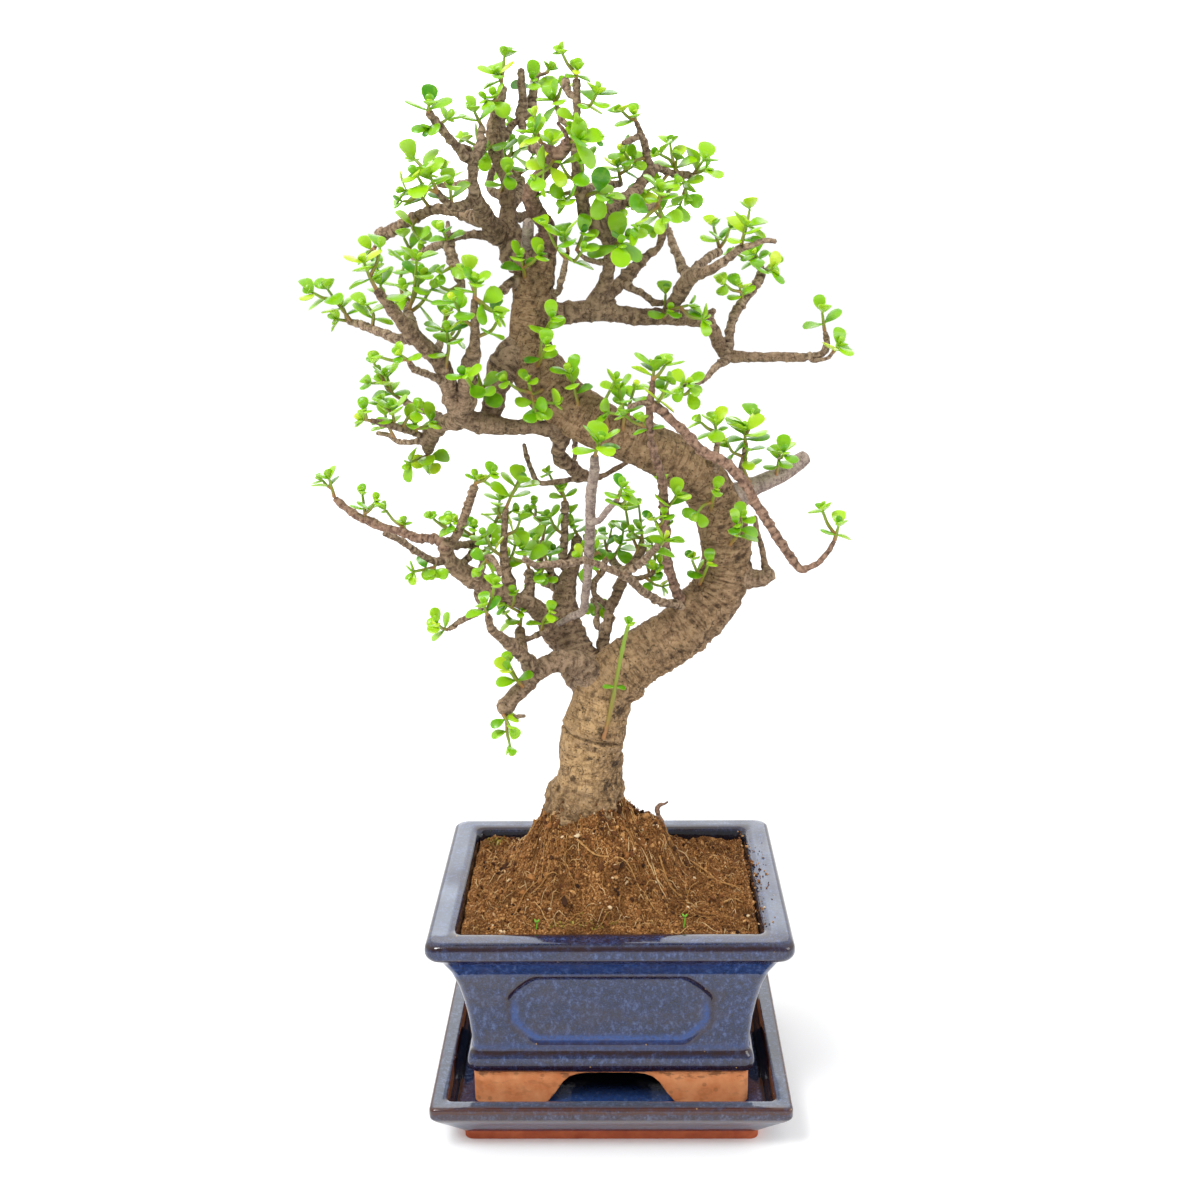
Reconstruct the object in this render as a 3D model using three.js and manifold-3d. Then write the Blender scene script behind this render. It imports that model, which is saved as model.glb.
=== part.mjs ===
// Dwarf jade bonsai (Portulacaria afra) in a glazed rectangular pot on its drip tray.
// Millimetres, +Z up. The origin is the centre of the tray's base, on the surface it stands on.
import * as THREE from "three";
import { mergeVertices } from "three/addons/utils/BufferGeometryUtils.js";
import Module from "manifold-3d";

const wasm = await Module();
wasm.setup();

// Drip tray
const TRAY_HALF = [78.25, 63.5];
const TRAY_TOP = 26;
const TRAY_FLOOR = 15;
const TRAY_BASE_HALF = [65, 50.25];
const TRAY_FOOT_HEIGHT = 4.5;

// Pot
const GAP = 0.3;
const POT_BOTTOM = TRAY_FLOOR + GAP;
const POT_TOP = 102;
const POT_HALF = [77.5, 62.5];
const POT_FOOT_HALF = [60.5, 45.5];
const FOOT_WALL = 8;
const ARCH_HEIGHT = 13;
const ARCH_HALF = [27, 19];
const POT_FLOOR = 34;
const DRAIN_HOLE_X = 28;
const DRAIN_HOLE_RADIUS = 6;
const PANEL_HALF = [41.5, 16];
const PANEL_HEIGHT = 62;
const PANEL_DEPTH = 1;

// Soil
const SOIL_EDGE = 96.5;
const MOUND_RISE = 35;
const MOUND_REACH = 50;

// Stems and foliage
const BARK_RELIEF = 0.045;
const SHOOT_RADIUS = 0.7;
const LEAF_THICKNESS = 1.7;
const LEAF_WIDTH = 0.74;
const LEAF_TRIES = 8;
const PAIRS_KEPT = 2;
const SMALL_LEAF = 8.2;
const LEAF_CLEAR = 0.35;
const WOOD_CLEAR = 0.35;

// Every route below is drawn on the plane of the front elevation, as (x, z), the way it looks
// from EYE. A depth, away from the viewer, then moves each point along its line of sight.
const EYE = new THREE.Vector3(6.712, -586.568, 403.512);
const DEPTH_SPREAD = 1.25;

// The woody stems: name, the stem it grows from, and its stations (x, z, radius, depth).
// The depth is given where it is known, and runs evenly between those stations.
const STEMS = [
  ["trunk", null, [
    [-10, 112, 17, 0], [-10, 130, 18.5], [-11, 140, 18], [-9.6, 147, 15.8], [-9, 155, 14.4],
    [-8.7, 165, 14.2], [-5.8, 175, 13.8], [-3.6, 185, 13.3], [-2.5, 191, 13, 0], [3, 198, 13],
    [11, 206, 12.3], [22, 213.5, 11.7], [32, 220, 11.7, 4], [41, 228, 12], [47, 236, 11.3],
    [50, 246, 11, 8], [49.5, 256, 10.6], [48.5, 266, 10.5], [46, 276, 10.5, 8],
    [40, 285, 10.5], [31, 291.5, 10.3, 4], [21, 297.5, 10.2], [10, 302, 10], [0, 307, 10, -2],
    [-9, 313, 10.5], [-17, 319, 11], [-24, 326, 11.5], [-28.5, 333, 11], [-30.5, 340, 9, 0],
    [-31, 347, 7.9], [-30, 354, 8.4], [-29, 361, 8.8], [-28.5, 368, 8.3], [-26.5, 375, 7.6],
    [-24, 381, 5.8, 2]]],
  ["leader", "trunk", [
    [-33, 378, 7], [-37, 384, 6], [-38.5, 390, 4.2], [-38, 396, 3.4], [-38, 402, 3.2],
    [-38.3, 407, 3], [-41, 413, 2.7], [-42.5, 419, 3], [-43.2, 425, 3], [-42.3, 430, 2.5],
    [-40.9, 433.5, 2.2, 10]]],
  ["leader_tip", "leader", [[-40.2, 435, 1.7], [-39.3, 438, 1.3], [-39.2, 443, 1, 12]]],
  ["brown_limb", "trunk", [
    [-22.7, 386, 4], [-23, 389, 3.5], [-25.4, 392.5, 3.4], [-27.8, 396, 3.6],
    [-29.2, 400, 3.3], [-28.2, 404, 3.2], [-25.3, 408, 3], [-21.8, 412, 3],
    [-18.5, 415.5, 2.9], [-15.5, 418.5, 2.6], [-14, 421, 2.2, -22]]],
  ["across", "trunk", [
    [-20, 354.5, 4.4], [-12, 355, 4.4], [-5, 355.5, 4.7], [1, 355, 4.1], [8, 353.7, 3.7],
    [15, 353, 3.6], [22, 353, 3.5, 10], [30, 352.5, 3.4], [37, 352, 3.3], [41, 350.5, 3.3],
    [44, 347, 2.9], [46, 343, 2.7], [48, 339, 2.7, 14], [51, 336.7, 2.4], [55, 336.5, 2.3],
    [60, 336.3, 2.1], [66, 336.2, 2], [72, 336.3, 2], [78, 336, 1.9],
    [83, 336.2, 1.7, 0]]],
  ["across_end", "across", [
    [85, 336.4, 1.6], [88, 337, 1.6], [89.7, 338.7, 1.4], [90.5, 341, 1.3], [90, 344, 1.1],
    [89.3, 346.5, 0.9, -2]]],
  ["across_hook", "across_end", [
    [84.5, 335.2, 0.9], [88.5, 335, 0.8], [91.5, 336, 0.8], [93, 338, 0.8, -6]]],
  ["across_stub", "across", [[43, 354, 1.5], [44.8, 355.6, 1.2, 10]]],
  ["across_up", "across", [
    [50, 340, 2], [50.7, 345, 1.8], [51.5, 350, 1.9], [53.5, 355, 1.9], [57, 360, 1.8],
    [60, 364, 1.8], [62.5, 367.5, 2.2], [63, 371, 1.6], [62.5, 374, 1.1, 30]]],
  ["across_low", "across", [
    [49, 335, 1.6], [46, 333, 1.5], [43.5, 330.5, 1.3], [41, 327.5, 1.1], [37.5, 326, 1.1],
    [34, 326.5, 1.2, -6]]],
  ["middle", "across", [
    [-3, 359, 3.6], [-1, 364, 3.1], [1, 369, 2.9], [2, 374, 2.8], [2.5, 379, 2.8],
    [1.5, 384, 3], [-2, 388, 3.4], [-5.5, 391, 3.2], [-7.8, 395, 2.9], [-8.6, 400, 2.8],
    [-9.5, 405, 2.8], [-10, 410, 2.7], [-10.4, 414, 2.4], [-10.8, 418, 2.1, -14]]],
  ["middle_top", "middle", [
    [-11, 420, 1.7], [-10.6, 424, 1.5], [-10.3, 430, 1.4], [-10.2, 435, 1.5],
    [-10, 440, 1.5], [-10.3, 444.5, 1.6, -18]]],
  ["middle_knob", "middle_top", [[-12, 438, 1.1], [-14, 441, 1.7], [-14.4, 444.5, 1.7, -12]]],
  ["middle_right", "middle", [
    [-1, 391, 3.1], [3.7, 395.8, 2.8], [7.8, 398.9, 2.6], [11.5, 401.3, 2.3],
    [14.5, 404.6, 2.2], [17.7, 408.2, 2.2], [19, 409.8, 2, 20]]],
  ["right_end", "middle_right", [
    [21, 410.4, 1.6], [26, 409, 1.4], [30, 408, 1.3], [33, 408, 1.6], [35, 407.5, 1.4, 34]]],
  ["right_top", "middle_right", [
    [18.5, 411, 1.7], [17.5, 414, 1.6], [16.7, 418, 1.5], [15.5, 422, 1.3], [14, 426, 1],
    [12.8, 428.5, 0.8, 8]]],
  ["right_spur", "right_top", [[13, 422.3, 1.2], [9.5, 420.7, 1.1], [7.5, 420.2, 0.9, 4]]],
  ["right_low", "middle_right", [
    [11, 397.5, 1.7], [14, 395.5, 1.6], [18, 395.5, 1.5], [21.5, 396.5, 1.2, -14]]],
  ["middle_back", "middle", [
    [-5, 402.5, 2.2], [-2, 404, 2.2], [3, 404.5, 1.5], [7, 405, 1.2, 22]]],
  ["inner_fork", "across", [
    [1, 361, 2.9], [4.5, 364.5, 2.7], [8, 368, 2.5], [12, 372, 2.4], [15, 375.3, 2.1],
    [18, 377.5, 1.6], [21.5, 380, 1.4], [23, 384, 1.5], [24.5, 387.5, 1.4],
    [24.4, 391.5, 0.9, 26]]],
  ["inner_side", "middle", [[-4, 375, 1], [-8, 376.5, 0.9], [-11, 379.5, 0.7, -8]]],
  ["inner_cross", "inner_fork", [
    [10.5, 364.5, 1.5], [14, 362.8, 1.4], [17, 361, 1.4], [20, 358.8, 1.4],
    [24, 358.3, 1.3, 8]]],
  ["right_up", "across", [
    [27, 356.5, 2.8], [30, 361, 2.9], [32.3, 366, 3.2], [35, 368.5, 2.6], [39, 370, 2.2],
    [43, 371.5, 2], [47, 374, 1.8, -14]]],
  ["right_up_end", "right_up", [
    [49, 375.5, 1.7], [51, 377, 1.6], [55, 379.5, 1.5], [60, 381, 1.2], [64, 382.5, 1],
    [69, 382, 0.7, -26]]],
  ["right_up_left", "right_up", [
    [32, 371, 2], [30.5, 375, 1.7], [28.5, 379, 1.6], [27, 383, 1.5],
    [25.8, 387.5, 1.2, 18]]],
  ["right_up_pair", "right_up", [
    [36.5, 371.5, 1.6], [40, 374.5, 1.7], [43, 376.8, 1.7], [46.5, 378.5, 1.6, 20]]],
  ["trunk_side", "trunk", [
    [-18.5, 363.5, 1.3], [-17.8, 367, 1.2], [-16.5, 371, 1.3], [-15.6, 375, 1],
    [-14.5, 379, 0.8, -14]]],
  ["leader_stub", "leader", [[-31.5, 380, 2.4], [-30.6, 385, 2.4], [-30.1, 391, 2.4, -12]]],
  ["leader_bar", "leader", [[-34, 392.5, 1.8], [-29.5, 393.2, 1.6, 12]]],
  ["leader_fork", "leader", [
    [-35.8, 399, 2.2], [-34, 402, 2.1], [-32.8, 405, 1.9], [-34.3, 408.5, 1.5],
    [-36, 411.3, 1.1, 30]]],
  ["dark_crook", "brown_limb", [
    [-26.5, 406.5, 2], [-24.8, 410.5, 1.9], [-23.8, 414, 2], [-25, 417.8, 2.1],
    [-28.5, 418.8, 1.6, 8]]],
  ["crook_twig", "brown_limb", [[-19.2, 417.2, 1.3], [-21.8, 418.6, 1.2], [-24.3, 420.6, 0.9, -20]]],
  ["tip_twig", "brown_limb", [[-14.2, 422.5, 1], [-15.7, 425.5, 0.8], [-18, 428.3, 0.8, -28]]],
  ["up_limb", "leader", [
    [-43, 386.5, 4.3], [-46, 391, 3.7], [-49, 396, 3.3], [-51, 400.5, 3],
    [-51.6, 404, 2.4, -14]]],
  ["up_top", "up_limb", [
    [-51.7, 407, 2.1], [-51.6, 410, 2.1], [-51.2, 415, 2.2], [-48.5, 418.5, 2.1],
    [-47.6, 421.5, 1.9, -10]]],
  ["up_left", "up_top", [
    [-54, 415.5, 2], [-58, 420, 1.7], [-62, 424.5, 1.7], [-65.5, 429, 1.6],
    [-68.5, 432.5, 1.7, -30]]],
  ["up_link", "up_left", [[-55.5, 419.3, 1.2], [-52.5, 418.3, 1.2, -10]]],
  ["up_stub", "up_top", [[-48, 423.5, 1.5], [-47.5, 427, 1.3, -4]]],
  ["left_limb", "up_limb", [
    [-50, 391.7, 2.4], [-54, 393, 2.3], [-58, 395, 2.2], [-62, 395.6, 2.2], [-66, 396, 2.1],
    [-70, 395, 2], [-74, 393.5, 2], [-79, 391, 2.1], [-84, 388.5, 2.3], [-88, 386.5, 2.4],
    [-90, 385.5, 2.3, 30]]],
  ["left_limb_twig", "left_limb", [[-90.5, 384, 0.9], [-92.5, 381, 0.8, 27]]],
  ["left_pair", "up_limb", [
    [-53, 398.3, 2], [-56, 397.3, 2], [-60, 396.7, 1.9], [-63, 399, 1.5],
    [-66.3, 402.8, 1.3, -26]]],
  ["left_bar", "up_top", [
    [-54, 406, 1.2], [-57.5, 405.6, 1.1], [-61, 404.7, 1], [-65.5, 405.2, 0.9, 12]]],
  ["knob_twig", "leader", [
    [-42, 401.5, 1.8], [-45, 403.3, 1.4], [-44.6, 408.5, 1.4], [-43, 412.5, 1.3, 14]]],
  ["low_bar", "leader", [
    [-43, 384.2, 2], [-48, 385.5, 1.7], [-53, 386, 1.6], [-58, 385.4, 1.5], [-62, 384.8, 1.9],
    [-62, 380, 2.1], [-60.7, 375, 2.1], [-59.3, 370.5, 2], [-58, 366.5, 1.7],
    [-58.2, 362.5, 1.3, -16]]],
  ["low_bar_thorn", "low_bar", [[-62.4, 388, 1], [-62.4, 391, 0.7, 4]]],
  ["low_bar_stub", "low_bar", [
    [-65.5, 382.3, 1.5], [-69, 381, 1.6], [-73, 379, 1.7], [-76.5, 377, 1.7, 22]]],
  ["dark_link", "leader", [[-38.8, 423, 1.5], [-36, 427, 1.4], [-33, 429.5, 1.4],
    [-30, 431, 1.9], [-28, 434.5, 2], [-27.2, 438, 1.7], [-26.6, 442, 1.6],
    [-25.6, 447.5, 1.6, 26]]],
  ["tall_twig", "dark_link", [
    [-31.5, 431, 1.7], [-31.3, 436, 1.7], [-31.5, 442, 1.6], [-31.6, 448.5, 1, 12]]],
  ["tall_root", "dark_link", [[-31.8, 428, 1.5], [-31.6, 424.5, 1.4, 12]]],
  ["thin_top", "dark_link", [[-24.3, 446, 0.8], [-21.8, 446.4, 0.7, 20]]],
  ["back_twig", "leader", [
    [-40, 424, 1.4], [-39.6, 430, 1.3], [-39.4, 436, 1.3], [-38.6, 441.5, 1.2, 26]]],
  ["behind_top", "middle", [[-12, 425, 1], [-16, 429, 1.1], [-17.5, 433.5, 1.3, 2]]],
  ["trunk_stub", "trunk", [[-38, 366.8, 1.8], [-41, 364.6, 1.7], [-45, 362, 1.4, -8]]],
  ["shoulder", "trunk", [
    [-37, 337, 8], [-42.5, 331, 6.2], [-45.5, 324, 5], [-46.8, 317, 4.6],
    [-48.5, 311, 4.2, -2]]],
  ["low_arm", "trunk", [
    [-22, 307.5, 3.3], [-30, 308.5, 3.3], [-38, 308.3, 3.5], [-45, 309, 3.9], [-52, 310, 4.2],
    [-58, 312, 4.3, -8], [-62.3, 317, 4.1], [-64.3, 323, 3.9, -14]]],
  ["arm_end", "low_arm", [
    [-64.8, 326, 3.8], [-65.5, 330, 3.8], [-68, 335, 3.6], [-72, 340, 3.5], [-76.5, 344.5, 3.4],
    [-80, 349, 3.2], [-83.5, 353, 2.7], [-87, 357.5, 2.3], [-90, 361.5, 2.1], [-92.5, 365, 1.8, -38]]],
  ["arm_stem", "low_arm", [
    [-58.5, 318, 4], [-57.5, 324, 3.8], [-56.3, 331, 3.9], [-54.5, 337.5, 3.4],
    [-53.3, 343, 2.3], [-53, 349, 1.9], [-53, 355, 1.7], [-52.8, 361, 1.5, -30]]],
  ["arm_left", "arm_end", [
    [-79.5, 345.3, 2], [-84, 345, 1.9], [-90, 347, 1.8], [-95, 349, 1.7], [-100, 351, 1.6],
    [-104.5, 352.3, 1.4, 2]]],
  ["arm_inner", "arm_end", [
    [-79.3, 351, 2.2], [-80, 355, 1.7], [-81.3, 359, 1.5], [-82, 362.5, 1.2, 8]]],
  ["arm_spur", "arm_end", [
    [-68.5, 328.6, 1.7], [-72, 330, 1.5], [-76, 331.5, 1.4], [-79, 333, 1.3],
    [-80.6, 335.8, 1, -38]]],
  ["arm_twig", "arm_end", [[-68.3, 341, 1.4], [-67, 345.5, 1.1, 12]]],
  ["hang_limb", "low_arm", [
    [-62, 311.3, 3.4], [-66.5, 310.7, 3.4], [-70, 308.8, 3.7], [-72.5, 306, 3.9],
    [-74, 302, 3.3], [-74.3, 297.8, 1.9, 10]]],
  ["hang_upper", "hang_limb", [
    [-69.5, 313, 1.6], [-74, 315, 1.4], [-79, 317, 1.3], [-83.5, 319.5, 1.2, 28]]],
  ["hang_low", "hang_limb", [
    [-77, 305, 1.3], [-81, 306.8, 1.4], [-85, 308.1, 1.6], [-88, 309, 1.6], [-93, 310.5, 1.5],
    [-98, 311.5, 1, -10]]],
  ["hang_thin", "hang_limb", [
    [-78, 302.5, 1.3], [-83.3, 302.3, 1.2], [-87, 302.7, 1.1], [-90.5, 305.3, 1],
    [-95.5, 306.3, 0.9, 26]]],
  ["elbow", "low_arm", [
    [-18, 303, 3], [-20.3, 298, 2.8], [-17, 293.3, 2.8], [-12.5, 289.8, 2.5],
    [-8, 287.2, 2.3], [-3, 287, 1.3], [3.8, 290.3, 1.1], [9, 293.3, 1, 20]]],
  ["elbow_left", "elbow", [
    [-10.5, 286.5, 1.2], [-15, 286, 1.1], [-20, 285, 1.1], [-24, 284.5, 1.1],
    [-28.3, 284.8, 1.1], [-31.5, 290.5, 1.1], [-33, 295, 1], [-34.3, 301.5, 0.8, 4]]],
  ["elbow_twig", "elbow", [[-13.4, 294.5, 0.9], [-13, 299, 1], [-13, 304, 1.1, -4]]],
  ["second", "trunk", [
    [-13, 205, 9], [-16, 213, 8.6], [-18, 222, 7.2], [-18.8, 231, 5.6],
    [-18.2, 237, 4.9, 14]]],
  ["second_top", "second", [
    [-18, 239, 4.6], [-15.3, 247, 3.6], [-13.2, 255, 2.8], [-12.5, 262, 2.2, 20]]],
  ["second_a", "second_top", [[-22, 242.3, 1.6], [-24.3, 246.3, 1.5], [-26.2, 249.5, 1.4, 10]]],
  ["second_b", "second_top", [
    [-24.5, 240, 1.7], [-28.4, 243, 1.6], [-28.5, 250, 1.5],
    [-27.3, 260, 1.3, 34]]],
  ["second_c", "second_top", [
    [-18.3, 249, 1.9], [-18.4, 255, 1.8], [-18, 262, 1.7], [-17.7, 270, 1.7],
    [-17.5, 277, 1.6, 12]]],
  ["stub_branch", "trunk", [
    [-18, 205.5, 5.4], [-25, 204.5, 4.6], [-31, 201, 4.1, -12]]],
  ["stub_end", "stub_branch", [
    [-34, 198, 3.9], [-36, 195, 3.8], [-42, 189, 3.5], [-46, 184, 3.7],
    [-48.5, 182, 2.8, -18]]],
  ["stub_twig", "stub_end", [[-44, 180.7, 1], [-36.5, 180.2, 0.8, -18]]],
  ["stub_a", "stub_branch", [
    [-35, 206, 3], [-40, 211, 2.7], [-45, 215.5, 2.3], [-50, 220, 1.8],
    [-52, 227, 1.3, -34]]],
  ["stub_b", "stub_branch", [
    [-36.5, 207.5, 2.7], [-37.8, 214, 2.6], [-38, 221, 2.3, 6]]],
  ["stub_b_side", "stub_b", [[-34.5, 216, 1.1], [-29, 218.5, 1.1], [-25.5, 219.7, 1, -4]]],
  ["left_low", "second", [
    [-21, 220, 6], [-27, 226, 4.7], [-33, 231, 3.8], [-40, 234, 3.5], [-47, 237, 3.6, -4]]],
  ["left_bough", "left_low", [
    [-50, 238.5, 3.7], [-55, 241.5, 4], [-60, 244.5, 4], [-65, 248.5, 3.8], [-68, 253.5, 3.3],
    [-69, 258, 2.8, -12]]],
  ["long_left", "left_bough", [
    [-72, 260.3, 2], [-76.5, 261, 2], [-81, 261.3, 2], [-85, 263, 2], [-88.8, 264.2, 1.9],
    [-93, 265.3, 1.9], [-97, 267, 1.8], [-100.3, 268.8, 1.8], [-104, 270, 1.7],
    [-107.5, 272.2, 1.7], [-110.3, 274.5, 1.5], [-113, 276.8, 1.4], [-114.8, 279, 1.2, 10]]],
  ["long_pair", "left_bough", [
    [-72, 250.7, 1.6], [-77.8, 253, 1.4], [-81, 255, 1.4], [-84.8, 258, 1.4],
    [-88, 260.3, 1.4], [-91.4, 262, 1.3], [-95, 263.4, 1.1, -36]]],
  ["left_rise", "left_bough", [
    [-65.5, 260, 1.9], [-62.8, 264.3, 1.9], [-60.5, 270, 1.8], [-58.7, 274.5, 1.8],
    [-57, 279, 1.7], [-55.3, 284, 1.6, -20]]],
  ["left_in", "left_bough", [
    [-64, 257.8, 1.7], [-60, 258.2, 1.6], [-55.7, 258.7, 1.6], [-52.5, 260.4, 1.5],
    [-50.2, 263.2, 1.4], [-48, 266, 1.3, 22]]],
  ["left_in_low", "left_bough", [[-61.5, 250, 1.7], [-58.6, 253, 1.6], [-55.4, 257, 1.4, 6]]],
  ["left_loop", "left_bough", [
    [-54, 247, 1.5], [-52, 252, 1.4], [-50.3, 252.8, 1.3], [-47.5, 249.5, 1.2],
    [-45.7, 244.5, 1.1, -30]]],
  ["left_tall", "left_low", [
    [-42.3, 240, 2.7], [-43.5, 247, 2.2], [-44, 256, 1.7], [-43.5, 265, 1.4],
    [-42.5, 274, 1.1, -2]]],
  ["left_knob", "left_low", [[-33.5, 238, 2.2], [-33.5, 247.5, 2, 4]]],
  ["left_hang", "left_bough", [
    [-56, 236, 1.4], [-54, 230.5, 1.3], [-56.5, 227.5, 1.3], [-60.3, 225.8, 1.3],
    [-63.6, 224.2, 1.2], [-66.8, 221.8, 1.1], [-69.3, 220.2, 0.9, -2]]],
  ["front_grey", "left_low", [
    [-25.5, 221, 1.8], [-22, 222.3, 1.5], [-15.4, 226, 1.6], [-11, 228, 1.9],
    [-9.6, 235, 2], [-8.8, 240.6, 2], [-8.3, 246, 2.1], [-7.8, 252, 2.2], [-7.2, 263.3, 2.3],
    [-6.8, 274.4, 2.4], [-6.3, 282, 2.4], [-5, 290, 2.2], [-4.8, 296, 1.8, -36]]],
  ["front_side", "front_grey", [[-4.3, 268, 1.5], [0.5, 273, 1.4], [4.7, 277.3, 1.1, -44]]],
  ["cross_grey", "trunk", [
    [29.5, 231.3, 1.9], [26.7, 231.3, 1.8], [23, 232.2, 1.8], [19.2, 234.5, 1.7],
    [15.3, 236.8, 1.7], [11.6, 240.6, 1.7], [7.2, 244, 1.7], [3.3, 245.8, 1.6],
    [-4.5, 249.2, 1.5], [-10.5, 250.8, 1.5], [-15, 249.7, 1.5], [-20.5, 249.3, 1.5],
    [-25.8, 249.3, 1.4], [-30, 248.8, 1.4], [-36, 252, 1.2, -44]]],
  ["cross_side", "cross_grey", [
    [9.5, 246.3, 1.5], [12.5, 248.3, 1.5], [16, 251, 1.5], [19, 254.4, 1.4],
    [22, 257.2, 1.3, -34]]],
  ["crotch", "trunk", [
    [-2, 213, 2.6], [0, 222, 2.3], [1, 229.5, 2.2], [3.7, 235, 2.3], [6, 241, 2.4],
    [8.5, 246.5, 2], [11.5, 249.5, 1.9], [13.8, 254, 1.8], [15.3, 258, 1.7, 30]]],
  ["crotch_a", "crotch", [[5, 246.5, 2], [2.2, 251, 1.8], [0, 254.6, 1.6, 36]]],
  ["crotch_b", "crotch", [
    [-2, 232.3, 1.4], [-5.7, 236, 1.3], [-5.5, 241, 1.3], [-2, 246, 1.3],
    [-0.8, 252, 1.2, 10]]],
  ["crotch_c", "crotch", [[-4.5, 221.5, 1.4], [-4.3, 229, 1.2], [-6.5, 234, 1.1, 30]]],
  ["crotch_d", "crotch", [[11.5, 242.7, 1.2], [16, 243.5, 1.1], [21, 246, 1, 30]]],
  ["dark_rise", "trunk", [
    [30.5, 234.5, 2.1], [27.6, 243.2, 2], [26, 249, 2], [24.9, 257, 2], [24.8, 266, 2],
    [24.1, 277, 2], [23.3, 286, 1.8], [20.3, 295, 1.7], [18.8, 301.8, 1.6],
    [18.2, 309, 1.5], [18.2, 317, 1.6], [19, 322, 1.3], [19.4, 327, 1, -38]]],
  ["dark_side", "dark_rise", [[15, 318, 1], [11, 316.8, 0.9], [9, 316.2, 0.8, -40]]],
  ["long_right", "dark_rise", [
    [21, 316, 1.8], [24.5, 313, 1.8], [28.5, 309.3, 1.9], [32, 306.3, 2], [35.7, 302.2, 2],
    [39.4, 298.4, 2.1], [42.7, 296, 2.2], [45.9, 294.7, 2.3], [50, 292.5, 2.3],
    [52.7, 289.8, 2.3], [58, 283.8, 2.2], [62.4, 276, 2.1], [68, 267, 2], [74.5, 257, 2],
    [80.5, 248.6, 1.9], [82.7, 246.3, 1.8], [85.3, 246.8, 1.4], [88.7, 248.2, 1.2],
    [93.6, 253.6, 1.1], [96.5, 259, 0.9, -48]]],
  ["stub_upper", "trunk", [
    [52, 277, 6], [60, 281.5, 4.4], [67, 284.8, 3.9], [74, 288, 3.6], [80, 292.5, 3.6],
    [84, 295.5, 3.1, 26]]],
  ["stub_riser", "stub_upper", [[56.5, 288, 1.4], [57.5, 295, 1.2], [58, 300, 1, 6]]],
  ["arch_riser", "trunk", [[45.5, 291, 1.5], [46, 298, 1.3], [46.5, 303, 1, -6]]],
  ["stub_lower", "trunk", [[58, 243, 4.6], [64, 242.2, 3.8], [69, 243, 3.2, 2]]],
  ["stub_lower_twig", "stub_lower", [
    [67, 249, 1.4], [65.8, 255.7, 1.2], [64, 261.5, 1.1], [62.5, 270, 0.9, 20]]],
];

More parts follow.
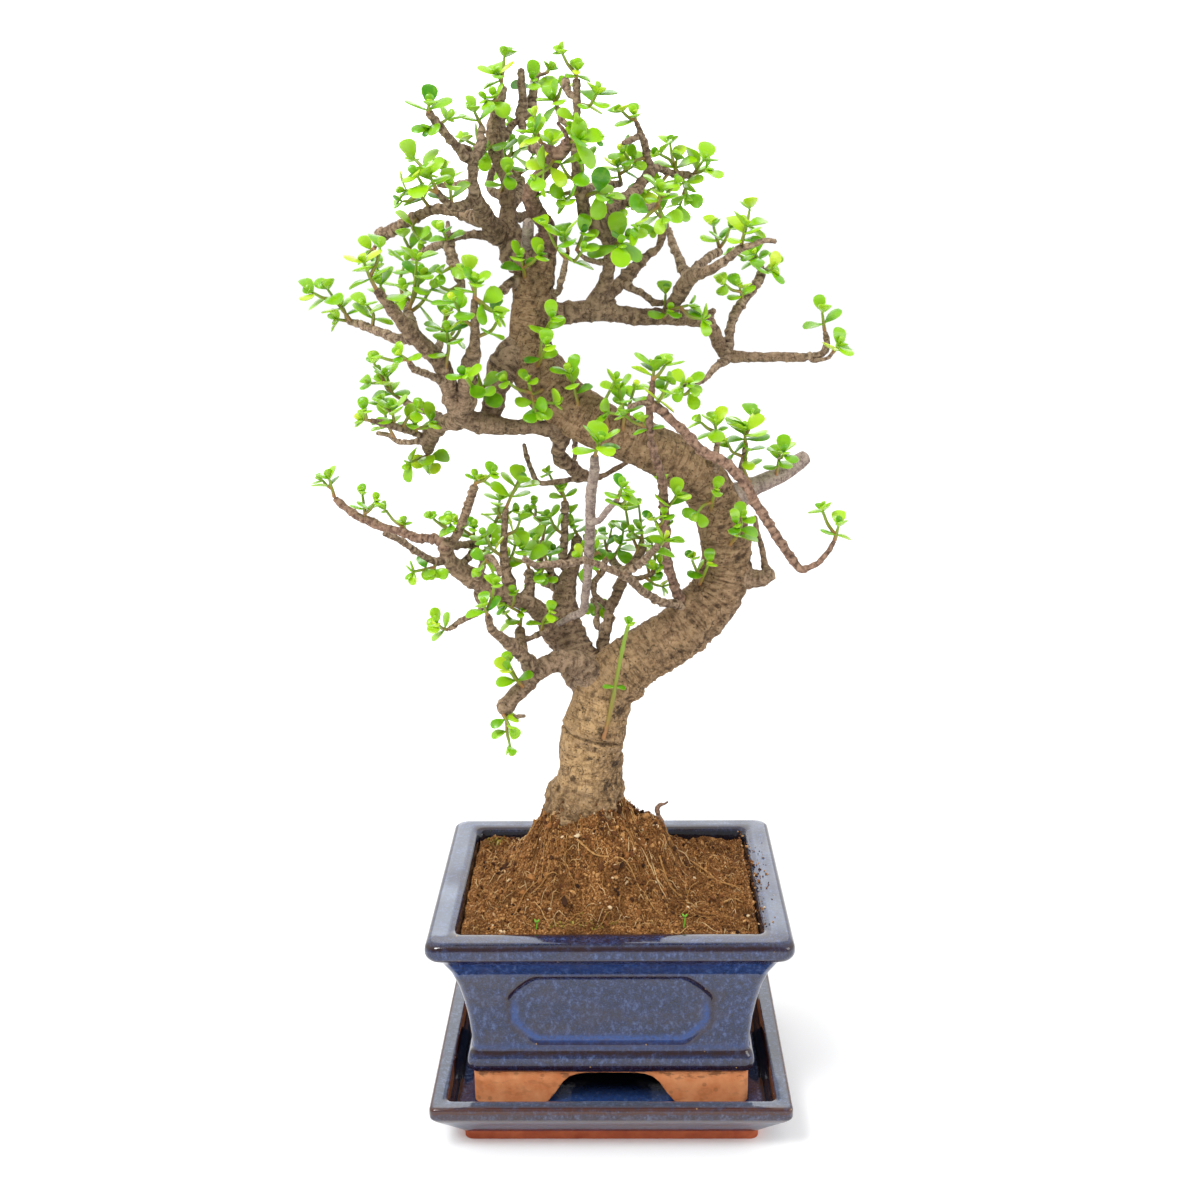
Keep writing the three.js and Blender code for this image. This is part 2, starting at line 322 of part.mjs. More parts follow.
// The leafy branches: name, the thin woody stems that belong to it, and its green shoots. A
// shoot has the stem it grows from (or the place in this list of an earlier shoot), its way
// (x, z), how far its tip lies behind its root, its pairs of leaves and their length.
const LEAFY = [
  ["stub_leaves", ["stub_end", "stub_twig"], [
    ["stub_end", [[-46.5, 181], [-43.5, 175]], -5, 2, 7.5],
    ["stub_end", [[-37.5, 194], [-40.5, 197.5], [-43.5, 201.5]], -8, 2, 8.5]]],
  ["low_leaves", ["stub_a"], [["stub_a", [[-52.2, 227.5], [-53.3, 231]], -2, 2, 8.5]]],
  ["low_inner_leaves", ["stub_b", "stub_b_side"], [
    ["stub_b", [[-38, 221], [-36.8, 228.5]], -9, 2, 7.5],
    [0, [[-40, 228], [-44, 231.5]], -5, 1, 7.2]]],
  ["left_bough_leaves", ["left_bough", "left_hang", "long_left", "long_pair", "left_rise",
    "left_in", "left_in_low", "left_loop"], [
    ["left_hang", [[-69.3, 220.2], [-73.5, 221.5]], -2, 2, 8],
    ["long_left", [[-114.8, 279], [-116.7, 287.5]], 2, 1, 8],
    ["long_left", [[-102, 270], [-103, 280.5]], -2, 2, 7],
    ["long_left", [[-85.5, 264], [-86, 267.5]], 1, 1, 5],
    ["left_rise", [[-55.3, 284], [-54.7, 286.8]], -1, 1, 6],
    ["left_rise", [[-63.5, 263], [-66.5, 267.5]], -5, 2, 7],
    ["left_in", [[-48, 266], [-45.6, 271.5]], 2, 2, 8.5],
    ["left_in", [[-57, 258.5], [-56.3, 265.5]], -3, 2, 7],
    ["left_loop", [[-51, 252.5], [-54.5, 247.5]], -3, 2, 7],
    ["long_pair", [[-73.5, 251.3], [-74, 246.5]], -2, 1, 7]]],
  ["left_tall_leaves", ["left_tall"], [
    ["left_tall", [[-42.5, 274], [-40, 279.5], [-36, 285]], -3, 2, 9.5]]],
  ["left_knob_leaves", ["left_knob"], [
    ["left_knob", [[-33.5, 247.5], [-36, 256]], -5, 2, 10]]],
  ["front_grey_leaves", ["front_grey", "front_side"], [
    ["front_grey", [[-4.8, 296], [-2.5, 302.5]], -2, 3, 11],
    ["front_side", [[4.7, 277.3], [6.5, 282.5]], -2, 2, 7.5]]],
  ["second_leaves", ["second_top", "second_a", "second_b", "second_c"], [
    ["second_top", [[-12.5, 262], [-14.5, 266]], -4, 2, 7.5],
    ["second_a", [[-26.2, 249.5], [-29, 244.5]], -5, 1, 6.5],
    ["second_b", [[-27.3, 260], [-26, 266.5]], -4, 2, 7.5],
    [2, [[-29.5, 268], [-32.5, 272.5]], -2, 1, 5.5],
    ["second_c", [[-17.5, 277], [-18.5, 281.5]], -3, 2, 6.5]]],
  ["crotch_leaves", ["crotch", "crotch_a", "crotch_b", "crotch_c", "crotch_d"], [
    ["crotch", [[15.3, 258], [14.6, 264]], -3, 2, 8],
    ["crotch_a", [[0, 254.6], [-1.5, 262]], -2, 2, 7.5],
    ["crotch_b", [[-0.8, 252], [-5.5, 255.5]], -3, 1, 6.5],
    ["crotch_c", [[-6.5, 234], [-7.3, 230]], -2, 1, 6.5],
    ["crotch_d", [[21, 246], [22.5, 249]], -3, 2, 6.5]]],
  ["trunk_shoot", [], [
    ["trunk", [[-1.5, 172], [1, 183], [3, 194], [5.3, 206], [7.5, 217], [9, 222]], -9, 2, 6]]],
  ["dark_rise_leaves", ["dark_rise", "dark_side", "long_right"], [
    ["dark_rise", [[24.5, 272], [29.5, 278.5]], -4, 2, 9],
    ["dark_rise", [[24.8, 262], [20, 268.5]], -3, 2, 7],
    ["long_right", [[96.5, 259], [98, 265.5]], -2, 2, 7.5],
    ["dark_rise", [[19.4, 327], [20, 333]], 3, 3, 10],
    ["dark_rise", [[18.3, 305], [15.5, 310.5]], -2, 2, 7]]],
  ["limb_front_leaves", [], [["trunk", [[52, 257], [56, 262], [57.5, 269]], -9, 2, 8.5]]],
  ["limb_upper_leaves", [], [
    ["trunk", [[44, 272], [44.5, 276.5], [46, 281]], -9, 2, 8.5],
    [0, [[43, 276], [40.5, 274.5], [38, 271]], -2, 1, 8]]],
  ["limb_lower_leaves", [], [["trunk", [[39.5, 240], [43.5, 249.5]], -10, 2, 8]]],
  ["stub_upper_leaves", [], [["stub_upper", [[71, 287], [72.5, 296.5]], -5, 3, 9]]],
  ["stub_riser_leaves", ["stub_riser"], [
    ["stub_riser", [[58, 300], [57.5, 306.5]], -4, 3, 11]]],
  ["arch_riser_leaves", ["arch_riser"], [
    ["arch_riser", [[46.5, 303], [45, 309.5]], -3, 3, 9.5]]],
  ["arch_leaves", [], [
    ["trunk", [[7, 306], [7.5, 314], [5.5, 324]], -6, 3, 9.5],
    [0, [[4, 313], [1, 314]], -4, 1, 8]]],
  ["across_low_leaves", ["across_low"], [
    ["across_low", [[34, 326.5], [31.5, 324]], -3, 2, 8]]],
  ["trunk_front_leaves", [], [
    ["trunk", [[-25, 324], [-30.5, 321.5], [-32, 327.5]], -7, 2, 7.5],
    [0, [[-31, 318], [-29, 313.5]], -3, 3, 9]]],
  ["arch_left_leaves", [], [["trunk", [[-11, 316], [-14.5, 330.5]], -6, 3, 9]]],
  ["trunk_mid_leaves", [], [["trunk", [[-28, 333], [-24, 341.5]], -11, 2, 8]]],
  ["trunk_upper_leaves", [], [["trunk", [[-26, 345], [-21.5, 352.5]], -9, 2, 9]]],
  ["trunk_high_leaves", [], [["trunk", [[-32, 369], [-33.5, 377]], -9, 2, 9]]],
  ["arm_stem_leaves", [], [
    ["arm_stem", [[-52.8, 361], [-52, 367.5]], -2, 3, 9],
    [0, [[-47, 360.5], [-45, 355.5]], -2, 2, 9]]],
  ["shoulder_leaves", [], [
    ["shoulder", [[-46, 322], [-51, 325], [-53, 332.5]], -14, 2, 8.5]]],
  ["arm_end_leaves", ["arm_end", "arm_left", "arm_inner", "arm_spur", "arm_twig"], [
    ["arm_end", [[-66, 332], [-64, 341], [-64.5, 348]], -4, 3, 10.5],
    ["arm_spur", [[-80.6, 335.8], [-84, 338.5]], -3, 2, 7],
    ["arm_left", [[-104.5, 352.3], [-109, 353]], -2, 1, 7.5],
    ["arm_left", [[-103, 352], [-107.5, 358], [-112.5, 365.5]], -3, 2, 9.5],
    ["arm_end", [[-92.5, 365], [-95, 370], [-97, 376]], -2, 3, 10.5],
    ["arm_inner", [[-80, 356], [-77, 362], [-74, 370.5]], -4, 3, 11],
    ["arm_twig", [[-67, 345.5], [-65, 354.5]], -4, 2, 8]]],
  ["hang_leaves", ["hang_limb", "hang_upper", "hang_low", "hang_thin"], [
    ["hang_upper", [[-83.5, 319.5], [-88, 322.5], [-90, 330]], -4, 3, 9.5],
    [0, [[-93, 326], [-97, 327]], -2, 1, 8.5],
    ["hang_low", [[-88, 309], [-88.5, 316.5]], -3, 3, 9.5],
    ["hang_low", [[-79, 306], [-79, 310.5]], -5, 2, 9.5],
    ["hang_limb", [[-74.3, 297.8], [-73.8, 292.5]], -2, 2, 9.5],
    ["hang_low", [[-98, 311.5], [-101, 312]], -2, 1, 6.5]]],
  ["low_bar_leaves", ["low_bar", "low_bar_thorn", "low_bar_stub"], [
    ["low_bar", [[-60.8, 374], [-66, 371]], -9, 2, 8.5],
    ["low_bar_stub", [[-76.5, 377], [-80.5, 385.5]], -3, 2, 9],
    ["low_bar", [[-63, 382.5], [-64.5, 387.5]], -3, 2, 7]]],
  ["left_limb_leaves", ["left_limb", "left_limb_twig"], [
    ["left_limb_twig", [[-92.5, 381], [-96, 378.5]], -2, 2, 7.5],
    ["left_limb", [[-68.5, 395], [-73, 401.5], [-79, 403.5]], -5, 3, 9.5]]],
  ["left_pair_leaves", ["left_pair"], [
    ["left_pair", [[-66.3, 402.8], [-69, 409.5]], -2, 3, 10],
    [0, [[-73, 410], [-75, 415.5]], 3, 2, 10],
    ["left_pair", [[-60.5, 397], [-61, 405]], -4, 2, 9.5]]],
  ["up_top_leaves", ["up_top", "left_bar", "up_left", "up_link", "up_stub"], [
    ["left_bar", [[-62.5, 405], [-63.5, 411]], 2, 2, 8.5],
    ["up_left", [[-68.5, 432.5], [-68, 435.5]], -2, 2, 10],
    ["up_left", [[-65, 428.3], [-68, 427]], -3, 1, 9],
    ["up_left", [[-64.5, 427.7], [-61, 430]], 3, 1, 9],
    ["up_stub", [[-47.5, 427], [-50.5, 433]], -3, 2, 8.5]]],
  ["leader_top_leaves", ["leader_tip"], [
    ["leader_tip", [[-39.2, 443], [-40.8, 446.5]], -2, 3, 9.5],
    ["leader_tip", [[-40.2, 435], [-42, 438]], -4, 1, 8]]],
  ["leader_side_leaves", [], [["leader", [[-42.5, 420.5], [-46.5, 418]], -10, 2, 9]]],
  ["leader_fork_leaves", ["leader_fork"], [
    ["leader_fork", [[-36, 411.3], [-39.2, 417.5]], -3, 2, 10],
    [0, [[-35.5, 416.5], [-32.5, 418.5]], -2, 2, 9.5]]],
  ["crook_leaves", ["crook_twig"], [["crook_twig", [[-24.3, 420.6], [-27.5, 425]], -4, 3, 9]]],
  ["tall_leaves", ["dark_link", "tall_twig", "tall_root", "thin_top"], [
    ["dark_link", [[-27, 440], [-27, 444]], -6, 2, 10],
    ["thin_top", [[-21.8, 446.4], [-20.5, 448]], 0, 1, 5.5]]],
  ["middle_top_leaves", ["middle_top", "middle_knob", "behind_top"], [
    ["behind_top", [[-17.5, 433.5], [-19.5, 437]], -2, 3, 9],
    ["middle_top", [[-10.3, 444.5], [-9.5, 447.7]], -2, 2, 6],
    ["middle_top", [[-10.4, 430], [-12, 427]], -5, 2, 8]]],
  ["brown_top_leaves", ["tip_twig"], [
    ["brown_limb", [[-14, 420.5], [-9.5, 421.5]], -4, 3, 11]]],
  ["middle_low_leaves", [], [["middle", [[-9.3, 403], [-15.5, 399]], -7, 3, 9]]],
  ["trunk_side_leaves", ["trunk_side"], [
    ["trunk_side", [[-14.5, 379], [-16, 385.5]], -5, 3, 10.5]]],
  ["inner_side_leaves", ["inner_side"], [["inner_side", [[-11, 379.5], [-8.5, 386]], -7, 2, 9]]],
  ["middle_front_leaves", [], [["middle", [[2.3, 380], [8.5, 384.5]], -7, 3, 12]]],
  ["right_low_leaves", ["right_low"], [
    ["right_low", [[21.5, 396.5], [22.5, 402.5]], -2, 3, 9.5],
    [0, [[23.5, 395], [24, 391.5]], -2, 1, 9.5]]],
  ["inner_fork_leaves", [], [["inner_fork", [[24.4, 391.5], [21, 387]], -8, 1, 8.5]]],
  ["right_end_leaves", ["right_end"], [
    ["right_end", [[31, 408], [33, 400]], -5, 3, 9],
    ["right_end", [[28, 408.7], [29, 414]], -3, 2, 9],
    ["right_end", [[35, 407.5], [39.5, 413.5]], -2, 2, 11]]],
  ["middle_back_leaves", ["middle_back"], [
    ["middle_back", [[7, 405], [5.5, 412]], -3, 3, 9],
    [0, [[8.5, 409], [12, 411.5]], -2, 2, 8.5]]],
  ["right_top_leaves", ["right_top", "right_spur"], [
    ["right_top", [[12.8, 428.5], [12.4, 430.5]], -1, 2, 8]]],
  ["right_up_pair_leaves", ["right_up_pair"], [
    ["right_up_pair", [[46.5, 378.5], [43.6, 388.5]], -2, 2, 8.5]]],
  ["right_up_leaves", ["right_up_end"], [
    ["right_up_end", [[54.5, 379], [56.8, 388.5]], -3, 3, 9.5]]],
  ["across_up_leaves", ["across_up"], [
    ["across_up", [[62.5, 374], [60.5, 377.5]], -2, 3, 9],
    ["across_up", [[63, 370.5], [67.5, 371]], -2, 2, 9],
    ["across_up", [[56, 358.7], [54.5, 364.5]], -3, 2, 8.5]]],
  ["across_end_leaves", ["across_end", "across_hook"], [
    ["across_end", [[89.3, 346.5], [88, 354.5]], -2, 2, 8.5],
    ["across_hook", [[93, 338], [95.5, 340.5]], -2, 2, 9]]],
  ["across_front_leaves", [], [
    ["across", [[24, 352.5], [26, 355.5]], -6, 2, 10],
    [0, [[30, 358], [34.5, 357.5]], -2, 1, 9]]],
];

// A closed solid from points and triangles, with its faces turned outwards.
function closedSolid(points, faces) {
  const build = (turned) => {
    const vertProperties = new Float32Array(points.flatMap((p) => [p.x, p.y, p.z]));
    const triVerts = new Uint32Array(
      faces.flatMap(([a, b, c]) => (turned ? [a, c, b] : [a, b, c])));
    return new wasm.Manifold(new wasm.Mesh({ numProp: 3, vertProperties, triVerts }));
  };
  const made = build(false);
  return made.volume() > 0 ? made : build(true);
}

// A three.js geometry as a solid.
function solidFromGeometry(geometry) {
  const bare = new THREE.BufferGeometry();
  bare.setAttribute("position", geometry.getAttribute("position"));
  if (geometry.index) bare.setIndex(geometry.index);
  const merged = mergeVertices(bare, 1e-4);
  return new wasm.Manifold(new wasm.Mesh({
    numProp: 3,
    vertProperties: merged.attributes.position.array,
    triVerts: new Uint32Array(merged.index.array),
  }));
}

// A skin over a row of rings with equal counts, closed at both ends.
function skin(rings) {
  const count = rings[0].length;
  const points = rings.flat();
  const faces = [];
  for (let k = 0; k + 1 < rings.length; k += 1) {
    for (let i = 0; i < count; i += 1) {
      const j = (i + 1) % count;
      faces.push([k * count + i, k * count + j, (k + 1) * count + j]);
      faces.push([k * count + i, (k + 1) * count + j, (k + 1) * count + i]);
    }
  }
  const top = (rings.length - 1) * count;
  if (count < 6) {
    for (let i = 1; i + 1 < count; i += 1) {
      faces.push([0, i + 1, i]);
      faces.push([top, top + i, top + i + 1]);
    }
    return closedSolid(points, faces);
  }
  const middle = (ring) => ring
    .reduce((sum, p) => sum.add(p), new THREE.Vector3())
    .divideScalar(count);
  const first = points.push(middle(rings[0])) - 1;
  const last = points.push(middle(rings[rings.length - 1])) - 1;
  for (let i = 0; i < count; i += 1) {
    const j = (i + 1) % count;
    faces.push([first, j, i]);
    faces.push([last, top + i, top + j]);
  }
  return closedSolid(points, faces);
}

// A level ring round a rectangle with rounded corners.
function roundedRing(halfX, halfY, radius, z, perCorner = 4) {
  const ring = [];
  const corners = [[1, 1], [-1, 1], [-1, -1], [1, -1]];
  corners.forEach(([sx, sy], corner) => {
    for (let i = 0; i < perCorner; i += 1) {
      const turn = (corner + i / (perCorner - 1)) * Math.PI / 2;
      ring.push(new THREE.Vector3(
        sx * (halfX - radius) + radius * Math.cos(turn),
        sy * (halfY - radius) + radius * Math.sin(turn),
        z));
    }
  });
  return ring;
}

// A box given by its centre and its size.
function box(centre, size) {
  const geometry = new THREE.BoxGeometry(...size);
  geometry.translate(...centre);
  return solidFromGeometry(geometry);
}

// An upright round bar.
function roundBar(x, y, z0, z1, radius, sides = 20) {
  const geometry = new THREE.CylinderGeometry(radius, radius, z1 - z0, sides);
  geometry.rotateX(Math.PI / 2);
  geometry.translate(x, y, (z0 + z1) / 2);
  return solidFromGeometry(geometry);
}

// An outline in x and z, drawn out along y from -reach to reach.
function acrossY(outline, reach) {
  const shape = new THREE.Shape(outline.map(([x, z]) => new THREE.Vector2(x, z)));
  const geometry = new THREE.ExtrudeGeometry(shape, { depth: 2 * reach, bevelEnabled: false });
  geometry.rotateX(Math.PI / 2);
  geometry.translate(0, reach, 0);
  return solidFromGeometry(geometry);
}

// The rings of a walled dish: each row is how far the half sides differ from the given ones,
// the corner radius and the height.
function dishRings(half, rows) {
  return rows.map(([grow, radius, z]) => roundedRing(half[0] + grow, half[1] + grow, radius, z));
}

function makeTray() {
  const [baseX, baseY] = TRAY_BASE_HALF;
  const rings = [
    roundedRing(baseX, baseY, 5, 0),
    roundedRing(baseX, baseY, 5, TRAY_FOOT_HEIGHT),
    roundedRing(baseX + 1.2, baseY + 1.2, 5.5, TRAY_FOOT_HEIGHT + 0.2),
    ...dishRings(TRAY_HALF, [
      [-6, 6, 12], [-0.8, 6, TRAY_TOP - 5.5], [0, 6, TRAY_TOP - 4.6], [0, 6, TRAY_TOP - 0.9],
      [-0.9, 5.5, TRAY_TOP], [-7, 4, TRAY_TOP], [-7.9, 4, TRAY_TOP - 1],
      [-10.2, 4, TRAY_FLOOR + 1.5], [-12, 4, TRAY_FLOOR],
    ]),
  ];
  return skin(rings);
}

// The pot's outside, from its underside to its rim, drawn in by the given amount.
function potOutside(inset) {
  const [footX, footY] = POT_FOOT_HALF;
  const foot = [footX - inset, footY - inset];
  const rim = [POT_HALF[0] - inset, POT_HALF[1] - inset];
  return [
    ...dishRings(foot, [
      [0, 5, POT_BOTTOM], [0, 5, 31], [0.9, 5, 31.6], [1.7, 5, 33.8], [1.7, 5, 38.8],
      [0.6, 5, 41.6], [0.4, 5, 48], [1.2, 5, 57], [2.6, 5, 66], [4.8, 5, 75], [7.8, 5, 83],
      [11.2, 6, 89],
    ]),
    ...dishRings(rim, [
      [-2.2, 7, 91.6], [-0.3, 8, 95], [0, 8, 98], [-0.7, 8, 100.6], [-2.4, 7, POT_TOP],
    ]),
  ];
}

// The bracket-shaped arch between two feet, as wide and high as given.
function archOutline(half, height) {
  const side = [[1, 0], [0.92, 0.34], [0.74, 0.53], [0.6, 0.6], [0.54, 0.86], [0.44, 1]];
  const right = side.map(([u, v]) => [u * half, POT_BOTTOM + v * height]);
  const left = right.map(([x, z]) => [-x, z]).reverse();
  return [[half, POT_BOTTOM - 2], ...right, ...left, [-half, POT_BOTTOM - 2]];
}

// The eight-sided panel with curved corners on the pot's long sides.
function panelOutline() {
  const [halfX, halfZ] = PANEL_HALF;
  const cut = [[1, 0.28], [0.965, 0.52], [0.9, 0.72], [0.81, 0.88], [0.72, 1]];
  const quarter = cut.map(([u, v]) => [u * halfX, v * halfZ]);
  const right = [...quarter.map(([x, z]) => [x, -z]).reverse(), ...quarter];
  const left = right.map(([x, z]) => [-x, z]).reverse();
  return [...right, ...left].map(([x, z]) => [x, z + PANEL_HEIGHT]);
}

function makePot() {
  const inside = dishRings(POT_HALF, [
    [-12.2, 4, POT_TOP], [-12.9, 4, POT_TOP - 1], [-14.4, 4, 90], [-18.6, 4, 75],
    [-21.8, 4, 57], [-23, 4, POT_FLOOR + 3], [-26, 3, POT_FLOOR],
  ]);
  let pot = skin([...potOutside(0), ...inside]);
  const core = skin(potOutside(PANEL_DEPTH));
  const panel = acrossY(panelOutline(), 90);
  pot = pot.subtract(panel.subtract(core));
  const under = POT_BOTTOM + ARCH_HEIGHT;
  const hollow = [0, 1].map((i) => 2 * (POT_FOOT_HALF[i] - FOOT_WALL));
  pot = pot.subtract(box([0, 0, (under + POT_BOTTOM) / 2 - 1], [...hollow, ARCH_HEIGHT + 2]));
  pot = pot.subtract(acrossY(archOutline(ARCH_HALF[0], ARCH_HEIGHT), 90));
  const sideArch = acrossY(archOutline(ARCH_HALF[1], ARCH_HEIGHT), 90).rotate([0, 0, 90]);
  pot = pot.subtract(sideArch);
  for (const x of [-DRAIN_HOLE_X, DRAIN_HOLE_X]) {
    pot = pot.subtract(roundBar(x, 0, under - 1, POT_FLOOR + 1, DRAIN_HOLE_RADIUS, 16));
  }
  return pot;
}

// A square plastic screen over a drain hole, with four openings.
function makeDrainScreen(x, grow = 0) {
  const z = POT_FLOOR + GAP + 0.5;
  let screen = box([x, 0, z], [20 + 2 * grow, 20 + 2 * grow, 1 + 2 * grow]);
  if (grow > 0) return screen;
  for (const u of [-3.5, 3.5]) {
    for (const v of [-3.5, 3.5]) {
      screen = screen.subtract(box([x + u, v, z], [4.4, 4.4, 3]));
    }
  }
  return screen;
}

// The height of the soil: level near the pot's walls, rising to a rough mound at the stem.
function soilHeight(x, y) {
  const away = Math.hypot(x + 8, y * 1.15);
  const rise = Math.max(0, 1 - away / MOUND_REACH);
  const rough = 1.1 * Math.sin(0.31 * x + 1.3 * Math.sin(0.21 * y))
    * Math.cos(0.27 * y + 0.9 * Math.sin(0.17 * x));
  return SOIL_EDGE + MOUND_RISE * (0.55 * rise + 0.45 * rise * rise) + rough;
}

function makeSoil(stem) {
  const sides = dishRings(POT_HALF, [
    [-26.4, 3, POT_FLOOR + GAP], [-23.5, 3.6, POT_FLOOR + 3.4], [-22.3, 3.6, 57],
    [-19.1, 3.6, 75], [-14.9, 3.6, 90],
  ]);
  const rim = dishRings(POT_HALF, [[-13.9, 3.6, 94]])[0];
  const shares = [1, 0.93, 0.8, 0.66, 0.52, 0.38, 0.25, 0.12];
  const tops = shares.map((share) => rim.map((p, i) => {
    const turn = 2 * Math.PI * (i + 0.5) / rim.length;
    const round = 1 - share * share;
    const x = share * (p.x * (1 - round) + 56 * Math.cos(turn) * round) - 8 * (1 - share);
    const y = share * (p.y * (1 - round) + 50 * Math.sin(turn) * round);
    return new THREE.Vector3(x, y, soilHeight(x, y));
  }));
  const screens = [-DRAIN_HOLE_X, DRAIN_HOLE_X].map((x) => makeDrainScreen(x, GAP));
  return wasm.Manifold.difference([skin([...sides, ...tops]), stem, ...screens]);
}

// The point that looks like (x, z) on the front elevation but lies at the given depth.
function sightPoint(x, z, depth) {
  const share = (depth - EYE.y) / -EYE.y;
  return new THREE.Vector3(x, 0, z).sub(EYE).multiplyScalar(share).add(EYE);
}

// The point of a stem's middle line that is drawn nearest to (x, z), with its depth and radius.
function nearestOnStem(stem, x, z) {
  let best = null;
  for (let i = 0; i + 1 < stem.length; i += 1) {
    const [a, b] = [stem[i], stem[i + 1]];
    const [dx, dz] = [b[0] - a[0], b[1] - a[1]];
    const along = ((x - a[0]) * dx + (z - a[1]) * dz) / (dx * dx + dz * dz);
    const t = Math.min(1, Math.max(0, along));
    const here = a.map((value, k) => value + t * (b[k] - value));
    const away = Math.hypot(x - here[0], z - here[1]);
    if (!best || away < best.away) best = { away, here };
  }
  return best.here;
}

// Fills in the depths between the stations where they are given.
function withDepths(stations, firstDepth) {
  const full = stations.map((station) => [...station]);
  if (full[0].length < 4) full[0].push(firstDepth);
  let from = 0;
  for (let to = 1; to < full.length; to += 1) {
    if (full[to].length < 4) continue;
    const steps = [0];
    for (let i = from + 1; i <= to; i += 1) {
      const step = Math.hypot(full[i][0] - full[i - 1][0], full[i][1] - full[i - 1][1]);
      steps.push(steps[steps.length - 1] + step);
    }
    const whole = steps[steps.length - 1];
    for (let i = from + 1; i < to; i += 1) {
      const share = steps[i - from] / whole;
      full[i].push(full[from][3] + share * (full[to][3] - full[from][3]));
    }
    from = to;
  }
  return full;
}

// A stem's stations with its root on the middle line of the stem it grows from.
function rootedStations(host, stations) {
  if (!host) return withDepths(stations, 0);
  const [x, z, radius, depth] = nearestOnStem(host, stations[0][0], stations[0][1]);
  const root = [x, z, Math.min(1.15 * stations[0][2], 0.85 * radius), depth];
  return withDepths([root, ...stations], depth);
}

// The stations of a route in space: each has its place and its radius.
function inSpace(stations) {
  return stations.map(([x, z, radius, depth]) => ({
    place: sightPoint(x, z, depth),
    radius: radius * (depth - EYE.y) / -EYE.y,
  }));
}

// Leaves out the stations that lie within the tolerance of the line past them.
function thinned(route, tolerance) {
  const kept = [route[0]];
  let last = 0;
  for (let i = 1; i + 1 < route.length; i += 1) {
    const line = new THREE.Line3(route[last].place, route[i + 1].place);
    const span = line.distance();
    const off = route.slice(last + 1, i + 1).some((station) => {
      const at = line.closestPointToPointParameter(station.place, true);
      const away = line.at(at, new THREE.Vector3()).distanceTo(station.place);
      const between = route[last].radius + at * (route[i + 1].radius - route[last].radius);
      return away > tolerance || Math.abs(between - station.radius) > tolerance;
    });
    if (off || span > 26) {
      kept.push(route[i]);
      last = i;
    }
  }
  kept.push(route[route.length - 1]);
  return kept;
}

// Rings round a route, each turned on from the one before without twisting.
function tubeRings(route, sides, grow, rough) {
  const rings = [];
  let side = null;
  route.forEach(({ place, radius }, k) => {
    const before = route[Math.max(0, k - 1)].place;
    const after = route[Math.min(route.length - 1, k + 1)].place;
    const along = after.clone().sub(before).normalize();
    if (!side) side = new THREE.Vector3(0, 1, 0).cross(along);
    if (side.lengthSq() < 1e-6) side = new THREE.Vector3(1, 0, 0);
    side.addScaledVector(along, -side.dot(along)).normalize();
    const other = along.clone().cross(side);
    const ring = [];
    for (let i = 0; i < sides; i += 1) {
      const turn = 2 * Math.PI * i / sides;
      const wave = Math.sin(3 * turn + 0.13 * place.z) + 0.6 * Math.sin(5 * turn - 0.19 * place.z);
      const reach = radius * (1 + rough * wave) + grow;
      ring.push(place.clone()
        .addScaledVector(side, reach * Math.cos(turn))
        .addScaledVector(other, reach * Math.sin(turn)));
    }
    rings.push(ring);
  });
  return rings;
}

function tubeSides(radius) {
  if (radius > 8) return 10;
  if (radius > 3.6) return 6;
  return radius > 1.9 ? 4 : 3;
}

// One woody stem as a closed tube; a thick one has the swells and hollows of old bark.
function stemSolid(stations, grow) {
  const route = inSpace(stations);
  const widest = Math.max(...stations.map((station) => station[2]));
  const slim = thinned(route, widest > 8 ? 0.8 : 1.1);
  return skin(tubeRings(slim, tubeSides(widest), grow, widest > 3.6 ? BARK_RELIEF : 0));
}

const spread = ([x, z, radius, ...depth]) => [x, z, radius, ...depth.map((d) => d * DEPTH_SPREAD)];
const stemRoutes = new Map();
for (const [name, host, stations] of STEMS) {
  stemRoutes.set(name, rootedStations(host && stemRoutes.get(host), stations.map(spread)));
}


// A row of repeatable draws from -1 to 1.
function drawsFrom(seed) {
  let state = (seed * 7919 + 104729) % 4294967296;
  return () => {
    state = (state * 1664525 + 1013904223) % 4294967296;
    return state / 2147483648 - 1;
  };
}

// The outline of one side of a leaf, as shares of its length and of its full width.
const LEAF_SIDE = [[0.5, 0.47], [0.97, 0.3]];

// A leaf as a thick blade: its rim lies flat, and its upper face rises to an apex.
function leafSolid(leaf, grow = 0) {
  const { root, along, across, up, length } = leaf;
  const at = (u, v, w) => root.clone()
    .addScaledVector(along, u).addScaledVector(across, v).addScaledVector(up, w);
  const width = length * LEAF_WIDTH + 4 * grow;
  const long = length + 2 * grow;
  const below = -grow - LEAF_THICKNESS / 3;
  const points = [
    at(0, 0, 0),
    ...LEAF_SIDE.map(([u, v]) => at(u * long, v * width, below)),
    ...LEAF_SIDE.map(([u, v]) => at(u * long, -v * width, below)).reverse(),
    at(0.45 * long, 0, LEAF_THICKNESS * 2 / 3 + 1.5 * grow),
  ];
  const apex = points.length - 1;
  const faces = [[0, 4, 1], [1, 4, 3], [1, 3, 2]];
  for (let i = 0; i < apex; i += 1) faces.push([i, (i + 1) % apex, apex]);
  return closedSolid(points, faces);
}

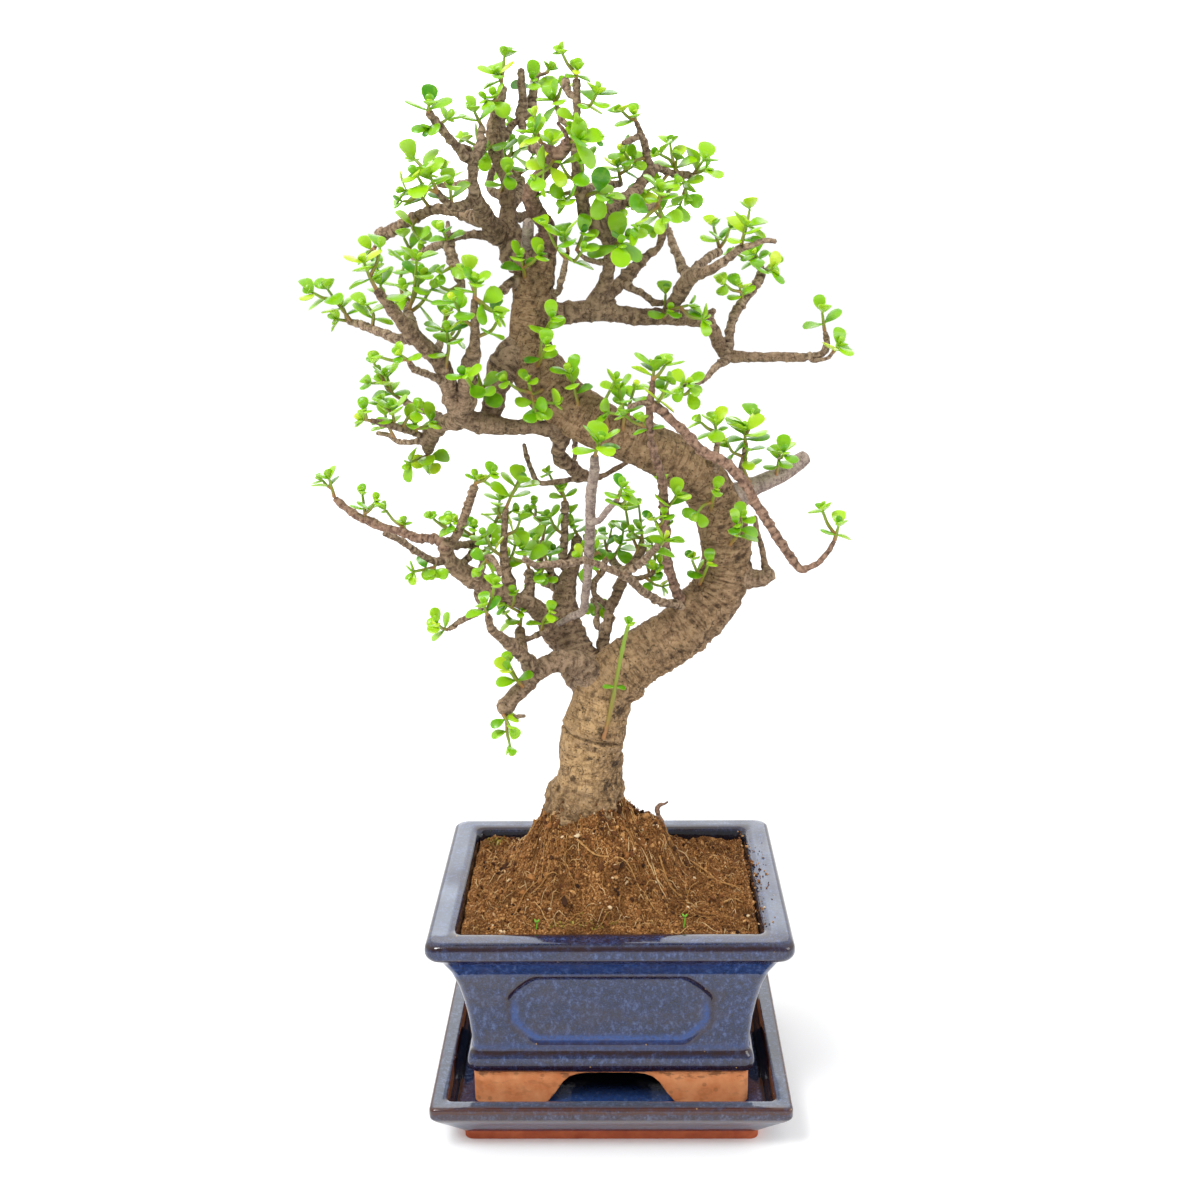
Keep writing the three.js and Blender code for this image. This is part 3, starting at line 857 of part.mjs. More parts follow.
// The leaf of one side of a pair: it leaves the shoot sideways, each pair square to the one
// before, leans towards the tip and turns its face up to the light.
function leafOf(place, axis, pair, side, pairs, length, seed) {
  const draw = drawsFrom(seed);
  const level = new THREE.Vector3(1, 0.35, 0).cross(axis).normalize();
  const square = axis.clone().cross(level);
  const turn = pair * Math.PI / 2 + side * Math.PI + 0.5 * draw();
  const fromTip = pairs - 1 - pair;
  const lean = (fromTip === 0 ? 0.95 : 1.25) + 0.28 * draw();
  const out = square.multiplyScalar(Math.cos(turn)).addScaledVector(level, Math.sin(turn));
  const along = axis.clone().multiplyScalar(Math.cos(lean)).addScaledVector(out, Math.sin(lean));
  const light = axis.clone().multiplyScalar(0.6);
  light.add(new THREE.Vector3(0.35 * draw(), -0.25 + 0.35 * draw(), 0.8));
  const up = light.addScaledVector(along, -light.dot(along)).normalize();
  const across = up.clone().cross(along);
  const size = length * ([0.86, 1][fromTip] ?? 0.9) * (1 + 0.1 * draw());
  return { root: place.clone(), along, across, up, length: size };
}

// The way of a green shoot: it leaves a thick stem at its face, and a thin one at its middle.
function shootStations(host, [, way, lean]) {
  const [x, z, radius, depth] = nearestOnStem(host, way[0][0], way[0][1]);
  const thick = radius > 3;
  const aside = Math.hypot(way[0][0] - x, way[0][1] - z);
  const face = thick ? Math.sign(lean) * 0.85 * Math.sqrt(Math.max(0, radius ** 2 - aside ** 2)) : 0;
  const first = [...(thick ? way[0] : [x, z]), SHOOT_RADIUS, depth + face];
  const rest = way.slice(1).map(([px, pz]) => [px, pz, SHOOT_RADIUS]);
  rest[rest.length - 1].push(depth + face + lean);
  return withDepths([first, ...rest], depth);
}

// Where on a route a share of its length is, with the direction there.
function alongRoute(route, share) {
  const steps = route.slice(1).map((station, i) => station.place.distanceTo(route[i].place));
  let left = share * steps.reduce((sum, step) => sum + step, 0);
  let i = 0;
  while (i + 1 < steps.length && left > steps[i]) {
    left -= steps[i];
    i += 1;
  }
  const axis = route[i + 1].place.clone().sub(route[i].place).normalize();
  return { place: route[i].place.clone().addScaledVector(axis, left - SHOOT_RADIUS), axis };
}

// Points spread over a leaf's blade, to measure how near it comes to other things.
function bladePoints({ root, along, across, length }) {
  const points = [];
  for (const u of [0.3, 0.5, 0.7, 0.88, 1]) {
    const wide = length * LEAF_WIDTH * 0.5 * Math.sin(Math.PI * Math.min(0.86, 0.12 + 0.8 * u));
    for (const v of [-0.9, -0.45, 0, 0.45, 0.9]) {
      points.push(root.clone().addScaledVector(along, u * length).addScaledVector(across, v * wide));
    }
  }
  return points;
}

// Whether a blade would touch a stem that isn't its own, or a leaf of another branch.
function blocked(blade, segments, otherBlades) {
  const here = new THREE.Vector3();
  for (const { line, radius } of segments) {
    const reach = radius + LEAF_CLEAR + LEAF_THICKNESS / 2;
    for (const point of blade) {
      line.closestPointToPoint(point, true, here);
      if (here.distanceTo(point) < reach) return true;
    }
  }
  for (const other of otherBlades) {
    if (other[12].distanceTo(blade[12]) > 16) continue;
    for (const a of other) {
      for (const b of blade) {
        if (a.distanceTo(b) < LEAF_CLEAR + LEAF_THICKNESS) return true;
      }
    }
  }
  return false;
}

// The straight pieces of a route, each with its larger radius.
function segmentsOf(route) {
  return route.slice(1).map((station, i) => ({
    line: new THREE.Line3(route[i].place, station.place),
    radius: Math.max(route[i].radius, station.radius),
  }));
}

const onBranches = new Set(LEAFY.flatMap(([, stems]) => stems));
const woodNames = [...stemRoutes.keys()].filter((name) => !onBranches.has(name));
const allSegments = (names) => names.flatMap((name) => segmentsOf(inSpace(stemRoutes.get(name))));

function makeWood(grow) {
  return wasm.Manifold.union(woodNames.map((name) => stemSolid(stemRoutes.get(name), grow)));
}

// One leafy branch: its thin stems, its shoots and its leaves, with the shoots' own pieces.
// A leaf that would cross another branch is drawn again, and is left out if it never fits.
function planLeafy([name, stems, shoots], number, blades) {
  const otherStems = [...stemRoutes.keys()].filter((other) => !stems.includes(other));
  const segments = allSegments(otherStems);
  const routes = [];
  const leaves = [];
  const ownBlades = [];
  shoots.forEach((shoot, order) => {
    const host = typeof shoot[0] === "number" ? routes[shoot[0]] : stemRoutes.get(shoot[0]);
    const stations = shootStations(host, shoot);
    routes.push(stations);
    const route = inSpace(stations);
    const [pairs, length] = [shoot[3], shoot[4]];
    const kept = length < SMALL_LEAF ? 1 : PAIRS_KEPT;
    for (let pair = Math.max(0, pairs - kept); pair < pairs; pair += 1) {
      const share = pairs === 1 ? 1 : 0.45 + 0.55 * pair / (pairs - 1);
      const { place, axis } = alongRoute(route, share);
      for (const side of [0, 1]) {
        const seed = number * 4096 + order * 256 + pair * 32 + side * 16;
        for (let attempt = 0; attempt < LEAF_TRIES; attempt += 1) {
          const long = length * (attempt < 5 ? 1 : 0.75);
          const leaf = leafOf(place, axis, pair, side, pairs, long, seed + attempt);
          const blade = bladePoints(leaf);
          if (blocked(blade, segments, blades)) continue;
          leaves.push(leaf);
          ownBlades.push(blade);
          break;
        }
      }
    }
  });
  return { name, stems, routes, leaves, ownBlades };
}

function leafySolid({ stems, routes, leaves }, grow) {
  return wasm.Manifold.union([
    ...stems.map((name) => stemSolid(stemRoutes.get(name), grow)),
    ...routes.map((route) => skin(tubeRings(thinned(inSpace(route), 1), 3, grow, 0))),
    ...leaves.map((leaf) => leafSolid(leaf, grow)),
  ]);
}

// Whether the boxes round two solids come near each other.
function near(a, b) {
  const [p, q] = [a.boundingBox(), b.boundingBox()];
  return [0, 1, 2].every((k) => p.min[k] < q.max[k] + 1 && q.min[k] < p.max[k] + 1);
}

// The largest body of a solid, without the scraps that a cut left loose.
function mainBody(solid) {
  return solid.decompose().reduce((a, b) => (b.volume() > a.volume() ? b : a));
}

// A named mesh of a solid in one colour.
function meshOf(name, solid, color, roughness) {
  const { vertProperties, triVerts } = solid.getMesh();
  const geometry = new THREE.BufferGeometry();
  geometry.setAttribute("position", new THREE.BufferAttribute(vertProperties, 3));
  geometry.setIndex(new THREE.BufferAttribute(triVerts, 1));
  const material = new THREE.MeshStandardMaterial({ color, roughness, metalness: 0 });
  const mesh = new THREE.Mesh(geometry, material);
  mesh.name = name;
  return mesh;
}

const tree = new THREE.Group();
tree.add(meshOf("tray", makeTray(), 0x46587a, 0.3));
tree.add(meshOf("pot", makePot(), 0x2c4070, 0.2));
for (const [name, x] of [["drain_screen_left", -DRAIN_HOLE_X], ["drain_screen_right", DRAIN_HOLE_X]]) {
  tree.add(meshOf(name, makeDrainScreen(x), 0x222222, 0.6));
}
const trunkFoot = inSpace(stemRoutes.get("trunk").slice(0, 4));
tree.add(meshOf("soil", makeSoil(skin(tubeRings(trunkFoot, 10, 0.5, BARK_RELIEF))), 0x6b4526, 1));
tree.add(meshOf("wood", makeWood(0), 0x86705a, 0.9));

// Each leafy branch is cut clear of the wood and of the branches before it.
const clear = [makeWood(WOOD_CLEAR)];
const blades = [];
LEAFY.forEach((entry, number) => {
  const branch = planLeafy(entry, number, blades);
  const whole = leafySolid(branch, 0);
  const cuts = clear.filter((other) => near(whole, other));
  const solid = mainBody(wasm.Manifold.difference([whole, ...cuts]));
  tree.add(meshOf(branch.name, solid, 0x78b428, 0.4));
  clear.push(leafySolid(branch, GAP));
  blades.push(...branch.ownBlades);
});

export default tree;
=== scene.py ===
"""The looks of a dwarf jade bonsai in a glazed pot on its drip tray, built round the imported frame.

Lengths are in millimetres while a shape is worked out, and in metres in the finished meshes.
"""
import logging
import math
from dataclasses import dataclass, field
from enum import Enum
from typing import Any, Callable, Iterable, Sequence

import bpy
import numpy as np
from mathutils import Matrix
from numpy.typing import NDArray


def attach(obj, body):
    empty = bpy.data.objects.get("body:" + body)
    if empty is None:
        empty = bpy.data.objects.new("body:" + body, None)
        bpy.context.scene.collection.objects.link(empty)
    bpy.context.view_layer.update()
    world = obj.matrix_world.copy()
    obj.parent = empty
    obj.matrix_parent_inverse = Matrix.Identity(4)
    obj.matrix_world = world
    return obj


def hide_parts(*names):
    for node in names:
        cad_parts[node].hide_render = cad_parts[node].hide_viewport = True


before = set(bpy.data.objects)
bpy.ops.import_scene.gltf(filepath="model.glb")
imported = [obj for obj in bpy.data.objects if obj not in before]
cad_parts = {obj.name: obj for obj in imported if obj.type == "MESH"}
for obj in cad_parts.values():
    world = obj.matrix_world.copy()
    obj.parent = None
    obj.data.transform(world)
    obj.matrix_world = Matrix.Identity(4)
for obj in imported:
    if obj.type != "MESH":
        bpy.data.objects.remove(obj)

Array = NDArray[np.float64]
Station = tuple[float, ...]

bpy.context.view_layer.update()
LOG = logging.getLogger("bonsai")
MM = 0.001

# The eye that the front elevation was drawn from, in mm, and how far depths are spread
EYE = np.array([6.712, -586.568, 403.512])
DEPTH_SPREAD = 1.25

# Leaves
SHOOT_RADIUS = 0.7
LEAF_THICKNESS = 1.7
LEAF_WIDTH = 0.74
LEAF_TRIES = 8
PAIRS_KEPT = 2
SMALL_LEAF = 8.2
LEAF_CLEAR = 0.35
LEAF_REACH = 16
TIP_LEAF = 4.4

# Where the rows of repeatable draws start, and how far apart they are
BRANCH_SEEDS = 4096
SHOOT_SEEDS = 256
PAIR_SEEDS = 32
SIDE_SHOOT_SEED = 500000
EXTRA_SHOOT_SEED = 900000
EXTRA_SHOOT_SEEDS = 512
TIP_SEED = 90001

# Branches whose shoots fork no further, because the photograph shows them open
NO_SIDE_SHOOTS = ("trunk_shoot", "front_grey_leaves", "across_end_leaves", "arch_leaves",
                  "up_top_leaves", "left_pair_leaves", "middle_back_leaves", "tall_leaves",
                  "limb_upper_leaves", "low_bar_leaves", "trunk_side_leaves", "inner_side_leaves",
                  "arch_left_leaves", "trunk_upper_leaves")

# Old scars on the front of the trunk: x, z and size
TRUNK_SCARS = ((4.4, 185.9, 3.2), (-10.5, 186.9, 1.4), (-8.6, 165.1, 1.5), (-5.9, 169.3, 1.2),
               (2.9, 160.5, 3.0), (-2.4, 177.1, 3.6), (-16.1, 155.2, 2.0), (-1.0, 152.0, 2.6))

# Tray, pot and soil
TRAY_HALF = (78.25, 63.5)
TRAY_TOP = 24.4
TRAY_FLOOR = 15.0
TRAY_BASE_HALF = (65.0, 50.25)
TRAY_FOOT_HEIGHT = 4.5
POT_BOTTOM = 15.3
POT_TOP = 102.0
POT_HALF = (77.5, 62.5)
POT_FOOT_HALF = (60.5, 45.5)
FOOT_WALL = 8.0
ARCH_HEIGHT = 13.0
ARCH_HALF = (27.0, 19.0)
ARCH_TOP = 15.2
POT_FLOOR = 34.0
GLAZE_EDGE = 31.0
PANEL_HALF = (43.5, 17.8)
PANEL_HEIGHT = 63.0
PANEL_DEPTH = 1.0
DRAIN_HOLES = (-28.0, 28.0)
DRAIN_RADIUS = 6.0
OUTSIDE_PANEL = -20.0
SOIL_EDGE = 96.5
SOIL_HALF = (61.0, 46.0)
MOUND_RISE = 35.0
MOUND_REACH = 50.0

# The woody stems: name, the stem it grows from, and its stations (x, z, radius, depth) in mm.
STEMS = (
    ("trunk", None, ((-10, 112, 17, 0), (-10, 130, 18.5), (-11, 140, 18), (-9.6, 147, 15.8),
        (-9, 155, 14.4), (-8.7, 165, 14.2), (-5.8, 175, 13.8), (-3.6, 185, 13.3),
        (-2.5, 191, 13, 0), (3, 198, 13), (11, 206, 12.3), (22, 213.5, 11.7), (32, 220, 11.7, 4),
        (41, 228, 12), (47, 236, 11.3), (50, 246, 11, 8), (49.5, 256, 10.6), (48.5, 266, 10.5),
        (46, 276, 10.5, 8), (40, 285, 10.5), (31, 291.5, 10.3, 4), (21, 297.5, 10.2),
        (10, 302, 10), (0, 307, 10, -2), (-9, 313, 10.5), (-17, 319, 11), (-24, 326, 11.5),
        (-28.5, 333, 11), (-30.5, 340, 9, 0), (-31, 347, 7.9), (-30, 354, 8.4), (-29, 361, 8.8),
        (-28.5, 368, 8.3), (-26.5, 375, 7.6), (-24, 381, 5.8, 2))),
    ("leader", "trunk", ((-33, 378, 7), (-37, 384, 6), (-38.5, 390, 4.2), (-38, 396, 3.4),
        (-38, 402, 3.2), (-38.3, 407, 3), (-41, 413, 2.7), (-42.5, 419, 3), (-43.2, 425, 3),
        (-42.3, 430, 2.5), (-40.9, 433.5, 2.2, 10))),
    ("leader_tip", "leader", ((-40.2, 435, 1.7), (-39.3, 438, 1.3), (-39.2, 443, 1, 12))),
    ("brown_limb", "trunk", ((-22.7, 386, 4), (-23, 389, 3.5), (-25.4, 392.5, 3.4),
        (-27.8, 396, 3.6), (-29.2, 400, 3.3), (-28.2, 404, 3.2), (-25.3, 408, 3), (-21.8, 412, 3),
        (-18.5, 415.5, 2.9), (-15.5, 418.5, 2.6), (-14, 421, 2.2, -22))),
    ("across", "trunk", ((-20, 354.5, 4.4), (-12, 355, 4.4), (-5, 355.5, 4.7), (1, 355, 4.1),
        (8, 353.7, 3.7), (15, 353, 3.6), (22, 353, 3.5, 10), (30, 352.5, 3.4), (37, 352, 3.3),
        (41, 350.5, 3.3), (44, 347, 2.9), (46, 343, 2.7), (48, 339, 2.7, 14), (51, 336.7, 2.4),
        (55, 336.5, 2.3), (60, 336.3, 2.1), (66, 336.2, 2), (72, 336.3, 2), (78, 336, 1.9),
        (83, 336.2, 1.7, 0))),
    ("across_end", "across", ((85, 336.4, 1.6), (88, 337, 1.6), (89.7, 338.7, 1.4),
        (90.5, 341, 1.3), (90, 344, 1.1), (89.3, 346.5, 0.9, -2))),
    ("across_hook", "across_end", ((84.5, 335.2, 0.9), (88.5, 335, 0.8), (91.5, 336, 0.8),
        (93, 338, 0.8, -6))),
    ("across_stub", "across", ((43, 354, 1.5), (44.8, 355.6, 1.2, 10))),
    ("across_up", "across", ((50, 340, 2), (50.7, 345, 1.8), (51.5, 350, 1.9), (53.5, 355, 1.9),
        (57, 360, 1.8), (60, 364, 1.8), (62.5, 367.5, 2.2), (63, 371, 1.6), (62.5, 374, 1.1, 30))),
    ("across_low", "across", ((49, 335, 1.6), (46, 333, 1.5), (43.5, 330.5, 1.3), (41, 327.5, 1.1),
        (37.5, 326, 1.1), (34, 326.5, 1.2, -6))),
    ("middle", "across", ((-3, 359, 3.6), (-1, 364, 3.1), (1, 369, 2.9), (2, 374, 2.8),
        (2.5, 379, 2.8), (1.5, 384, 3), (-2, 388, 3.4), (-5.5, 391, 3.2), (-7.8, 395, 2.9),
        (-8.6, 400, 2.8), (-9.5, 405, 2.8), (-10, 410, 2.7), (-10.4, 414, 2.4),
        (-10.8, 418, 2.1, -14))),
    ("middle_top", "middle", ((-11, 420, 1.7), (-10.6, 424, 1.5), (-10.3, 430, 1.4),
        (-10.2, 435, 1.5), (-10, 440, 1.5), (-10.3, 444.5, 1.6, -18))),
    ("middle_knob", "middle_top", ((-12, 438, 1.1), (-14, 441, 1.7), (-14.4, 444.5, 1.7, -12))),
    ("middle_right", "middle", ((-1, 391, 3.1), (3.7, 395.8, 2.8), (7.8, 398.9, 2.6),
        (11.5, 401.3, 2.3), (14.5, 404.6, 2.2), (17.7, 408.2, 2.2), (19, 409.8, 2, 20))),
    ("right_end", "middle_right", ((21, 410.4, 1.6), (26, 409, 1.4), (30, 408, 1.3),
        (33, 408, 1.6), (35, 407.5, 1.4, 34))),
    ("right_top", "middle_right", ((18.5, 411, 1.7), (17.5, 414, 1.6), (16.7, 418, 1.5),
        (15.5, 422, 1.3), (14, 426, 1), (12.8, 428.5, 0.8, 8))),
    ("right_spur", "right_top", ((13, 422.3, 1.2), (9.5, 420.7, 1.1), (7.5, 420.2, 0.9, 4))),
    ("right_low", "middle_right", ((11, 397.5, 1.7), (14, 395.5, 1.6), (18, 395.5, 1.5),
        (21.5, 396.5, 1.2, -14))),
    ("middle_back", "middle", ((-5, 402.5, 2.2), (-2, 404, 2.2), (3, 404.5, 1.5),
        (7, 405, 1.2, 22))),
    ("inner_fork", "across", ((1, 361, 2.9), (4.5, 364.5, 2.7), (8, 368, 2.5), (12, 372, 2.4),
        (15, 375.3, 2.1), (18, 377.5, 1.6), (21.5, 380, 1.4), (23, 384, 1.5), (24.5, 387.5, 1.4),
        (24.4, 391.5, 0.9, 26))),
    ("inner_side", "middle", ((-4, 375, 1), (-8, 376.5, 0.9), (-11, 379.5, 0.7, -8))),
    ("inner_cross", "inner_fork", ((10.5, 364.5, 1.5), (14, 362.8, 1.4), (17, 361, 1.4),
        (20, 358.8, 1.4), (24, 358.3, 1.3, 8))),
    ("right_up", "across", ((27, 356.5, 2.8), (30, 361, 2.9), (32.3, 366, 3.2), (35, 368.5, 2.6),
        (39, 370, 2.2), (43, 371.5, 2), (47, 374, 1.8, -14))),
    ("right_up_end", "right_up", ((49, 375.5, 1.7), (51, 377, 1.6), (55, 379.5, 1.5),
        (60, 381, 1.2), (64, 382.5, 1), (69, 382, 0.7, -26))),
    ("right_up_left", "right_up", ((32, 371, 2), (30.5, 375, 1.7), (28.5, 379, 1.6),
        (27, 383, 1.5), (25.8, 387.5, 1.2, 18))),
    ("right_up_pair", "right_up", ((36.5, 371.5, 1.6), (40, 374.5, 1.7), (43, 376.8, 1.7),
        (46.5, 378.5, 1.6, 20))),
    ("trunk_side", "trunk", ((-18.5, 363.5, 1.3), (-17.8, 367, 1.2), (-16.5, 371, 1.3),
        (-15.6, 375, 1), (-14.5, 379, 0.8, -14))),
    ("leader_stub", "leader", ((-31.5, 380, 2.4), (-30.6, 385, 2.4), (-30.1, 391, 2.4, -12))),
    ("leader_bar", "leader", ((-34, 392.5, 1.8), (-29.5, 393.2, 1.6, 12))),
    ("leader_fork", "leader", ((-35.8, 399, 2.2), (-34, 402, 2.1), (-32.8, 405, 1.9),
        (-34.3, 408.5, 1.5), (-36, 411.3, 1.1, 30))),
    ("dark_crook", "brown_limb", ((-26.5, 406.5, 2), (-24.8, 410.5, 1.9), (-23.8, 414, 2),
        (-25, 417.8, 2.1), (-28.5, 418.8, 1.6, 8))),
    ("crook_twig", "brown_limb", ((-19.2, 417.2, 1.3), (-21.8, 418.6, 1.2),
        (-24.3, 420.6, 0.9, -20))),
    ("tip_twig", "brown_limb", ((-14.2, 422.5, 1), (-15.7, 425.5, 0.8), (-18, 428.3, 0.8, -28))),
    ("up_limb", "leader", ((-43, 386.5, 4.3), (-46, 391, 3.7), (-49, 396, 3.3), (-51, 400.5, 3),
        (-51.6, 404, 2.4, -14))),
    ("up_top", "up_limb", ((-51.7, 407, 2.1), (-51.6, 410, 2.1), (-51.2, 415, 2.2),
        (-48.5, 418.5, 2.1), (-47.6, 421.5, 1.9, -10))),
    ("up_left", "up_top", ((-54, 415.5, 2), (-58, 420, 1.7), (-62, 424.5, 1.7), (-65.5, 429, 1.6),
        (-68.5, 432.5, 1.7, -30))),
    ("up_link", "up_left", ((-55.5, 419.3, 1.2), (-52.5, 418.3, 1.2, -10))),
    ("up_stub", "up_top", ((-48, 423.5, 1.5), (-47.5, 427, 1.3, -4))),
    ("left_limb", "up_limb", ((-50, 391.7, 2.4), (-54, 393, 2.3), (-58, 395, 2.2),
        (-62, 395.6, 2.2), (-66, 396, 2.1), (-70, 395, 2), (-74, 393.5, 2), (-79, 391, 2.1),
        (-84, 388.5, 2.3), (-88, 386.5, 2.4), (-90, 385.5, 2.3, 30))),
    ("left_limb_twig", "left_limb", ((-90.5, 384, 0.9), (-92.5, 381, 0.8, 27))),
    ("left_pair", "up_limb", ((-53, 398.3, 2), (-56, 397.3, 2), (-60, 396.7, 1.9), (-63, 399, 1.5),
        (-66.3, 402.8, 1.3, -26))),
    ("left_bar", "up_top", ((-54, 406, 1.2), (-57.5, 405.6, 1.1), (-61, 404.7, 1),
        (-65.5, 405.2, 0.9, 12))),
    ("knob_twig", "leader", ((-42, 401.5, 1.8), (-45, 403.3, 1.4), (-44.6, 408.5, 1.4),
        (-43, 412.5, 1.3, 14))),
    ("low_bar", "leader", ((-43, 384.2, 2), (-48, 385.5, 1.7), (-53, 386, 1.6), (-58, 385.4, 1.5),
        (-62, 384.8, 1.9), (-62, 380, 2.1), (-60.7, 375, 2.1), (-59.3, 370.5, 2),
        (-58, 366.5, 1.7), (-58.2, 362.5, 1.3, -16))),
    ("low_bar_thorn", "low_bar", ((-62.4, 388, 1), (-62.4, 391, 0.7, 4))),
    ("low_bar_stub", "low_bar", ((-65.5, 382.3, 1.5), (-69, 381, 1.6), (-73, 379, 1.7),
        (-76.5, 377, 1.7, 22))),
    ("dark_link", "leader", ((-38.8, 423, 1.5), (-36, 427, 1.4), (-33, 429.5, 1.4),
        (-30, 431, 1.9), (-28, 434.5, 2), (-27.2, 438, 1.7), (-26.6, 442, 1.6),
        (-25.6, 447.5, 1.6, 26))),
    ("tall_twig", "dark_link", ((-31.5, 431, 1.7), (-31.3, 436, 1.7), (-31.5, 442, 1.6),
        (-31.6, 448.5, 1, 12))),
    ("tall_root", "dark_link", ((-31.8, 428, 1.5), (-31.6, 424.5, 1.4, 12))),
    ("thin_top", "dark_link", ((-24.3, 446, 0.8), (-21.8, 446.4, 0.7, 20))),
    ("back_twig", "leader", ((-40, 424, 1.4), (-39.6, 430, 1.3), (-39.4, 436, 1.3),
        (-38.6, 441.5, 1.2, 26))),
    ("behind_top", "middle", ((-12, 425, 1), (-16, 429, 1.1), (-17.5, 433.5, 1.3, 2))),
    ("trunk_stub", "trunk", ((-38, 366.8, 1.8), (-41, 364.6, 1.7), (-45, 362, 1.4, -8))),
    ("shoulder", "trunk", ((-37, 337, 8), (-42.5, 331, 6.2), (-45.5, 324, 5), (-46.8, 317, 4.6),
        (-48.5, 311, 4.2, -2))),
    ("low_arm", "trunk", ((-22, 307.5, 3.3), (-30, 308.5, 3.3), (-38, 308.3, 3.5), (-45, 309, 3.9),
        (-52, 310, 4.2), (-58, 312, 4.3, -8), (-62.3, 317, 4.1), (-64.3, 323, 3.9, -14))),
    ("arm_end", "low_arm", ((-64.8, 326, 3.8), (-65.5, 330, 3.8), (-68, 335, 3.6), (-72, 340, 3.5),
        (-76.5, 344.5, 3.4), (-80, 349, 3.2), (-83.5, 353, 2.7), (-87, 357.5, 2.3),
        (-90, 361.5, 2.1), (-92.5, 365, 1.8, -38))),
    ("arm_stem", "low_arm", ((-58.5, 318, 4), (-57.5, 324, 3.8), (-56.3, 331, 3.9),
        (-54.5, 337.5, 3.4), (-53.3, 343, 2.3), (-53, 349, 1.9), (-53, 355, 1.7),
        (-52.8, 361, 1.5, -30))),
    ("arm_left", "arm_end", ((-79.5, 345.3, 2), (-84, 345, 1.9), (-90, 347, 1.8), (-95, 349, 1.7),
        (-100, 351, 1.6), (-104.5, 352.3, 1.4, 2))),
    ("arm_inner", "arm_end", ((-79.3, 351, 2.2), (-80, 355, 1.7), (-81.3, 359, 1.5),
        (-82, 362.5, 1.2, 8))),
    ("arm_spur", "arm_end", ((-68.5, 328.6, 1.7), (-72, 330, 1.5), (-76, 331.5, 1.4),
        (-79, 333, 1.3), (-80.6, 335.8, 1, -38))),
    ("arm_twig", "arm_end", ((-68.3, 341, 1.4), (-67, 345.5, 1.1, 12))),
    ("hang_limb", "low_arm", ((-62, 311.3, 3.4), (-66.5, 310.7, 3.4), (-70, 308.8, 3.7),
        (-72.5, 306, 3.9), (-74, 302, 3.3), (-74.3, 297.8, 1.9, 10))),
    ("hang_upper", "hang_limb", ((-69.5, 313, 1.6), (-74, 315, 1.4), (-79, 317, 1.3),
        (-83.5, 319.5, 1.2, 28))),
    ("hang_low", "hang_limb", ((-77, 305, 1.3), (-81, 306.8, 1.4), (-85, 308.1, 1.6),
        (-88, 309, 1.6), (-93, 310.5, 1.5), (-98, 311.5, 1, -10))),
    ("hang_thin", "hang_limb", ((-78, 302.5, 1.3), (-83.3, 302.3, 1.2), (-87, 302.7, 1.1),
        (-90.5, 305.3, 1), (-95.5, 306.3, 0.9, 26))),
    ("elbow", "low_arm", ((-18, 303, 3), (-20.3, 298, 2.8), (-17, 293.3, 2.8), (-12.5, 289.8, 2.5),
        (-8, 287.2, 2.3), (-3, 287, 1.3), (3.8, 290.3, 1.1), (9, 293.3, 1, 20))),
    ("elbow_left", "elbow", ((-10.5, 286.5, 1.2), (-15, 286, 1.1), (-20, 285, 1.1),
        (-24, 284.5, 1.1), (-28.3, 284.8, 1.1), (-31.5, 290.5, 1.1), (-33, 295, 1),
        (-34.3, 301.5, 0.8, 4))),
    ("elbow_twig", "elbow", ((-13.4, 294.5, 0.9), (-13, 299, 1), (-13, 304, 1.1, -4))),
    ("second", "trunk", ((-13, 205, 9), (-16, 213, 8.6), (-18, 222, 7.2), (-18.8, 231, 5.6),
        (-18.2, 237, 4.9, 14))),
    ("second_top", "second", ((-18, 239, 4.6), (-15.3, 247, 3.6), (-13.2, 255, 2.8),
        (-12.5, 262, 2.2, 20))),
    ("second_a", "second_top", ((-22, 242.3, 1.6), (-24.3, 246.3, 1.5), (-26.2, 249.5, 1.4, 10))),
    ("second_b", "second_top", ((-24.5, 240, 1.7), (-28.4, 243, 1.6), (-28.5, 250, 1.5),
        (-27.3, 260, 1.3, 34))),
    ("second_c", "second_top", ((-18.3, 249, 1.9), (-18.4, 255, 1.8), (-18, 262, 1.7),
        (-17.7, 270, 1.7), (-17.5, 277, 1.6, 12))),
    ("stub_branch", "trunk", ((-18, 205.5, 5.4), (-25, 204.5, 4.6), (-31, 201, 4.1, -12))),
    ("stub_end", "stub_branch", ((-34, 198, 3.9), (-36, 195, 3.8), (-42, 189, 3.5),
        (-46, 184, 3.7), (-48.5, 182, 2.8, -18))),
    ("stub_twig", "stub_end", ((-44, 180.7, 1), (-36.5, 180.2, 0.8, -18))),
    ("stub_a", "stub_branch", ((-35, 206, 3), (-40, 211, 2.7), (-45, 215.5, 2.3), (-50, 220, 1.8),
        (-52, 227, 1.3, -34))),
    ("stub_b", "stub_branch", ((-36.5, 207.5, 2.7), (-37.8, 214, 2.6), (-38, 221, 2.3, 6))),
    ("stub_b_side", "stub_b", ((-34.5, 216, 1.1), (-29, 218.5, 1.1), (-25.5, 219.7, 1, -4))),
    ("left_low", "second", ((-21, 220, 6), (-27, 226, 4.7), (-33, 231, 3.8), (-40, 234, 3.5),
        (-47, 237, 3.6, -4))),
    ("left_bough", "left_low", ((-50, 238.5, 3.7), (-55, 241.5, 4), (-60, 244.5, 4),
        (-65, 248.5, 3.8), (-68, 253.5, 3.3), (-69, 258, 2.8, -12))),
    ("long_left", "left_bough", ((-72, 260.3, 2), (-76.5, 261, 2), (-81, 261.3, 2), (-85, 263, 2),
        (-88.8, 264.2, 1.9), (-93, 265.3, 1.9), (-97, 267, 1.8), (-100.3, 268.8, 1.8),
        (-104, 270, 1.7), (-107.5, 272.2, 1.7), (-110.3, 274.5, 1.5), (-113, 276.8, 1.4),
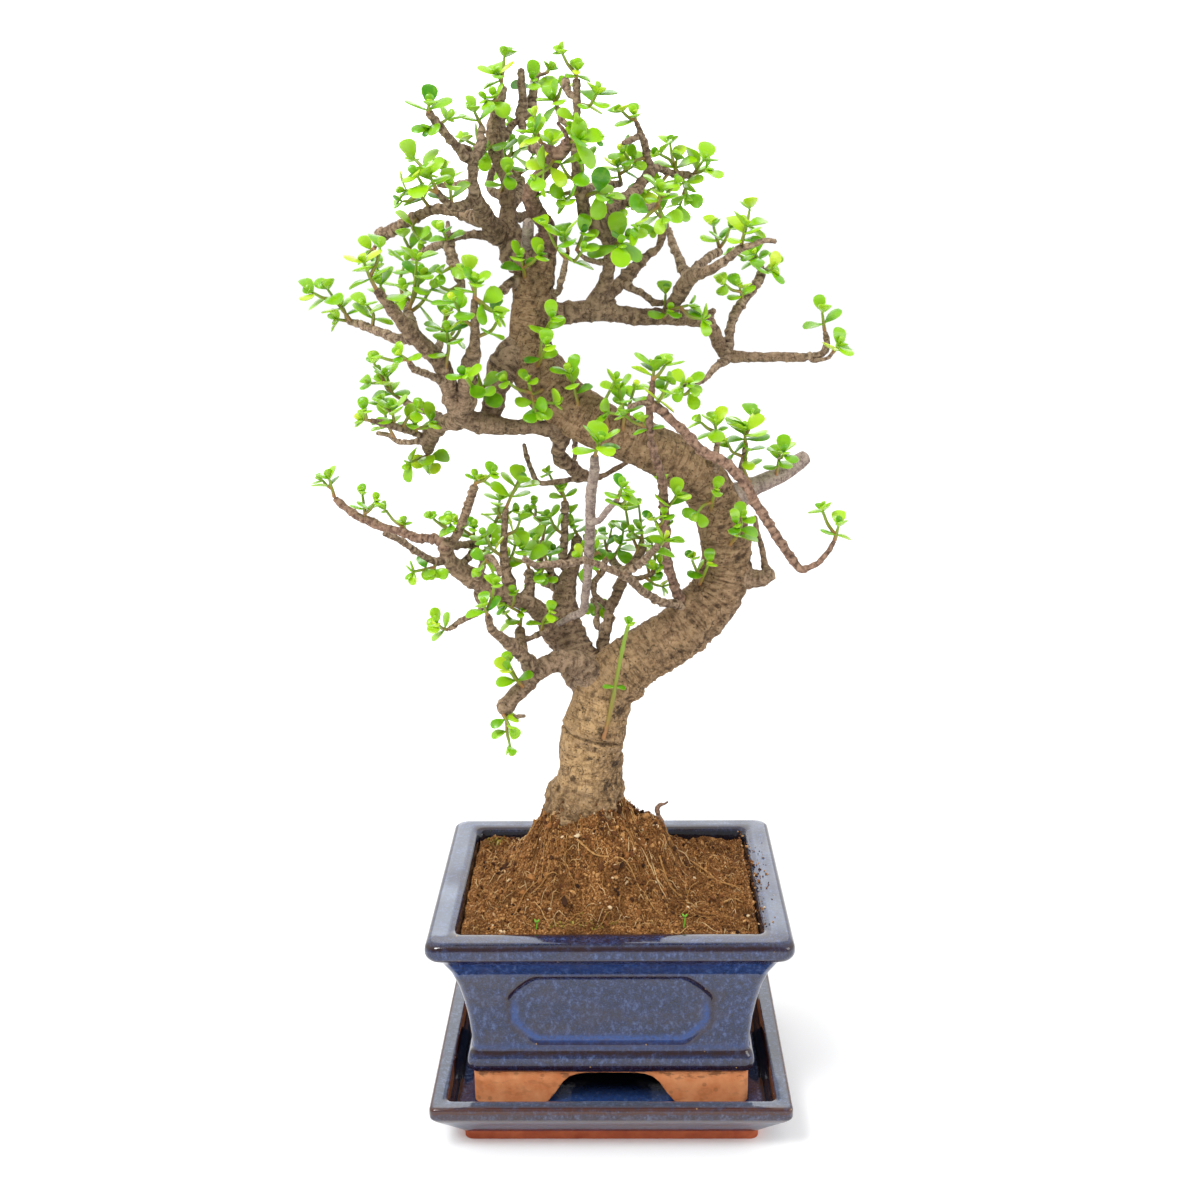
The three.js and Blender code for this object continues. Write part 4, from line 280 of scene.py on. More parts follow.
        (-114.8, 279, 1.2, 10))),
    ("long_pair", "left_bough", ((-72, 250.7, 1.6), (-77.8, 253, 1.4), (-81, 255, 1.4),
        (-84.8, 258, 1.4), (-88, 260.3, 1.4), (-91.4, 262, 1.3), (-95, 263.4, 1.1, -36))),
    ("left_rise", "left_bough", ((-65.5, 260, 1.9), (-62.8, 264.3, 1.9), (-60.5, 270, 1.8),
        (-58.7, 274.5, 1.8), (-57, 279, 1.7), (-55.3, 284, 1.6, -20))),
    ("left_in", "left_bough", ((-64, 257.8, 1.7), (-60, 258.2, 1.6), (-55.7, 258.7, 1.6),
        (-52.5, 260.4, 1.5), (-50.2, 263.2, 1.4), (-48, 266, 1.3, 22))),
    ("left_in_low", "left_bough", ((-61.5, 250, 1.7), (-58.6, 253, 1.6), (-55.4, 257, 1.4, 6))),
    ("left_loop", "left_bough", ((-54, 247, 1.5), (-52, 252, 1.4), (-50.3, 252.8, 1.3),
        (-47.5, 249.5, 1.2), (-45.7, 244.5, 1.1, -30))),
    ("left_tall", "left_low", ((-42.3, 240, 2.7), (-43.5, 247, 2.2), (-44, 256, 1.7),
        (-43.5, 265, 1.4), (-42.5, 274, 1.1, -2))),
    ("left_knob", "left_low", ((-33.5, 238, 2.2), (-33.5, 247.5, 2, 4))),
    ("left_hang", "left_bough", ((-56, 236, 1.4), (-54, 230.5, 1.3), (-56.5, 227.5, 1.3),
        (-60.3, 225.8, 1.3), (-63.6, 224.2, 1.2), (-66.8, 221.8, 1.1), (-69.3, 220.2, 0.9, -2))),
    ("front_grey", "left_low", ((-25.5, 221, 1.8), (-22, 222.3, 1.5), (-15.4, 226, 1.6),
        (-11, 228, 1.9), (-9.6, 235, 2), (-8.8, 240.6, 2), (-8.3, 246, 2.1), (-7.8, 252, 2.2),
        (-7.2, 263.3, 2.3), (-6.8, 274.4, 2.4), (-6.3, 282, 2.4), (-5, 290, 2.2),
        (-4.8, 296, 1.8, -36))),
    ("front_side", "front_grey", ((-4.3, 268, 1.5), (0.5, 273, 1.4), (4.7, 277.3, 1.1, -44))),
    ("cross_grey", "trunk", ((29.5, 231.3, 1.9), (26.7, 231.3, 1.8), (23, 232.2, 1.8),
        (19.2, 234.5, 1.7), (15.3, 236.8, 1.7), (11.6, 240.6, 1.7), (7.2, 244, 1.7),
        (3.3, 245.8, 1.6), (-4.5, 249.2, 1.5), (-10.5, 250.8, 1.5), (-15, 249.7, 1.5),
        (-20.5, 249.3, 1.5), (-25.8, 249.3, 1.4), (-30, 248.8, 1.4), (-36, 252, 1.2, -44))),
    ("cross_side", "cross_grey", ((9.5, 246.3, 1.5), (12.5, 248.3, 1.5), (16, 251, 1.5),
        (19, 254.4, 1.4), (22, 257.2, 1.3, -34))),
    ("crotch", "trunk", ((-2, 213, 2.6), (0, 222, 2.3), (1, 229.5, 2.2), (3.7, 235, 2.3),
        (6, 241, 2.4), (8.5, 246.5, 2), (11.5, 249.5, 1.9), (13.8, 254, 1.8),
        (15.3, 258, 1.7, 30))),
    ("crotch_a", "crotch", ((5, 246.5, 2), (2.2, 251, 1.8), (0, 254.6, 1.6, 36))),
    ("crotch_b", "crotch", ((-2, 232.3, 1.4), (-5.7, 236, 1.3), (-5.5, 241, 1.3), (-2, 246, 1.3),
        (-0.8, 252, 1.2, 10))),
    ("crotch_c", "crotch", ((-4.5, 221.5, 1.4), (-4.3, 229, 1.2), (-6.5, 234, 1.1, 30))),
    ("crotch_d", "crotch", ((11.5, 242.7, 1.2), (16, 243.5, 1.1), (21, 246, 1, 30))),
    ("dark_rise", "trunk", ((30.5, 234.5, 2.1), (27.6, 243.2, 2), (26, 249, 2), (24.9, 257, 2),
        (24.8, 266, 2), (24.1, 277, 2), (23.3, 286, 1.8), (20.3, 295, 1.7), (18.8, 301.8, 1.6),
        (18.2, 309, 1.5), (18.2, 317, 1.6), (19, 322, 1.3), (19.4, 327, 1, -38))),
    ("dark_side", "dark_rise", ((15, 318, 1), (11, 316.8, 0.9), (9, 316.2, 0.8, -40))),
    ("long_right", "dark_rise", ((21, 316, 1.8), (24.5, 313, 1.8), (28.5, 309.3, 1.9),
        (32, 306.3, 2), (35.7, 302.2, 2), (39.4, 298.4, 2.1), (42.7, 296, 2.2), (45.9, 294.7, 2.3),
        (50, 292.5, 2.3), (52.7, 289.8, 2.3), (58, 283.8, 2.2), (62.4, 276, 2.1), (68, 267, 2),
        (74.5, 257, 2), (80.5, 248.6, 1.9), (82.7, 246.3, 1.8), (85.3, 246.8, 1.4),
        (88.7, 248.2, 1.2), (93.6, 253.6, 1.1), (96.5, 259, 0.9, -48))),
    ("stub_upper", "trunk", ((52, 277, 6), (60, 281.5, 4.4), (67, 284.8, 3.9), (74, 288, 3.6),
        (80, 292.5, 3.6), (84, 295.5, 3.1, 26))),
    ("stub_riser", "stub_upper", ((56.5, 288, 1.4), (57.5, 295, 1.2), (58, 300, 1, 6))),
    ("arch_riser", "trunk", ((45.5, 291, 1.5), (46, 298, 1.3), (46.5, 303, 1, -6))),
    ("stub_lower", "trunk", ((58, 243, 4.6), (64, 242.2, 3.8), (69, 243, 3.2, 2))),
    ("stub_lower_twig", "stub_lower", ((67, 249, 1.4), (65.8, 255.7, 1.2), (64, 261.5, 1.1),
        (62.5, 270, 0.9, 20))),
)

# The leafy branches: name, the thin stems that belong to it, and its green shoots: the stem or
# the earlier shoot it grows from, its way (x, z), its lean in depth, its pairs, the leaf length.
LEAFY = (
    ("stub_leaves", ("stub_end", "stub_twig"), (("stub_end", ((-46.5, 181), (-43.5, 175)), -5, 2,
        7.5), ("stub_end", ((-37.5, 194), (-40.5, 197.5), (-43.5, 201.5)), -8, 2, 8.5))),
    ("low_leaves", ("stub_a",), (("stub_a", ((-52.2, 227.5), (-53.3, 231)), -2, 2, 8.5),)),
    ("low_inner_leaves", ("stub_b", "stub_b_side"), (("stub_b", ((-38, 221), (-36.8, 228.5)), -9,
        2, 7.5), (0, ((-40, 228), (-44, 231.5)), -5, 1, 7.2))),
    ("left_bough_leaves", ("left_bough", "left_hang", "long_left", "long_pair", "left_rise",
        "left_in", "left_in_low", "left_loop"), (("left_hang", ((-69.3, 220.2), (-73.5, 221.5)),
        -2, 2, 8), ("long_left", ((-114.8, 279), (-116.7, 287.5)), 2, 1, 8), ("long_left",
        ((-102, 270), (-103, 280.5)), -2, 2, 7), ("long_left", ((-85.5, 264), (-86, 267.5)), 1, 1,
        5), ("left_rise", ((-55.3, 284), (-54.7, 286.8)), -1, 1, 6), ("left_rise", ((-63.5, 263),
        (-66.5, 267.5)), -5, 2, 7), ("left_in", ((-48, 266), (-45.6, 271.5)), 2, 2, 8.5),
        ("left_in", ((-57, 258.5), (-56.3, 265.5)), -3, 2, 7), ("left_loop", ((-51, 252.5),
        (-54.5, 247.5)), -3, 2, 7), ("long_pair", ((-73.5, 251.3), (-74, 246.5)), -2, 1, 7))),
    ("left_tall_leaves", ("left_tall",), (("left_tall", ((-42.5, 274), (-40, 279.5), (-36, 285)),
        -3, 2, 9.5),)),
    ("left_knob_leaves", ("left_knob",), (("left_knob", ((-33.5, 247.5), (-36, 256)), -5, 2,
        10),)),
    ("front_grey_leaves", ("front_grey", "front_side"), (("front_grey", ((-4.8, 296),
        (-2.5, 302.5)), -2, 3, 11), ("front_side", ((4.7, 277.3), (6.5, 282.5)), -2, 2, 7.5))),
    ("second_leaves", ("second_top", "second_a", "second_b", "second_c"), (("second_top",
        ((-12.5, 262), (-14.5, 266)), -4, 2, 7.5), ("second_a", ((-26.2, 249.5), (-29, 244.5)), -5,
        1, 6.5), ("second_b", ((-27.3, 260), (-26, 266.5)), -4, 2, 7.5), (2, ((-29.5, 268),
        (-32.5, 272.5)), -2, 1, 5.5), ("second_c", ((-17.5, 277), (-18.5, 281.5)), -3, 2, 6.5))),
    ("crotch_leaves", ("crotch", "crotch_a", "crotch_b", "crotch_c", "crotch_d"), (("crotch",
        ((15.3, 258), (14.6, 264)), -3, 2, 8), ("crotch_a", ((0, 254.6), (-1.5, 262)), -2, 2, 7.5),
        ("crotch_b", ((-0.8, 252), (-5.5, 255.5)), -3, 1, 6.5), ("crotch_c", ((-6.5, 234),
        (-7.3, 230)), -2, 1, 6.5), ("crotch_d", ((21, 246), (22.5, 249)), -3, 2, 6.5))),
    ("trunk_shoot", (), (("trunk", ((-1.5, 172), (1, 183), (3, 194), (5.3, 206), (7.5, 217),
        (9, 222)), -9, 2, 6),)),
    ("dark_rise_leaves", ("dark_rise", "dark_side", "long_right"), (("dark_rise", ((24.5, 272),
        (29.5, 278.5)), -4, 2, 9), ("dark_rise", ((24.8, 262), (20, 268.5)), -3, 2, 7),
        ("long_right", ((96.5, 259), (98, 265.5)), -2, 2, 7.5), ("dark_rise", ((19.4, 327),
        (20, 333)), 3, 3, 10), ("dark_rise", ((18.3, 305), (15.5, 310.5)), -2, 2, 7))),
    ("limb_front_leaves", (), (("trunk", ((52, 257), (56, 262), (57.5, 269)), -9, 2, 8.5),)),
    ("limb_upper_leaves", (), (("trunk", ((44, 272), (44.5, 276.5), (46, 281)), -9, 2, 8.5), (0,
        ((43, 276), (40.5, 274.5), (38, 271)), -2, 1, 8))),
    ("limb_lower_leaves", (), (("trunk", ((39.5, 240), (43.5, 249.5)), -10, 2, 8),)),
    ("stub_upper_leaves", (), (("stub_upper", ((71, 287), (72.5, 296.5)), -5, 3, 9),)),
    ("stub_riser_leaves", ("stub_riser",), (("stub_riser", ((58, 300), (57.5, 306.5)), -4, 3,
        11),)),
    ("arch_riser_leaves", ("arch_riser",), (("arch_riser", ((46.5, 303), (45, 309.5)), -3, 3,
        9.5),)),
    ("arch_leaves", (), (("trunk", ((7, 306), (7.5, 314), (5.5, 324)), -6, 3, 9.5), (0, ((4, 313),
        (1, 314)), -4, 1, 8))),
    ("across_low_leaves", ("across_low",), (("across_low", ((34, 326.5), (31.5, 324)), -3, 2,
        8),)),
    ("trunk_front_leaves", (), (("trunk", ((-25, 324), (-30.5, 321.5), (-32, 327.5)), -7, 2, 7.5),
        (0, ((-31, 318), (-29, 313.5)), -3, 3, 9))),
    ("arch_left_leaves", (), (("trunk", ((-11, 316), (-14.5, 330.5)), -6, 3, 9),)),
    ("trunk_mid_leaves", (), (("trunk", ((-28, 333), (-24, 341.5)), -11, 2, 8),)),
    ("trunk_upper_leaves", (), (("trunk", ((-26, 345), (-21.5, 352.5)), -9, 2, 9),)),
    ("trunk_high_leaves", (), (("trunk", ((-32, 369), (-33.5, 377)), -9, 2, 9),)),
    ("arm_stem_leaves", (), (("arm_stem", ((-52.8, 361), (-52, 367.5)), -2, 3, 9), (0,
        ((-47, 360.5), (-45, 355.5)), -2, 2, 9))),
    ("shoulder_leaves", (), (("shoulder", ((-46, 322), (-51, 325), (-53, 332.5)), -14, 2, 8.5),)),
    ("arm_end_leaves", ("arm_end", "arm_left", "arm_inner", "arm_spur", "arm_twig"), (("arm_end",
        ((-66, 332), (-64, 341), (-64.5, 348)), -4, 3, 10.5), ("arm_spur", ((-80.6, 335.8),
        (-84, 338.5)), -3, 2, 7), ("arm_left", ((-104.5, 352.3), (-109, 353)), -2, 1, 7.5),
        ("arm_left", ((-103, 352), (-107.5, 358), (-112.5, 365.5)), -3, 2, 9.5), ("arm_end",
        ((-92.5, 365), (-95, 370), (-97, 376)), -2, 3, 10.5), ("arm_inner", ((-80, 356),
        (-77, 362), (-74, 370.5)), -4, 3, 11), ("arm_twig", ((-67, 345.5), (-65, 354.5)), -4, 2,
        8))),
    ("hang_leaves", ("hang_limb", "hang_upper", "hang_low", "hang_thin"), (("hang_upper",
        ((-83.5, 319.5), (-88, 322.5), (-90, 330)), -4, 3, 9.5), (0, ((-93, 326), (-97, 327)), -2,
        1, 8.5), ("hang_low", ((-88, 309), (-88.5, 316.5)), -3, 3, 9.5), ("hang_low", ((-79, 306),
        (-79, 310.5)), -5, 2, 9.5), ("hang_limb", ((-74.3, 297.8), (-73.8, 292.5)), -2, 2, 9.5),
        ("hang_low", ((-98, 311.5), (-101, 312)), -2, 1, 6.5))),
    ("low_bar_leaves", ("low_bar", "low_bar_thorn", "low_bar_stub"), (("low_bar", ((-60.8, 374),
        (-66, 371)), -9, 2, 8.5), ("low_bar_stub", ((-76.5, 377), (-80.5, 385.5)), -3, 2, 9),
        ("low_bar", ((-63, 382.5), (-64.5, 387.5)), -3, 2, 7))),
    ("left_limb_leaves", ("left_limb", "left_limb_twig"), (("left_limb_twig", ((-92.5, 381),
        (-96, 378.5)), -2, 2, 7.5), ("left_limb", ((-68.5, 395), (-73, 401.5), (-79, 403.5)), -5,
        3, 9.5))),
    ("left_pair_leaves", ("left_pair",), (("left_pair", ((-66.3, 402.8), (-69, 409.5)), -2, 3, 10),
        (0, ((-73, 410), (-75, 415.5)), 3, 2, 10), ("left_pair", ((-60.5, 397), (-61, 405)), -4, 2,
        9.5))),
    ("up_top_leaves", ("up_top", "left_bar", "up_left", "up_link", "up_stub"), (("left_bar",
        ((-62.5, 405), (-63.5, 411)), 2, 2, 8.5), ("up_left", ((-68.5, 432.5), (-68, 435.5)), -2,
        2, 10), ("up_left", ((-65, 428.3), (-68, 427)), -3, 1, 9), ("up_left", ((-64.5, 427.7),
        (-61, 430)), 3, 1, 9), ("up_stub", ((-47.5, 427), (-50.5, 433)), -3, 2, 8.5))),
    ("leader_top_leaves", ("leader_tip",), (("leader_tip", ((-39.2, 443), (-40.8, 446.5)), -2, 3,
        9.5), ("leader_tip", ((-40.2, 435), (-42, 438)), -4, 1, 8))),
    ("leader_side_leaves", (), (("leader", ((-42.5, 420.5), (-46.5, 418)), -10, 2, 9),)),
    ("leader_fork_leaves", ("leader_fork",), (("leader_fork", ((-36, 411.3), (-39.2, 417.5)), -3,
        2, 10), (0, ((-35.5, 416.5), (-32.5, 418.5)), -2, 2, 9.5))),
    ("crook_leaves", ("crook_twig",), (("crook_twig", ((-24.3, 420.6), (-27.5, 425)), -4, 3, 9),)),
    ("tall_leaves", ("dark_link", "tall_twig", "tall_root", "thin_top"), (("dark_link",
        ((-27, 440), (-27, 444)), -6, 2, 10), ("thin_top", ((-21.8, 446.4), (-20.5, 448)), 0, 1,
        5.5))),
    ("middle_top_leaves", ("middle_top", "middle_knob", "behind_top"), (("behind_top",
        ((-17.5, 433.5), (-19.5, 437)), -2, 3, 9), ("middle_top", ((-10.3, 444.5), (-9.5, 447.7)),
        -2, 2, 6), ("middle_top", ((-10.4, 430), (-12, 427)), -5, 2, 8))),
    ("brown_top_leaves", ("tip_twig",), (("brown_limb", ((-14, 420.5), (-9.5, 421.5)), -4, 3,
        11),)),
    ("middle_low_leaves", (), (("middle", ((-9.3, 403), (-15.5, 399)), -7, 3, 9),)),
    ("trunk_side_leaves", ("trunk_side",), (("trunk_side", ((-14.5, 379), (-16, 385.5)), -5, 3,
        10.5),)),
    ("inner_side_leaves", ("inner_side",), (("inner_side", ((-11, 379.5), (-8.5, 386)), -7, 2,
        9),)),
    ("middle_front_leaves", (), (("middle", ((2.3, 380), (8.5, 384.5)), -7, 3, 12),)),
    ("right_low_leaves", ("right_low",), (("right_low", ((21.5, 396.5), (22.5, 402.5)), -2, 3,
        9.5), (0, ((23.5, 395), (24, 391.5)), -2, 1, 9.5))),
    ("inner_fork_leaves", (), (("inner_fork", ((24.4, 391.5), (21, 387)), -8, 1, 8.5),)),
    ("right_end_leaves", ("right_end",), (("right_end", ((31, 408), (33, 400)), -5, 3, 9),
        ("right_end", ((28, 408.7), (29, 414)), -3, 2, 9), ("right_end", ((35, 407.5),
        (39.5, 413.5)), -2, 2, 11))),
    ("middle_back_leaves", ("middle_back",), (("middle_back", ((7, 405), (5.5, 412)), -3, 3, 9),
        (0, ((8.5, 409), (12, 411.5)), -2, 2, 8.5))),
    ("right_top_leaves", ("right_top", "right_spur"), (("right_top", ((12.8, 428.5),
        (12.4, 430.5)), -1, 2, 8),)),
    ("right_up_pair_leaves", ("right_up_pair",), (("right_up_pair", ((46.5, 378.5), (43.6, 388.5)),
        -2, 2, 8.5),)),
    ("right_up_leaves", ("right_up_end",), (("right_up_end", ((54.5, 379), (56.8, 388.5)), -3, 3,
        9.5),)),
    ("across_up_leaves", ("across_up",), (("across_up", ((62.5, 374), (60.5, 377.5)), -2, 3, 9),
        ("across_up", ((63, 370.5), (67.5, 371)), -2, 2, 9), ("across_up", ((56, 358.7),
        (54.5, 364.5)), -3, 2, 8.5))),
    ("across_end_leaves", ("across_end", "across_hook"), (("across_end", ((89.3, 346.5),
        (88, 354.5)), -2, 2, 8.5), ("across_hook", ((93, 338), (95.5, 340.5)), -2, 2, 9))),
    ("across_front_leaves", (), (("across", ((24, 352.5), (26, 355.5)), -6, 2, 10), (0, ((30, 358),
        (34.5, 357.5)), -2, 1, 9))),
)

# Shoots that the solid model leaves out: the branch they belong to, then as above.
EXTRA_SHOOTS = (
    ("left_tall_leaves", "left_tall", ((-44, 252), (-49, 256), (-52, 262)), -6, 3, 9),
    ("left_tall_leaves", "left_tall", ((-43.6, 262), (-38.5, 264), (-36.5, 269)), 5, 2, 9),
    ("second_leaves", "second_b", ((-28.4, 255), (-33, 258), (-35.5, 262)), -6, 3, 9),
    ("second_leaves", "second_c", ((-18, 262), (-22, 265), (-24, 270)), -4, 3, 8.5),
    ("second_leaves", "second_top", ((-13.5, 254), (-10, 258), (-9, 263)), 5, 3, 8.5),
    ("crotch_leaves", "crotch_a", ((2.2, 251), (6, 258), (7, 264)), 6, 3, 9),
    ("crotch_leaves", "crotch", ((13.8, 254), (9.5, 264), (8, 273)), 5, 3, 8.5),
    ("crotch_leaves", "crotch", ((11.5, 249.5), (15, 262), (13.5, 275)), 9, 3, 8),
    ("crotch_leaves", "crotch_d", ((19, 245), (20.5, 252), (19, 258)), -3, 3, 8.5),
    ("crotch_leaves", "crotch_d", ((16, 243.5), (20, 240), (24, 239)), -3, 2, 8),
    ("crotch_leaves", "crotch_b", ((-5.6, 238), (-11, 242), (-13.5, 247)), 6, 3, 8),
    ("low_inner_leaves", "stub_b_side", ((-29, 218.5), (-28, 224), (-25, 228)), -4, 2, 7.5),
    ("arm_end_leaves", "arm_end", ((-83.5, 353), (-88, 360), (-91, 367)), -5, 3, 10),
    ("arm_end_leaves", "arm_inner", ((-80, 355), (-74.5, 359), (-70, 365)), 5, 3, 10),
    ("arm_end_leaves", "arm_inner", ((-81.3, 359), (-83, 368), (-80, 376)), 4, 3, 10),
    ("arm_end_leaves", "arm_left", ((-95, 349), (-94, 355), (-97, 359)), -4, 2, 9),
    ("arm_stem_leaves", "arm_stem", ((-53, 349), (-58, 353), (-61, 360)), -8, 3, 10),
    ("arm_stem_leaves", "arm_stem", ((-53, 345), (-46, 348), (-43, 353)), -6, 2, 9),
    ("arm_end_leaves", "arm_twig", ((-67.5, 344), (-62, 347), (-60, 352)), 5, 2, 9),
    ("low_bar_leaves", "low_bar", ((-58, 366.5), (-63, 364), (-67, 366)), -4, 2, 9),
    ("left_limb_leaves", "left_limb", ((-74, 393.5), (-77, 389), (-74, 384)), -6, 2, 9),
    ("brown_top_leaves", "brown_limb", ((-18.5, 415.5), (-22, 411), (-27, 408)), -9, 3, 10),
    ("middle_low_leaves", "middle", ((-9.5, 405), (-14, 408), (-17, 413)), -9, 3, 9.5),
    ("middle_back_leaves", "middle_back", ((3, 404.5), (3, 399), (7, 396)), -5, 3, 9.5),
    ("right_end_leaves", "right_end", ((26, 409), (22, 404), (17, 402)), -10, 3, 9.5),
    ("right_end_leaves", "right_end", ((30, 408), (26, 414), (22, 416)), -8, 3, 9.5),
    ("right_top_leaves", "right_top", ((17.2, 415), (11, 413), (8, 417)), -6, 3, 8.5),
    ("middle_top_leaves", "middle_top", ((-10.2, 435), (-5, 434), (-2, 439)), -5, 3, 9),
    ("across_low_leaves", "across_low", ((37.5, 326), (33, 321), (27, 322)), -5, 3, 9),
    ("dark_rise_leaves", "dark_rise", ((18.2, 314), (23, 320), (26, 327)), -5, 3, 9.5),
    ("arch_leaves", "trunk", ((1, 306), (-1, 318), (4, 327)), -8, 3, 9),
    ("stub_riser_leaves", "stub_riser", ((57.5, 295), (52.5, 297), (50, 302)), -5, 3, 9.5),
    ("hang_leaves", "hang_low", ((-85, 308.1), (-82, 313), (-78, 316)), -6, 2, 9),
    ("leader_fork_leaves", "leader_fork", ((-34.3, 408.5), (-30, 411), (-28, 416)), -6, 2, 9),
    ("left_bough_leaves", "left_in", ((-52, 260.6), (-48, 258), (-45, 262)), 4, 3, 9.5),
    ("left_bough_leaves", "left_in_low", ((-58, 254), (-53, 255), (-49.5, 258)), 6, 3, 9),
    ("left_tall_leaves", "left_tall", ((-44, 249), (-40.5, 253), (-39, 258)), 8, 3, 9.5),
    ("left_tall_leaves", "left_tall", ((-43, 268), (-46, 272), (-45, 278)), 6, 3, 9.5),
    ("second_leaves", "second_a", ((-25.5, 248), (-27, 255), (-30, 260)), -5, 3, 9.5),
    ("second_leaves", "second_b", ((-28.4, 246), (-25, 250), (-23.5, 255)), -8, 3, 9),
    ("second_leaves", "second_a", ((-23.5, 244.5), (-27, 243), (-29, 246)), -12, 2, 8),
    ("crotch_leaves", "second_top", ((-13.5, 253), (-9, 256), (-6, 261)), 8, 3, 9.5),
    ("crotch_leaves", "crotch_b", ((-3, 244.5), (-7, 250), (-8.5, 256)), -10, 3, 9),
    ("crotch_leaves", "cross_side", ((17, 252), (20, 254), (24.6, 259.6)), -3, 3, 9.5),
    ("crotch_leaves", "crotch_d", ((18, 244.5), (17, 249), (19.5, 254)), 8, 3, 9),
    ("crotch_leaves", "crotch_a", ((1, 253), (4, 254), (6, 258)), -8, 3, 8.5),
    ("front_grey_leaves", "front_side", ((3, 276), (7, 275), (9, 279)), -3, 3, 9),
    ("arch_leaves", "trunk", ((9, 311), (10, 318), (12, 324)), -5, 3, 9.5),
    ("hang_leaves", "hang_upper", ((-83.5, 319.5), (-90, 324), (-93, 331)), 5, 3, 9.5),
    ("hang_leaves", "hang_thin", ((-88, 303), (-91, 310), (-92, 318)), 9, 3, 9),
    ("shoulder_leaves", "shoulder", ((-46, 322), (-54, 324), (-58, 330)), -36, 3, 9.5),
    ("middle_low_leaves", "middle", ((-8.6, 400), (-3, 402), (1, 400)), -10, 3, 10),
    ("middle_low_leaves", "middle", ((-9.2, 403), (-8, 408), (-9, 413)), -12, 3, 10),
    ("arm_end_leaves", "arm_inner", ((-80, 355), (-77, 365), (-75.5, 377)), -8, 3, 10),
    ("left_pair_leaves", "left_pair", ((-66, 402.5), (-71, 404), (-74, 409)), -10, 3, 10),
    ("leader_fork_leaves", "dark_crook", ((-24.5, 416.5), (-21.5, 417), (-20, 421)), -6, 3, 9),
    ("leader_fork_leaves", "leader_fork", ((-35, 409.5), (-38.5, 413), (-40, 418)), -12, 3, 9),
    ("leader_side_leaves", "leader", ((-41, 402), (-40, 405), (-38, 409)), -12, 2, 8.5),
    ("trunk_side_leaves", "trunk_side", ((-15, 377), (-12, 375), (-9, 379)), -6, 3, 10),
    ("trunk_side_leaves", "trunk_side", ((-15.5, 376), (-20, 382), (-23, 389)), -8, 2, 9),
    ("stub_upper_leaves", "stub_upper", ((60, 284), (57, 291), (59, 298)), -8, 3, 9),
)


# ---- rules of growth ----

def unit(vectors: Array) -> Array:
    """Vectors scaled to length one along their last axis."""
    return vectors / np.maximum(np.linalg.norm(vectors, axis=-1, keepdims=True), 1e-12)


def sight_points(stations: Array) -> Array:
    """Places that look like (x, z) on the front elevation but lie at their depth.

    Each point is the eye plus (depth - eye.y) / -eye.y times the way from the eye to (x, 0, z).

    Args:
        stations: Rows of x, z, radius, depth.

    Returns:
        Rows of x, y, z in mm.
    """
    share = (stations[:, 3] - EYE[1]) / -EYE[1]
    flat = np.stack([stations[:, 0], np.zeros(len(stations)), stations[:, 1]], axis=1)
    return EYE + (flat - EYE) * share[:, None]


def nearest_on_stem(stem: Sequence[Station], x: float, z: float) -> Station:
    """The station of a stem's middle line that is drawn nearest to (x, z).

    Args:
        stem: The stem's stations.
        x: Place across on the elevation.
        z: Height on the elevation.

    Returns:
        x, z, radius and depth there.
    """
    line = np.array(stem, float)
    a, step = line[:-1], np.diff(line, axis=0)
    run = step[:, 0] ** 2 + step[:, 1] ** 2
    share = np.clip(((x - a[:, 0]) * step[:, 0] + (z - a[:, 1]) * step[:, 1]) / run, 0, 1)
    here = a + share[:, None] * step
    away = np.hypot(x - here[:, 0], z - here[:, 1])
    return tuple(here[int(np.argmin(away))])


def with_depths(stations: Sequence[Station], first_depth: float) -> list[Station]:
    """Fills in the depths between the stations where they are given.

    Args:
        stations: Rows of x, z, radius and, where known, depth.
        first_depth: The depth of the first station if it has none.

    Returns:
        Rows of x, z, radius, depth, with depth even along the drawn length.
    """
    rows = [list(station) for station in stations]
    if len(rows[0]) < 4:
        rows[0].append(first_depth)
    given = [i for i, row in enumerate(rows) if len(row) > 3]
    flat = np.array([row[:2] for row in rows], float)
    run = np.concatenate([[0.0], np.cumsum(np.hypot(*np.diff(flat, axis=0).T))])
    depths = np.interp(run, run[given], [rows[i][3] for i in given])
    return [(*row[:3], depth) for row, depth in zip(rows, depths)]


def grow_stems() -> dict[str, list[Station]]:
    """Every woody stem with its root on the middle line of the stem it grows from.

    Returns:
        The stations of each stem, by its name.
    """
    grown: dict[str, list[Station]] = {}
    for name, host, drawn in STEMS:
        stations = [(*s[:3], *(d * DEPTH_SPREAD for d in s[3:])) for s in drawn]
        if host is None:
            grown[name] = with_depths(stations, 0.0)
            continue
        x, z, radius, depth = nearest_on_stem(grown[host], *stations[0][:2])
        root = (x, z, min(1.15 * stations[0][2], 0.85 * radius), depth)
        grown[name] = with_depths([root, *stations], depth)
    return grown


def in_space(stations: Sequence[Station]) -> tuple[Array, Array]:
    """The places and the true radii of a route's stations, in mm."""
    rows = np.array(stations, float)
    return sight_points(rows), rows[:, 2] * (rows[:, 3] - EYE[1]) / -EYE[1]


@dataclass(frozen=True)
class Leaf:
    """A leaf's root, its three directions and its length, in mm."""

    root: Array
    along: Array
    across: Array
    up: Array
    length: float


class Draws:
    """A row of repeatable draws from -1 to 1."""

    def __init__(self, seed: int) -> None:
        """Starts the row from a whole number."""
        self.state = (seed * 7919 + 104729) % 4294967296

    def next(self) -> float:
        """The next draw: state times 1664525 plus 1013904223, by 2 to the 32nd."""
        self.state = (self.state * 1664525 + 1013904223) % 4294967296
        return self.state / 2147483648 - 1


